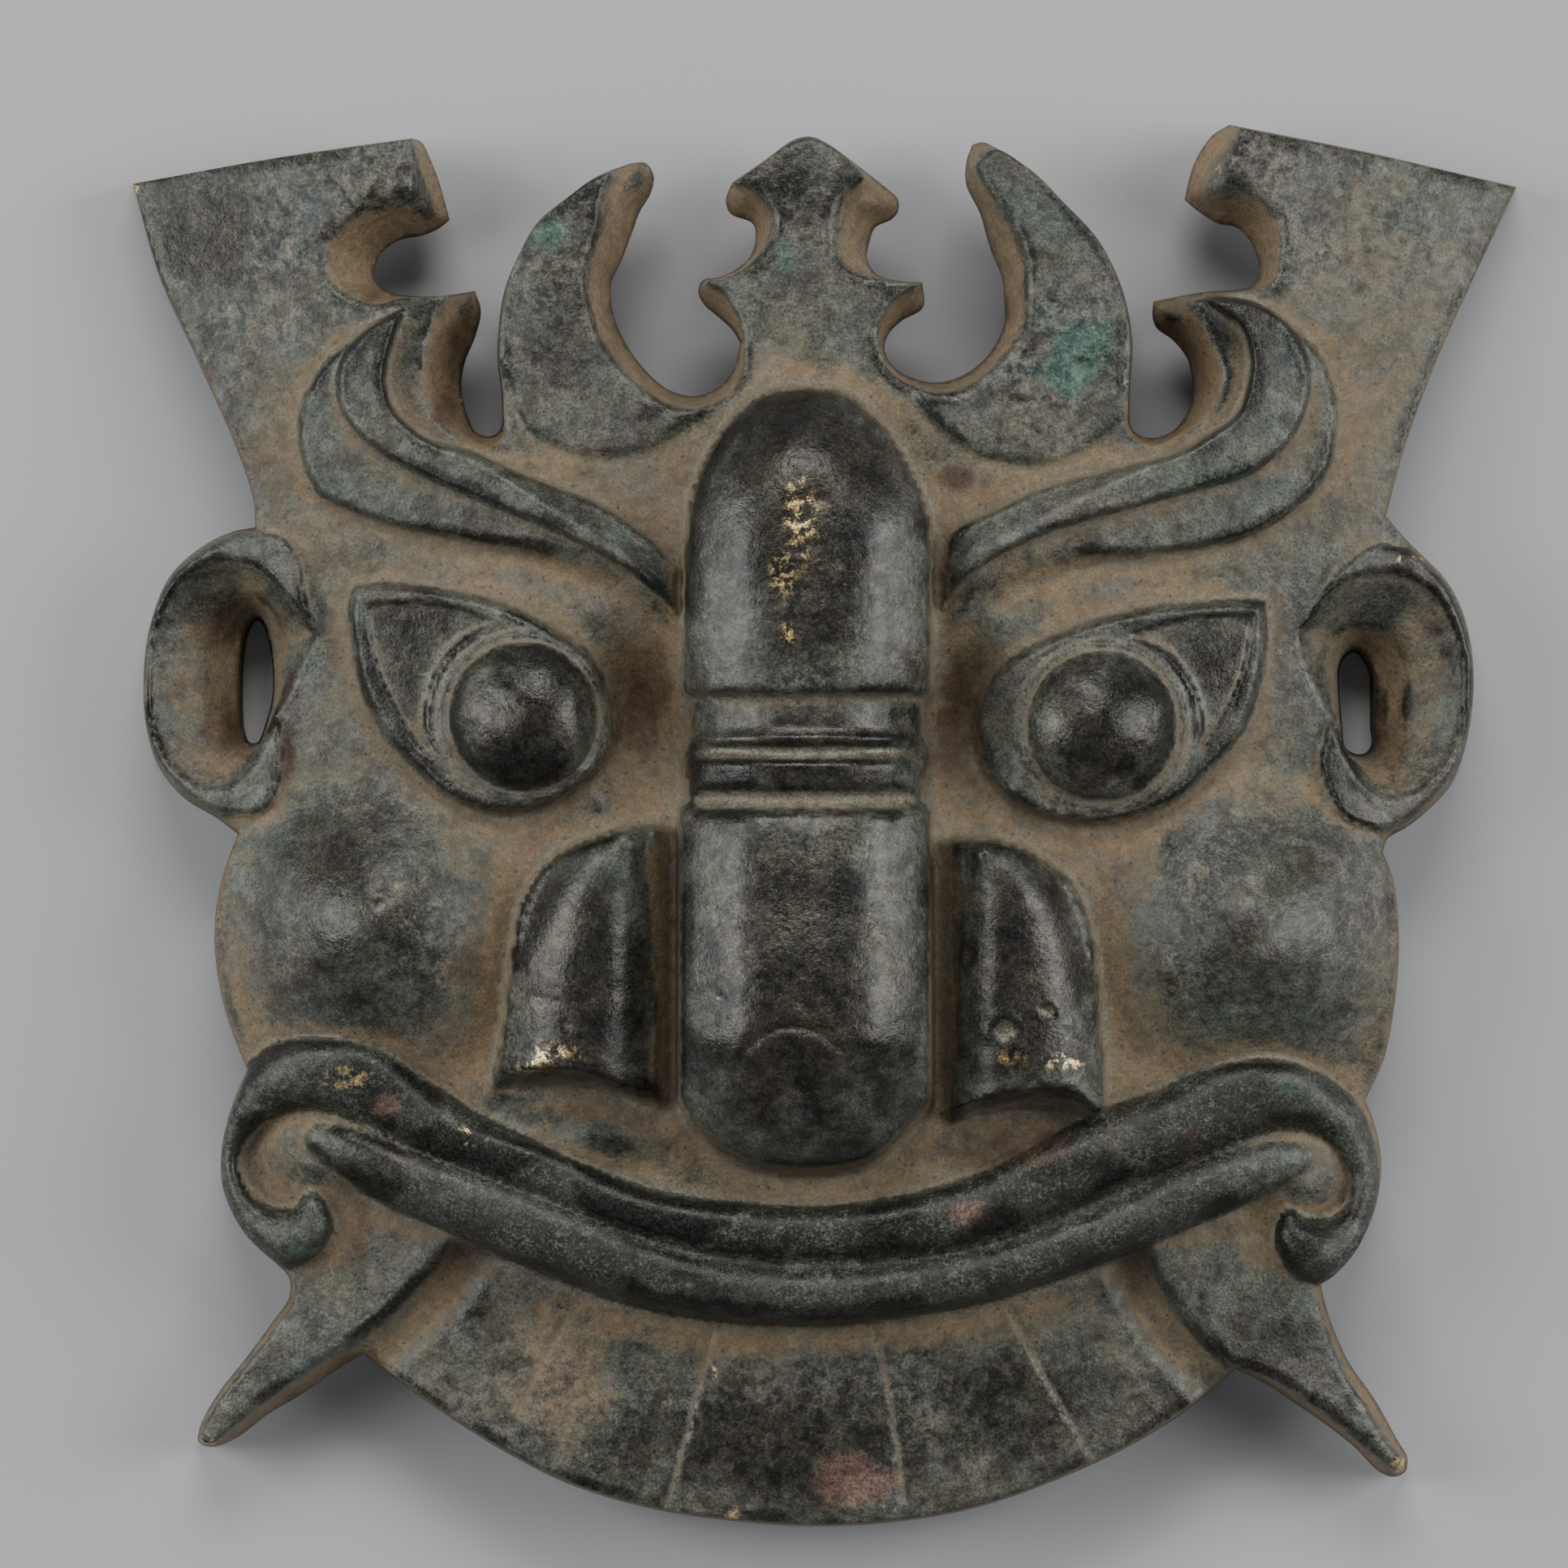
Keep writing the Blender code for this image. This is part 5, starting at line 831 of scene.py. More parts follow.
def mound(x, y, middle, radii, high):
    """A soft round swelling."""
    cx, cy = at(*middle)
    r = ((x - cx) / to_mm(radii[0])) ** 2 + ((y - cy) / to_mm(radii[1])) ** 2
    return high * np.clip(1 - r, 0, None) ** 2


def rounded_stations(stations, gap):
    """Rounds the middle line of a roll and spreads its half widths along it."""
    s = np.asarray(stations, float)
    out = []
    for k in range(len(s) - 1):
        a = s[max(k - 1, 0)]
        b = s[k]
        c = s[k + 1]
        d = s[min(k + 2, len(s) - 1)]
        count = max(1, int(round(np.hypot(*(c - b)[:2]) * STEP / gap)))
        t = (np.arange(count) / count)[:, None]
        out.append(0.5 * (2 * b + (c - a) * t + (2 * a - 5 * b + 4 * c - d) * t * t
                          + (3 * b - a - 3 * c + d) * t ** 3))
    out.append(s[-1:])
    return np.vstack(out)


def roll(x, y, stations, gap):
    """How far across a roll of changing width every point lies: 0 on its middle line, 1 at its foot."""
    s = rounded_stations(stations, gap)
    p = sheet(s[:, :2])
    w = s[:, 2] * STEP
    best = np.full(x.shape, 9.0)
    width = np.zeros(x.shape)
    low = p.min(axis=0) - REACH
    high = p.max(axis=0) + REACH
    near = (x > low[0]) & (x < high[0]) & (y > low[1]) & (y < high[1])
    px = x[near]
    py = y[near]
    found = best[near]
    across = width[near]
    for k in range(len(p) - 1):
        ax, ay = p[k]
        dx, dy = p[k + 1] - p[k]
        t = np.clip(((px - ax) * dx + (py - ay) * dy) / (dx * dx + dy * dy), 0, 1)
        half = w[k] + (w[k + 1] - w[k]) * t
        r = np.sqrt((px - ax - t * dx) ** 2 + (py - ay - t * dy) ** 2) / half
        better = r < found
        found = np.where(better, r, found)
        across = np.where(better, half, across)
    best[near] = found
    width[near] = across
    return best, width


def nose_loop(gap):
    sides = path(gap, *NOSE_SIDES)
    tip = smooth_run(NOSE_TIP, gap)
    upper = sides[sides[:, 1] >= tip[0, 1]]
    return np.vstack((upper, tip[::-1])), sides, tip


def nose_raise(x, y, gap):
    loop, sides, tip = nose_loop(gap)
    inside = is_inside(x, y, loop)
    down = SHEET_MIDDLE - y / STEP
    d = line_distance(x, y, sides, closed=False) - flow(down, NOSE_WAIST)
    end = line_distance(x, y, tip, closed=False)
    high = flow(down, NOSE_LINE) - flow(d, NOSE_FACET)
    return np.where(inside, np.clip(high, 0, None) * ease(d / NOSE_WALL) * ease(end / NOSE_TIP_WALL), 0.0)


def nostril_raise(x, y, part, gap):
    foot = chain(gap, *part["foot"])
    d = depth_inside(x, y, foot)
    low = sheet(part["foot"][1])
    brim = sheet(part["brim"])
    low = low[np.argsort(low[:, 0])]
    brim = brim[np.argsort(brim[:, 0])]
    y_low = np.interp(x, low[:, 0], low[:, 1])
    y_brim = np.interp(x, brim[:, 0], brim[:, 1])
    up = np.clip((y - y_low) / (y_brim - y_low), 0, 1)
    side = line_distance(x, y, path(gap, part["foot"][0]), closed=False)
    nose_side = line_distance(x, y, sheet(part["foot"][2]), closed=False)
    high = NOSTRIL_BASE * ease(nose_side / NOSTRIL_ROUND)
    far = roll(x, y, part["barrel"], gap)[0]
    high += NOSTRIL_BARREL * np.clip(1 - far ** NOSTRIL_POWER, 0, 1)
    return np.where(d > 0, high * ease(side / NOSTRIL_WALL) * up, 0.0)


def eye_raise(x, y, part, gap):
    d = depth_inside(x, y, chain(gap, *part["lid"]))
    f = depth_inside(x, y, chain(gap, *part["field"]))
    cx, cy = at(*part["ball"])
    r = np.hypot(x - cx, y - cy)
    plate = np.where(d > 0, LID_RAISE * ease(d / LID_WALL) - FIELD_DEPTH * ease(f / FIELD_WALL), 0.0)
    disc = ease((to_mm(part["ring"]) - r) / FIELD_WALL)
    plate = plate * (1 - disc) + (LID_RAISE + RING_RAISE) * disc
    ball = to_mm(part["ball_r"])
    dome = BALL_RAISE * np.clip(1 - (r / ball) ** 2, 0, 1) ** 0.6
    crease = RING_CREASE * np.clip(1 - np.abs(r - ball - CREASE_AWAY) / CREASE_HALF, 0, 1)
    return plate + dome - crease


def brow_raise(x, y, part, gap):
    d = depth_inside(x, y, chain(gap, *part["lower"]))
    u = depth_inside(x, y, chain(gap, *part["upper"]))
    fade = ease((to_mm(440) - np.abs(x - DOME_ACROSS)) / to_mm(200))
    z = BROW_LOWER * ease(d / (BROW_WALL + BROW_FADE * fade)) + BROW_UPPER * ease(u / BROW_UPPER_WALL)
    return np.where(d > 0, z, 0.0)


def ear_shape(x, y, part, slot, gap):
    band = depth_inside(x, y, smooth_run(part["band"], gap, closed=True))
    rim = depth_inside(x, y, smooth_run(part["rim"], gap, closed=True))
    hole = smooth_run(slot[1], gap, closed=True)
    to_hole = line_distance(x, y, hole)
    z = np.where(band > 0, EAR_BAND * ease(band / FIELD_WALL), 0.0)
    share = np.where(rim > 0, rim / (rim + to_hole + 1e-6), 0.0)
    share = np.where(is_inside(x, y, hole), 1.0, share)
    bowl = flow(share, EAR_BOWL) + EAR_LIP * ease(rim / FIELD_WALL)
    return z - np.where(rim > 0, bowl, 0.0)


def lip_raise(x, y, gap):
    upper, upper_half = roll(x, y, UPPER_ROLL, gap)
    lower, lower_half = roll(x, y, LOWER_ROLL, gap)
    first = (ROLL_BASE + ROLL_SHARE * upper_half) * np.sqrt(np.clip(1 - upper ** ROLL_POWER, 0, 1))
    second = (ROLL_BASE + ROLL_SHARE * lower_half) * np.sqrt(np.clip(1 - lower ** ROLL_POWER, 0, 1))
    groove = LIP_GROOVE * np.clip(1 - (np.maximum(upper, lower) - 1.0) / GROOVE_SPREAD, 0, 1)
    raised = np.maximum(np.maximum(first, second), groove)
    for middle, radii, high in SCROLL_FLOORS:
        raised = np.maximum(raised, np.minimum(mound(x, y, middle, radii, SCROLL_CROWN * high), high))
    return raised


def chin_lines(gap):
    return smooth_run(LEFT_TUSK_LINE, gap), smooth_run(LIP_LINE, gap), smooth_run(RIGHT_TUSK_LINE, gap)


def chin_drop(x, y, gap):
    left, lip, right = chin_lines(gap)
    loop = np.vstack((left, lip, right, sheet(BELOW_CHIN)))
    inside = is_inside(x, y, loop)
    tusk = np.minimum(line_distance(x, y, left, closed=False), line_distance(x, y, right, closed=False))
    lips = line_distance(x, y, lip, closed=False)
    trough = TUSK_TROUGH * np.clip(1 - np.abs(tusk - TROUGH_AWAY) / TROUGH_HALF, 0, 1)
    slope = ease(tusk / CHIN_SLOPE) * ease(lips / CHIN_LIP_SLOPE)
    return np.where(inside, (CHIN_DROP + trough) * slope, 0.0)


def teeth_cut(x, y, gap):
    cut = np.zeros(x.shape)
    for line in TEETH:
        d = line_distance(x, y, smooth_run(line, gap), closed=False)
        cut += TOOTH_CUT * np.clip(1 - d / TOOTH_HALF, 0, 1)
    return cut


def horn_plates(x, y, gap):
    """The horns' faces stand a little proud of the brow, with a soft step along their lower outer side."""
    z = np.zeros(x.shape)
    for line in HORN_PLATES:
        d = depth_inside(x, y, smooth_run(line, gap, closed=True))
        z += np.where(d > 0, HORN_STEP * ease(d / HORN_SLOPE), 0.0)
    return z


def face(x, y, gap):
    z = ground(x, y)
    for middle, radii, high in SWELLINGS:
        z = z + mound(x, y, middle, radii, high)
    z = z + horn_plates(x, y, gap) + nose_raise(x, y, gap)
    for part in NOSTRILS:
        z = z + nostril_raise(x, y, part, gap)
    for part in EYES:
        z = z + eye_raise(x, y, part, gap)
    for part in BROWS:
        z = z + brow_raise(x, y, part, gap)
    for part, slot in zip(EARS, SLOTS):
        z = z + ear_shape(x, y, part, slot, gap)
    return z + lip_raise(x, y, gap) - chin_drop(x, y, gap) - teeth_cut(x, y, gap)


def front(x, y, gap):
    """Height of all that is seen from in front, walls too, and which points are metal."""
    foot = chain(gap, *FOOT_RUNS)
    top = chain(gap, *TOP_RUNS)
    metal = is_inside(x, y, foot)
    rim = rim_height(x, y)
    z = face(x, y, gap)
    share = between(line_distance(x, y, foot), line_distance(x, y, top))
    z = rim + (z - rim) * np.where(is_inside(x, y, top), 1.0, share)
    for lower, upper in SLOTS:
        low = smooth_run(lower, gap, closed=True)
        up = smooth_run(upper, gap, closed=True)
        hole = is_inside(x, y, low)
        share = between(line_distance(x, y, low), line_distance(x, y, up))
        z = rim + (z - rim) * np.where(is_inside(x, y, up), share, 1.0)
        metal &= ~hole
    return z, metal


def thin_out(line, slack, longest):
    """Leaves out the points of a fine line that its shape doesn't need."""
    keep = [0, len(line) - 1]
    spans = [(0, len(line) - 1)]
    while spans:
        a, b = spans.pop()
        if b - a < 2:
            continue
        p = line[a]
        way = line[b] - p
        size = np.hypot(*way)
        inner = line[a + 1:b] - p
        if size < 1e-9:
            off = np.hypot(inner[:, 0], inner[:, 1])
        else:
            off = np.abs(inner[:, 0] * way[1] - inner[:, 1] * way[0]) / size
        k = int(np.argmax(off))
        if off[k] > slack or size > longest:
            middle = a + 1 + (k if off[k] > slack else (b - a) // 2 - 1)
            keep.append(middle)
            spans.append((a, middle))
            spans.append((middle, b))
    return line[sorted(keep)]


def thin_loop(line):
    """Thins out a closed line, keeping its first point and the one half way round."""
    half = len(line) // 2
    first = thin_out(line[:half + 1], LINE_SLACK, LONGEST)
    second = thin_out(np.vstack((line[half:], line[:1])), LINE_SLACK, LONGEST)
    return np.vstack((first[:-1], second[:-1]))


def signed_area(line):
    nxt = np.roll(line, -1, axis=0)
    return 0.5 * float(np.sum(line[:, 0] * nxt[:, 1] - line[:, 1] * nxt[:, 0]))


def beside(line, distance, closed):
    """A line that keeps a distance to the left of another, without the points that come too near."""
    ends = np.vstack((line[-1:], line, line[:1])) if closed else np.vstack((line[:1], line, line[-1:]))
    way = ends[2:] - ends[:-2]
    way /= np.maximum(np.hypot(way[:, 0], way[:, 1]), 1e-9)[:, None]
    moved = line + distance * np.column_stack((-way[:, 1], way[:, 0]))
    real = line_distance(moved[:, 0], moved[:, 1], line, closed)
    return moved, real > abs(distance) * CLEAR_SHARE


def pieces(line, good, closed):
    """Cuts a line into the stretches whose points are all good."""
    if closed:
        line = np.vstack((line, line[:1]))
        good = np.append(good, good[0])
    out = []
    start = None
    for k, fine in enumerate(good):
        if fine and start is None:
            start = k
        if start is not None and (not fine or k == len(good) - 1):
            stop = k + 1 if fine else k
            if stop - start > 1:
                out.append(line[start:stop])
            start = None
    return out


def carving_lines():
    """Lines along the feet and tops of the carving that the mesh must follow."""
    gap = LINE_GAP
    loops = []
    open_lines = []
    for part in BROWS:
        for key, step in (("lower", BROW_WALL), ("upper", BROW_UPPER_WALL)):
            line = chain(gap, *part[key])
            loops += [(line, 0.0), (line, step / 2), (line, step)]
    for part in EYES:
        lid = chain(gap, *part["lid"])
        field = chain(gap, *part["field"])
        loops += [(lid, 0.0), (lid, LID_WALL / 2), (lid, LID_WALL), (field, 0.0), (field, FIELD_WALL)]
        turn = np.linspace(0, 2 * np.pi, CIRCLE_POINTS, endpoint=False)
        cx, cy = at(*part["ball"])
        ring = to_mm(part["ring"])
        for radius in (ring, ring - FIELD_WALL, to_mm(part["ball_r"]) + CREASE_AWAY):
            loops.append((np.column_stack((cx + radius * np.cos(turn), cy + radius * np.sin(turn))), 0.0))
    nose = nose_loop(gap)[0]
    loops += [(nose, 0.0), (nose, NOSE_WALL)]
    for part in NOSTRILS:
        foot = chain(gap, *part["foot"])
        loops += [(foot, 0.0), (foot, NOSTRIL_WALL)]
        open_lines.append(sheet(part["brim"]))
        open_lines.append(sheet(rounded_stations(part["barrel"], gap)[:, :2]))
    for part in EARS:
        loops.append((smooth_run(part["rim"], gap, closed=True), 0.0))
        loops.append((smooth_run(part["band"], gap, closed=True), 0.0))
    for stations in (UPPER_ROLL, LOWER_ROLL):
        s = rounded_stations(stations, gap)
        middle = sheet(s[:, :2])
        ends = np.vstack((middle[:1], middle, middle[-1:]))
        way = ends[2:] - ends[:-2]
        way /= np.hypot(way[:, 0], way[:, 1])[:, None]
        side = np.column_stack((-way[:, 1], way[:, 0])) * (s[:, 2] * STEP)[:, None]
        open_lines += [middle + side, middle - side]
    open_lines += list(chin_lines(gap))
    for line in TEETH:
        middle = smooth_run(line, gap)
        open_lines.append(middle)
        for turn in (-1, 1):
            open_lines.append(beside(middle, turn * TOOTH_HALF, False)[0])
    return loops, open_lines


class Net:
    """Points and the edges that the triangles must keep."""

    def __init__(self):
        self.points = []
        self.edges = []
        self.count = 0
        self.border_count = 0

    def add(self, line, closed):
        n = len(line)
        k = np.arange(n)
        pairs = np.column_stack((k, np.roll(k, -1))) if closed else np.column_stack((k[:-1], k[1:]))
        self.edges += [(int(a) + self.count, int(b) + self.count) for a, b in pairs]
        self.points.append(line)
        self.count += n

    def scatter(self, points):
        self.points.append(points)
        self.count += len(points)

    def triangles(self):
        """The points, the triangles, and for each point its number on the outline or slots, else -1."""
        p = np.vstack(self.points)
        spots = [Vector((float(a), float(b))) for a, b in p]
        out = delaunay_2d_cdt(spots, self.edges, [], 0, MERGE)
        border = np.full(len(out[0]), -1)
        for k, sources in enumerate(out[3]):
            outer = [i for i in sources if i < self.border_count]
            if outer:
                border[k] = outer[0]
        points = np.array([(v.x, v.y) for v in out[0]])
        return points, np.array([list(f) for f in out[2]], int), border


def metal_only(points, tris, foot, holes):
    """Leaves out the triangles that lie outside the outline or in a slot."""
    c = points[tris].mean(axis=1)
    keep = is_inside(c[:, 0], c[:, 1], foot)
    for hole in holes:
        keep &= ~is_inside(c[:, 0], c[:, 1], hole)
    return tris[keep]


def cut_chords(net, foot, holes):
    """Adds a point in the middle of every inner edge that joins two border points, until there is none."""
    while True:
        points, tris, border = net.triangles()
        tris = metal_only(points, tris, foot, holes)
        edges = np.sort(np.vstack((tris[:, :2], tris[:, 1:], tris[:, [0, 2]])), axis=1)
        edges, count = np.unique(edges, axis=0, return_counts=True)
        inner = (count == 2) & (border[edges[:, 0]] >= 0) & (border[edges[:, 1]] >= 0)
        if not inner.any():
            return points, tris, border
        net.scatter(points[edges[inner]].mean(axis=1))


def spots_clear_of(net, grid_x, grid_y, room):
    """True for the grid spots that lie no nearer than room to a point already in the net."""
    clear = np.ones(grid_x.shape, bool)
    p = np.vstack(net.points)
    column = np.round((p[:, 0] - grid_x[0, 0]) / SPOT_GAP).astype(int)
    row = np.round((p[:, 1] - grid_y[0, 0]) / SPOT_GAP).astype(int)
    for i in (-1, 0, 1):
        for j in (-1, 0, 1):
            r = np.clip(row + i, 0, grid_x.shape[0] - 1)
            c = np.clip(column + j, 0, grid_x.shape[1] - 1)
            near = np.hypot(grid_x[r, c] - p[:, 0], grid_y[r, c] - p[:, 1]) < room
            clear[r[near], c[near]] = False
    return clear


class Grid:
    """A regular grid of spots over the whole mask, with the heights of its front and its hollow."""

    def __init__(self):
        self.x0 = -HALF_SPAN - GRID_MARGIN
        self.y0 = -HALF_TALL - GRID_MARGIN
        across = self.x0 + SPOT_GAP * np.arange(int(-2 * self.x0 / SPOT_GAP) + 1)
        up = self.y0 + SPOT_GAP * np.arange(int(-2 * self.y0 / SPOT_GAP) + 1)
        self.x, self.y = np.meshgrid(across, up)
        z, metal = front(self.x.ravel(), self.y.ravel(), LINE_GAP)
        self.z = z.reshape(self.x.shape)
        self.metal = metal.reshape(self.x.shape)

    def blurred(self, values, softness, weight=None):
        """Soft average over about softness millimetres, of the metal alone unless told otherwise."""
        weight = self.metal.astype(float) if weight is None else weight
        top = values * weight
        low = weight.copy()
        half = max(1, int(round(softness / SPOT_GAP)))
        for _ in range(3):
            top = box_average(top, half)
            low = box_average(low, half)
        return top / np.maximum(low, 1e-6)

    def lowest_near(self, radius):
        """The lowest height of the front within a radius of every spot."""
        z = np.where(self.metal, self.z, OPEN_AIR)
        reach = int(np.ceil(radius / SPOT_GAP))
        low = z.copy()
        for i in range(-reach, reach + 1):
            for j in range(-reach, reach + 1):
                if i * i + j * j <= reach * reach:
                    low = np.minimum(low, np.roll(np.roll(z, i, axis=0), j, axis=1))
        return low

    def hollow(self):
        """The hollow's height: a wall's thickness behind the face, the small relief left out."""
        low = self.lowest_near(WALL + HOLLOW_BLUR)
        soft = np.where(low == OPEN_AIR, 0.0, low - WALL)
        half = max(1, int(round(HOLLOW_SOFTNESS / SPOT_GAP / 2)))
        for _ in range(3):
            soft = box_average(soft, half)
        return np.minimum(soft, self.lowest_near(THIN_WALL) - THIN_WALL)

    def sample(self, values, x, y):
        gx = np.clip((x - self.x0) / SPOT_GAP, 0, self.x.shape[1] - 1.001)
        gy = np.clip((y - self.y0) / SPOT_GAP, 0, self.x.shape[0] - 1.001)
        i = gy.astype(int)
        j = gx.astype(int)
        u = gx - j
        v = gy - i
        low = values[i, j] * (1 - u) + values[i, j + 1] * u
        high = values[i + 1, j] * (1 - u) + values[i + 1, j + 1] * u
        return low * (1 - v) + high * v


def box_average(values, half):
    """Average over a square of 2 * half + 1 spots a side."""
    for axis in (0, 1):
        pad = [(0, 0), (0, 0)]
        pad[axis] = (half + 1, half)
        total = np.cumsum(np.pad(values, pad, mode="edge"), axis=axis)
        size = 2 * half + 1
        values = (np.take(total, range(size, total.shape[axis]), axis)
                  - np.take(total, range(total.shape[axis] - size), axis)) / size
    return values


def back_heights(x, y, foot, holes, grid, hollow):
    edge = line_distance(x, y, foot)
    for hole in holes:
        edge = np.minimum(edge, line_distance(x, y, hole))
    rim = rim_height(x, y)
    rise = np.maximum(grid.sample(hollow, x, y) - rim, 0.0)
    return rim + rise * ease((edge - RIM_WIDTH) / HOLLOW_SLOPE)


def front_net(foot, top, holes, rims, grid):
    net = Net()
    net.add(foot, True)
    for hole in holes:
        net.add(hole, True)
    net.border_count = net.count
    net.add(top, True)
    for rim in rims:
        net.add(rim, True)
    loops, open_lines = carving_lines()
    lines = []
    for line, step in loops:
        if step:
            turn = 1 if signed_area(line) > 0 else -1
            moved, good = beside(line, turn * step, True)
            lines += pieces(moved, good, True)
        else:
            lines.append(np.vstack((line, line[:1])))
    for line in lines + open_lines:
        lx = line[:, 0]
        ly = line[:, 1]
        good = is_inside(lx, ly, top) & (line_distance(lx, ly, top) > EDGE_CLEARANCE)
        for rim in rims:
            good &= ~is_inside(lx, ly, rim) & (line_distance(lx, ly, rim) > EDGE_CLEARANCE)
        for piece in pieces(line, good, False):
            if len(piece) > 2:
                net.add(thin_out(piece, LINE_SLACK, LONGEST), False)
    clear = spots_clear_of(net, grid.x, grid.y, LINE_ROOM) & grid.metal
    net.scatter(np.column_stack((grid.x[clear], grid.y[clear])))
    return net


def back_net(foot, holes, grid):
    net = Net()
    net.add(foot, True)
    for hole in holes:
        net.add(hole, True)
    net.border_count = net.count
    clear = spots_clear_of(net, grid.x, grid.y, LINE_ROOM) & grid.metal
    edge = line_distance(grid.x.ravel(), grid.y.ravel(), foot)
    for hole in holes:
        edge = np.minimum(edge, line_distance(grid.x.ravel(), grid.y.ravel(), hole))
    edge = edge.reshape(grid.x.shape)
    every = np.zeros(grid.x.shape, bool)
    every[::BACK_EVERY, ::BACK_EVERY] = True
    fine = np.zeros(grid.x.shape, bool)
    fine[::RIM_EVERY, ::RIM_EVERY] = True
    fine &= edge < RIM_WIDTH + HOLLOW_SLOPE + RIM_MARGIN
    take = clear & (every | fine) & (edge > LINE_ROOM)
    net.scatter(np.column_stack((grid.x[take], grid.y[take])))
    return net


def noise(x, y, cell, seed):
    """Smooth random hills and hollows between -1 and 1, about one cell apart."""
    lattice = np.random.default_rng(seed).random((NOISE_SIDE, NOISE_SIDE)) * 2 - 1
    u = x / cell + NOISE_SIDE * 8
    v = y / cell + NOISE_SIDE * 8
    i = np.floor(u).astype(int)
    j = np.floor(v).astype(int)
    s = ease(u - i)
    t = ease(v - j)
    i0, i1 = i % NOISE_SIDE, (i + 1) % NOISE_SIDE
    j0, j1 = j % NOISE_SIDE, (j + 1) % NOISE_SIDE
    low = lattice[j0, i0] * (1 - s) + lattice[j0, i1] * s
    high = lattice[j1, i0] * (1 - s) + lattice[j1, i1] * s
    return low * (1 - t) + high * t


def waves(x, y, rows):
    """Adds up noises, each (height, cell size, seed)."""
    return sum(high * noise(x, y, cell, seed) for high, cell, seed in rows)


def rough(x, y, cell, seed):
    """Noise of two sizes together, the second half as large."""
    return 0.65 * noise(x, y, cell, seed) + 0.35 * noise(x + 3.7, y - 1.9, cell / 2, seed + 1)


def cloud(x, y, spots, ragged, seed):
    """Soft round patches, each (across, down, half width, half height, strength), with a ragged edge."""
    out = np.zeros(x.shape)
    torn = ragged * rough(x, y, CLOUD_CELL, seed)
    for across, down, wide, tall, strength in spots:
        cx, cy = at(across, down)
        r = np.hypot((x - cx) / to_mm(wide), (y - cy) / to_mm(tall)) + torn
        out = np.maximum(out, strength * ease((CLOUD_OUTER - r) / (CLOUD_OUTER - CLOUD_INNER)))
    return out


def nearest(x, y, lines):
    """Distance to the nearest of several smooth open lines."""
    return np.min([line_distance(x, y, smooth_run(line, LINE_GAP), closed=False) for line in lines], axis=0)


def dents(x, y):
    """Casting pits, bubbles, dents and scratches at their places on the face."""
    z = np.zeros(x.shape)
    for across, down, radius, depth in PITS:
        cx, cy = at(across, down)
        r = np.hypot(x - cx, y - cy) / to_mm(radius)
        z -= depth * np.clip(1 - r * r, 0, None) ** 1.5
        z += PIT_LIP * abs(depth) * np.clip(1 - np.abs(r - PIT_LIP_PLACE) / PIT_LIP_WIDTH, 0, None)
    for line, depth, half in SCRATCHES:
        z -= depth * np.clip(1 - nearest(x, y, [line]) / half, 0, None)
    return z


def wear_of_surface(x, y, polish):
    """The slight unevenness of a cast and cleaned surface; the polished places are smoother."""
    calm = 1 - POLISH_CALM * polish
    z = waves(x, y, BROAD_WAVES)
    z += calm * waves(x, y, SKIN_WAVES)
    coarse = cloud(x, y, *COARSE_STAIN)
    z -= coarse * COARSE_DEPTH * np.clip(waves(x, y, COARSE_WAVES) - COARSE_LEVEL, 0, None)
    return z


def surface(x, y):
    """The finished front: the carved form with its pits, wear and rounded edges."""
    z = front(x, y, LINE_GAP)[0]
    polish = cloud(x, y, *STAINS["polish"])
    edge = line_distance(x, y, chain(LINE_GAP, *FOOT_RUNS))
    for lower, upper in SLOTS:
        edge = np.minimum(edge, line_distance(x, y, smooth_run(lower, LINE_GAP, closed=True)))
    crest = line_distance(x, y, chain(LINE_GAP, *TOP_RUNS))
    round_off = EDGE_ROUND * np.clip(1 - crest / EDGE_ROUND_WIDTH, 0, None) ** 2
    nicks = EDGE_NICKS * np.clip(noise(x, y, *NICK_NOISE) - NICK_LEVEL, 0, None)
    nicks = nicks * np.clip(1 - crest / NICK_WIDTH, 0, None)
    change = dents(x, y) + wear_of_surface(x, y, polish) - round_off - nicks
    return np.minimum(z + change * ease(edge / EDGE_STILL), HIGHEST)


def smear(values, low, high):
    return ease((values - low) / (high - low))


def eye_rings(x, y):
    """1 on the flat ring round each eye ball."""
    rings = np.zeros(x.shape)
    for part in EYES:
        cx, cy = at(*part["ball"])
        r = np.hypot(x - cx, y - cy) / STEP
        inner = ease((r - part["ball_r"]) / RING_SOFTNESS + 0.5)
        outer = ease((part["ring"] - r) / RING_SOFTNESS + 0.5)
        rings = np.maximum(rings, inner * outer)
    return rings


def lip_masks(x, y, faded):
    """The black of the lips, and painted shade along the line where the two rolls meet."""
    upper = roll(x, y, UPPER_ROLL, LINE_GAP)[0]
    lower = roll(x, y, LOWER_ROLL, LINE_GAP)[0]
    lip = ease((LIP_REACH - np.minimum(upper, lower)) / LIP_SOFTNESS)
    # Painted shade: a dark line along the crease where the two rolls meet.
    seam_shade = np.clip(1 - np.abs(upper - lower) / SEAM_SHADE_WIDTH, 0, 1) * lip
    floors = np.zeros(x.shape)
    for middle, radii, high in SCROLL_FLOORS:
        floors = np.maximum(floors, ease(mound(x, y, middle, radii, FLOOR_SHOW)))
    lip = lip * (1 - floors * (upper > 1.0))
    return lip * (1 - faded), seam_shade


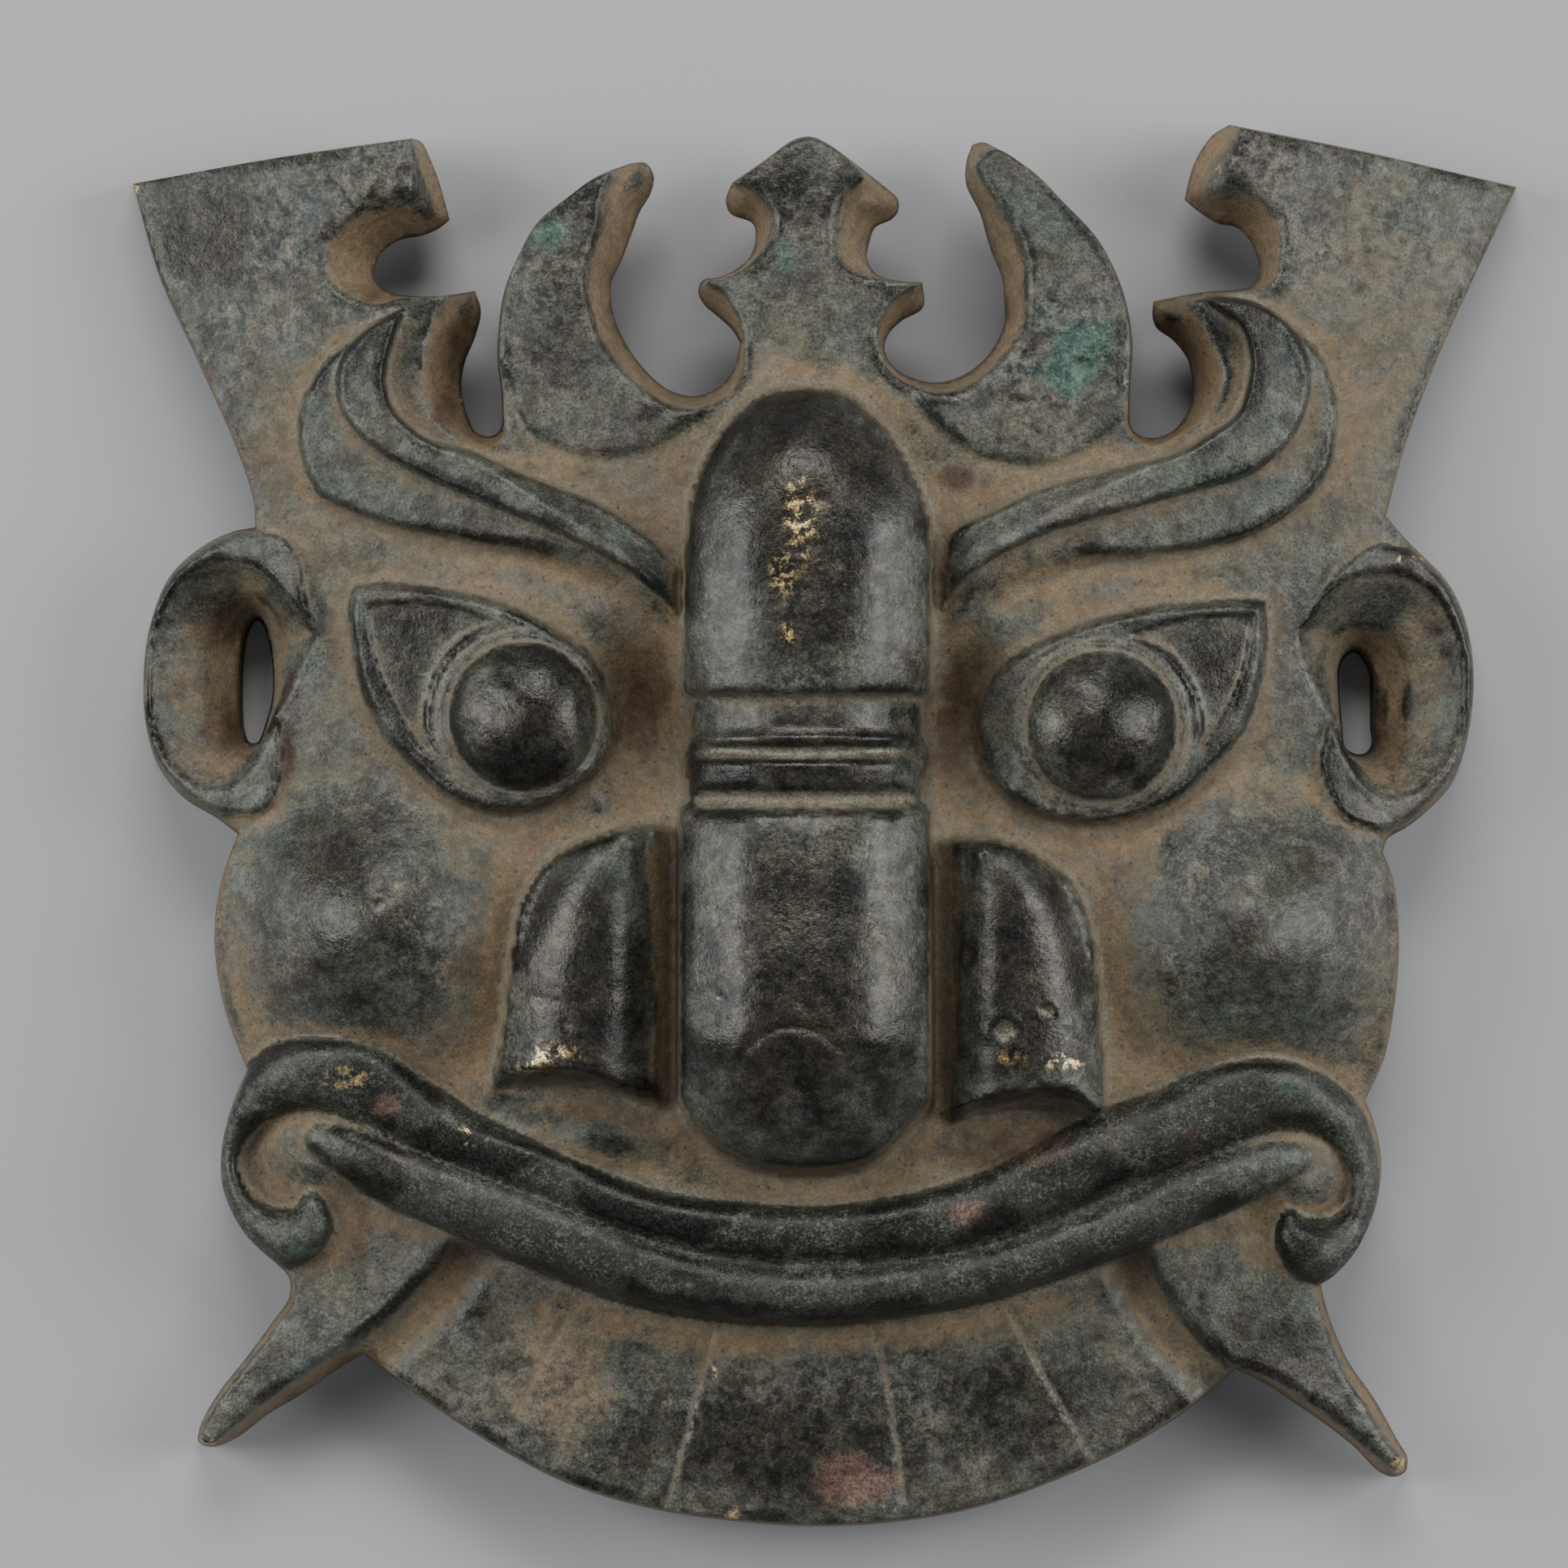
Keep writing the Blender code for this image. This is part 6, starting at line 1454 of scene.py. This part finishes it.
def finish_masks(grid, x, y, z):
    """How much of each finish every point carries, from the form itself and from where stains lie."""
    # Hollows count above zero and ridges below it, at three widths.
    near, mid, wide = [grid.sample(grid.blurred(grid.z, blur), x, y) - z for blur in BLURS]
    recess = sum(share * np.clip(depth / full, -1, 1)
                 for depth, (share, full) in zip((near, mid, wide), RECESS_SHARES))
    top = chain(LINE_GAP / 2, *TOP_RUNS)
    wall = np.where(is_inside(x, y, top), 0.0, 1.0)
    wall[line_distance(x, y, top) < ON_LINE] = WALL_ON_LINE
    stain = {name: cloud(x, y, *row) for name, row in STAINS.items()}
    grain = rough(x, y, *GRAIN_NOISE)
    fine = rough(x, y, *FINE_NOISE)
    lip, seam_shade = lip_masks(x, y, stain["faded"])
    rings = eye_rings(x, y)
    # Painted highlights along the nose tip's step and edges, laid in with the pale tooth lines into the
    # earth and pale masks.
    painted_highlight = ease(1.0 - nearest(x, y, HIGHLIGHT_LINES) / HIGHLIGHT_WIDTH) * smear(rough(x, y, *HIGHLIGHT_NOISE), -0.9, 0.6)
    teeth_and_highlight = np.maximum(ease(TOOTH_BAND - nearest(x, y, TEETH)), HIGHLIGHT_STRENGTH * painted_highlight)
    strips = ease(STRIP_BAND - nearest(x, y, STRIPS))
    earth = (0.20 + 0.55 * recess + 0.50 * stain["earthy"] - 0.65 * stain["polish"] + 0.26 * grain
             + 0.10 * fine + 0.8 * wall + 0.45 * rings + 0.6 * teeth_and_highlight - 0.9 * lip - 1.2 * stain["soot_and_shade"]
             + 0.5 * strips)
    ridge = -0.8 * np.clip(near / 0.25, -1, 0) - 0.25 * np.clip(mid / 0.8, -1, 1)
    worn = (0.15 + ridge - wall - rings) * smear(rough(x, y, *WORN_NOISE), -0.5, 0.5)
    pale = (0.9 * np.clip(near / 0.3, 0, 1) + 0.25 * np.clip(mid, -1, 1) + 0.15 * grain - 0.6 * wall - lip
            + 0.4 * rings)
    polish = stain["polish"] * (1 - 0.7 * smear(recess, 0.0, 0.8)) * (1 - 0.85 * lip) - 0.5 * rings
    ochre = 0.7 * wall + 0.9 * smear(recess, 0.15, 0.95) + 0.5 * strips + 0.9 * stain["golden"]
    # The worn mask also carries the painted shade where the lips meet.
    masks = dict(earth=earth, worn=worn + seam_shade + stain["black"], pale=np.maximum(pale, 0.8 * teeth_and_highlight),
                 # The lips mask also carries the soot places, which include painted shade on walls turned
                 # from the light.
                 polish=polish, ochre=ochre, lips=np.maximum(lip, stain["soot_and_shade"]),
                 # The rust mask on the front is painted shade: rust brown in the listed hollows and in
                 # patches on the steep walls.
                 rust_and_shade=np.maximum(stain["rust_and_shade"], 0.6 * wall * smear(grain, 0.1, 0.9)))
    for name in ("scuff", "verdigris", "copper", "bright"):
        masks[name] = stain[name]
    return {name: np.clip(values, 0, 1) for name, values in masks.items()}


def back_finish(x, y, names):
    """The same finishes for the hollow behind the face: more earth, with rust and green."""
    masks = dict.fromkeys(names, np.zeros(x.shape))
    masks["earth"] = BACK_EARTH + BACK_EARTH_SWING * rough(x, y, *BACK_EARTH_NOISE)
    masks["pale"] = np.full(x.shape, BACK_PALE)
    masks["ochre"] = np.full(x.shape, BACK_OCHRE)
    masks["rust_and_shade"] = smear(rough(x, y, *BACK_RUST_NOISE), 0.2, 0.9)
    masks["verdigris"] = smear(rough(x, y, *BACK_GREEN_NOISE), 0.45, 1.0)
    return masks


def mask_mesh():
    foot, top = [thin_loop(chain(LINE_GAP / 2, *runs)) for runs in (FOOT_RUNS, TOP_RUNS)]
    holes, rims = [[thin_loop(smooth_run(slot[k], LINE_GAP / 2, closed=True)) for slot in SLOTS]
                   for k in (0, 1)]
    grid = Grid()
    hollow = grid.hollow()
    # The front.
    points, tris, border = cut_chords(front_net(foot, top, holes, rims, grid), foot, holes)
    x = points[:, 0]
    y = points[:, 1]
    z = surface(x, y)
    outer = np.vstack([foot] + holes)
    rim = rim_height(outer[:, 0], outer[:, 1])
    z[border >= 0] = rim[border[border >= 0]]
    masks = finish_masks(grid, x, y, z)
    # The hollow behind, down to the same border.
    back_points, back_tris, back_border = cut_chords(back_net(foot, holes, grid), foot, holes)
    bx = back_points[:, 0]
    by = back_points[:, 1]
    inner = back_border < 0
    deep = ease(grid.sample(hollow, bx, by) / BACK_STILL)
    back_z = back_heights(bx, by, foot, holes, grid, hollow) + waves(bx, by, BACK_WAVES) * deep
    back_z = np.maximum(np.where(inner, back_z, rim[back_border]), 0.0)
    # Both share the border's points.
    link = np.full(len(outer), -1)
    link[border[border >= 0]] = np.flatnonzero(border >= 0)
    place = np.empty(len(back_points), int)
    place[~inner] = link[back_border[~inner]]
    place[inner] = len(points) + np.arange(inner.sum())
    verts = np.vstack((np.column_stack((x, y, z)), np.column_stack((bx, by, back_z))[inner])) * MM
    faces = np.vstack((tris, place[back_tris][:, ::-1]))
    mesh = bpy.data.meshes.new("mask_skin")
    mesh.from_pydata(verts.tolist(), [], faces.tolist())
    back_masks = back_finish(bx, by, masks)
    for name, values in masks.items():
        layer = mesh.attributes.new(name, "FLOAT", "POINT")
        both = np.concatenate((values, back_masks[name][inner]))
        layer.data.foreach_set("value", both.astype(np.float32))
    return mesh


class Sketch:
    """Short words for making a material's nodes."""

    def __init__(self, name):
        self.material = bpy.data.materials.new(name)
        self.material.use_nodes = True
        self.tree = self.material.node_tree
        self.shader = self.tree.nodes["Principled BSDF"]
        self.place = self.tree.nodes.new("ShaderNodeTexCoord").outputs["Object"]

    def join(self, value, socket):
        if isinstance(value, bpy.types.NodeSocket):
            self.tree.links.new(value, socket)
        elif isinstance(value, tuple):
            socket.default_value = value + (1.0,)
        else:
            socket.default_value = value

    def give(self, value, name):
        """Links a value to one of the shader's sockets."""
        self.tree.links.new(value, self.shader.inputs[name])

    def mask(self, name):
        node = self.tree.nodes.new("ShaderNodeAttribute")
        node.attribute_name = name
        return node.outputs["Fac"]

    def noise(self, size, detail=3.0, roughness=0.55, distortion=0.0):
        """Noise whose hills are about size millimetres apart."""
        node = self.tree.nodes.new("ShaderNodeTexNoise")
        self.tree.links.new(self.place, node.inputs["Vector"])
        node.inputs["Scale"].default_value = 1 / (size * MM)
        node.inputs["Detail"].default_value = detail
        node.inputs["Roughness"].default_value = roughness
        node.inputs["Distortion"].default_value = distortion
        return node.outputs["Fac"]

    def cells(self, size):
        """Distance to the nearest of random spots about size millimetres apart."""
        node = self.tree.nodes.new("ShaderNodeTexVoronoi")
        self.tree.links.new(self.place, node.inputs["Vector"])
        node.inputs["Scale"].default_value = 1 / (size * MM)
        return node.outputs["Distance"]

    def sum(self, a, b, way="ADD"):
        node = self.tree.nodes.new("ShaderNodeMath")
        node.operation = way
        self.join(a, node.inputs[0])
        self.join(b, node.inputs[1])
        return node.outputs[0]

    def times(self, a, b):
        return self.sum(a, b, "MULTIPLY")

    def swing(self, grain, strength):
        """Noise moved to lie round zero, and scaled."""
        return self.times(self.sum(grain, -0.5), strength)

    def step(self, value, low, high, out_low=0.0, out_high=1.0):
        """A soft step from out_low to out_high as value goes from low to high."""
        node = self.tree.nodes.new("ShaderNodeMapRange")
        node.interpolation_type = "SMOOTHSTEP"
        self.join(value, node.inputs["Value"])
        ends = {"From Min": low, "From Max": high, "To Min": out_low, "To Max": out_high}
        for key, number in ends.items():
            node.inputs[key].default_value = number
        return node.outputs["Result"]

    def mix(self, share, a, b, way="MIX"):
        node = self.tree.nodes.new("ShaderNodeMix")
        node.data_type = "RGBA"
        node.blend_type = way
        self.join(share, node.inputs[0])
        self.join(a, node.inputs[6])
        self.join(b, node.inputs[7])
        return node.outputs[2]

    def cover(self, colour, share, strength, paint):
        """Lays paint over a colour where share is high, with a given strength."""
        return self.mix(self.times(share, strength), colour, paint)

    def torn(self, mask, grain, strength, low, high):
        """A mask with its edge torn by noise."""
        return self.step(self.sum(mask, self.swing(grain, strength)), low, high)

    def bump(self, height, strength, distance, below=None):
        node = self.tree.nodes.new("ShaderNodeBump")
        node.inputs["Strength"].default_value = strength
        node.inputs["Distance"].default_value = distance * MM
        self.tree.links.new(height, node.inputs["Height"])
        if below is not None:
            self.tree.links.new(below, node.inputs["Normal"])
        return node.outputs["Normal"]


def bronze_material():
    s = Sketch("mask_bronze_worn")
    large, middle, small, fine, grain, blots, mottle = [s.noise(*row) for row in FINISH_NOISES]
    # Patina in grey, green and blue, with brown blots and mottled scuffs.
    colour = s.mix(s.step(large, 0.38, 0.62), GREY_PATINA, GREEN_PATINA)
    colour = s.cover(colour, s.step(middle, 0.45, 0.68), 0.8, BLUE_PATINA)
    colour = s.cover(colour, s.step(blots, 0.44, 0.62), 0.8, BROWN_BRONZE)
    scuff = s.mask("scuff")
    colour = s.cover(colour, scuff, s.step(mottle, 0.53, 0.62), PINK_SCUFF)
    colour = s.cover(colour, scuff, s.step(mottle, 0.48, 0.40), BLACK_BRONZE)
    # Lips: black with green specks. The same black lies on the soot places, painted shade among them.
    lips = s.mask("lips")
    speck_noise = s.sum(s.sum(fine, s.swing(middle, 0.8)), s.swing(grain, 0.6))
    lip_colour = s.mix(s.step(speck_noise, 0.48, 0.68), LIP_BLACK, LIP_GREEN)
    colour = s.cover(colour, lips, 0.92, lip_colour)
    # Smooth dark places.
    dark = s.torn(s.mask("polish"), small, 1.0, 0.15, 0.95)
    dark_colour = s.mix(s.step(middle, 0.4, 0.65), BROWN_BRONZE, BLACK_BRONZE)
    colour = s.cover(colour, dark, 0.80, dark_colour)
    # Pale dust beside the steps, and earth in the hollows and on the walls; the pale and earth masks also
    # carry the painted highlight lines on the nose's tip.
    pale = s.mask("pale")
    halo = s.torn(pale, fine, 0.8, 0.35, 1.05)
    colour = s.cover(colour, halo, 0.6, PALE_EARTH)
    grit = s.sum(s.swing(small, 1.0), s.swing(fine, 0.4))
    soil = s.step(s.sum(s.mask("earth"), grit), 0.12, 0.95)
    ground_colour = s.mix(s.step(middle, 0.42, 0.66), OCHRE_EARTH, PALE_EARTH)
    ground_colour = s.cover(ground_colour, s.step(blots, 0.50, 0.72), 0.8, DARK_EARTH)
    golden = s.sum(s.times(s.mask("ochre"), 0.55), s.sum(large, s.swing(small, 0.7)))
    ground_colour = s.cover(ground_colour, s.step(golden, 0.60, 1.10), 0.8, GOLDEN_EARTH)
    colour = s.cover(colour, soil, 0.85, ground_colour)
    colour = s.cover(colour, s.step(pale, 0.55, 0.95), 0.55, PALE_EARTH)
    # Stains, rust brown painted shade in the hollows and on the walls, rubbed ridges and bright metal.
    rust_and_shade = s.torn(s.mask("rust_and_shade"), small, 1.0, 0.20, 0.95)
    colour = s.cover(colour, rust_and_shade, 0.85, RUST_AND_SHADE_BROWN)
    green = s.torn(s.mask("verdigris"), blots, 1.6, 0.30, 1.05)
    colour = s.cover(colour, green, 0.6, TURQUOISE)
    copper = s.torn(s.mask("copper"), small, 1.3, 0.30, 1.0)
    colour = s.cover(colour, copper, 0.75, COPPER)
    # Black on rubbed ridges, and painted shade along the line where the lips meet.
    rubbed_and_seam_shade = s.torn(s.mask("worn"), fine, 0.8, 0.30, 1.0)
    colour = s.cover(colour, rubbed_and_seam_shade, 0.62, BLACK_BRONZE)
    bright = s.times(s.step(s.mask("bright"), 0.1, 0.8), s.step(mottle, 0.50, 0.58))
    colour = s.mix(bright, colour, GOLD)
    # Fine speckle, softer on the earth, and pin pricks both dark and light.
    hard = s.times(s.step(grain, 0.30, 0.70, 0.62, 1.42), s.step(mottle, 0.32, 0.68, 0.66, 1.36))
    speckle = s.sum(hard, s.times(s.times(soil, 0.5), s.sum(1.0, hard, "SUBTRACT")))
    shade = s.tree.nodes.new("ShaderNodeCombineColor")
    for k in range(3):
        s.tree.links.new(speckle, shade.inputs[k])
    colour = s.mix(1.0, colour, shade.outputs["Color"], "MULTIPLY")
    pin_dark = s.step(s.cells(DARK_PIN_GAP), 0.08, 0.20, 0.5, 0.0)
    colour = s.mix(pin_dark, colour, BLACK_BRONZE)
    pin_light = s.step(s.sum(s.cells(LIGHT_PIN_GAP), s.times(small, 0.25)), 0.16, 0.24, 0.45, 0.0)
    colour = s.mix(pin_light, colour, PALE_EARTH)
    s.give(colour, "Base Color")
    # Earth is matt, and dark and rubbed metal glossier.
    matt = s.sum(s.times(soil, 0.24), s.times(halo, 0.08))
    gloss = s.sum(s.times(dark, 0.19), s.sum(s.times(rubbed_and_seam_shade, 0.14), s.times(lips, -0.06)))
    roughness = s.sum(s.sum(matt, gloss, "SUBTRACT"), s.step(small, 0.3, 0.7, 0.34, 0.50))
    s.give(s.sum(roughness, s.step(grain, 0.3, 0.7, -0.04, 0.06)), "Roughness")
    metal = s.sum(s.times(s.sum(rubbed_and_seam_shade, dark, "MAXIMUM"), 0.35), s.sum(bright, 0.15))
    clamp = s.tree.nodes.new("ShaderNodeClamp")
    s.tree.links.new(s.times(metal, s.step(soil, 0.0, 1.0, 1.0, 0.1)), clamp.inputs["Value"])
    s.give(clamp.outputs["Result"], "Metallic")
    s.shader.inputs["Specular IOR Level"].default_value = BRONZE_SPECULAR
    normal = None
    for height, (strength, distance) in zip((small, fine, grain), BUMPS):
        normal = s.bump(height, strength, distance, normal)
    s.give(normal, "Normal")
    return s.material


def floor_material():
    s = Sketch("floor_paint")
    s.give(s.mix(s.noise(*FLOOR_NOISE), FLOOR_DARK, FLOOR_LIGHT), "Base Color")
    s.shader.inputs["Roughness"].default_value = FLOOR_ROUGHNESS
    s.shader.inputs["Specular IOR Level"].default_value = FLOOR_SPECULAR
    return s.material


def area_light(name, place, size, colour):
    light = bpy.data.lights.new(name, "AREA")
    light.shape = "RECTANGLE"
    light.size, light.size_y = size
    light.energy = LIGHT_POWER
    light.color = colour
    holder = bpy.data.objects.new(name, light)
    holder.location = place
    holder.rotation_euler = (Vector(LIGHT_AIM) - Vector(place)).to_track_quat("-Z", "Y").to_euler()
    bpy.context.scene.collection.objects.link(holder)


def show_object(name, mesh, material):
    mesh.materials.append(material)
    thing = bpy.data.objects.new(name, mesh)
    bpy.context.scene.collection.objects.link(thing)
    return thing


mesh = mask_mesh()
for polygon in mesh.polygons:
    polygon.use_smooth = True
mask = show_object("mask_skin", mesh, bronze_material())
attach(mask, "root")
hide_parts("mask")

floor_mesh = bpy.data.meshes.new("floor")
corners = [(FLOOR_HALF * across, FLOOR_HALF * up, 0) for across, up in ((-1, -1), (1, -1), (1, 1), (-1, 1))]
floor_mesh.from_pydata(corners, [], [(0, 1, 2, 3)])
floor = show_object("floor", floor_mesh, floor_material())

world = bpy.data.worlds.new("studio")
world.use_nodes = True
world.node_tree.nodes["Background"].inputs["Color"].default_value = WORLD_COLOUR + (1.0,)
world.node_tree.nodes["Background"].inputs["Strength"].default_value = WORLD_STRENGTH
bpy.context.scene.world = world
for light in LIGHTS:
    area_light(*light)

camera = bpy.data.objects.new("camera", bpy.data.cameras.new("camera"))
camera.data.sensor_width = SENSOR
camera.data.lens = SENSOR * (CAMERA_HEIGHT - FACE_PLANE) / VIEW_SIDE
camera.data.clip_end = CLIP_END
camera.location = (CAMERA_X, CAMERA_Y, CAMERA_HEIGHT)
bpy.context.scene.collection.objects.link(camera)
bpy.context.scene.camera = camera
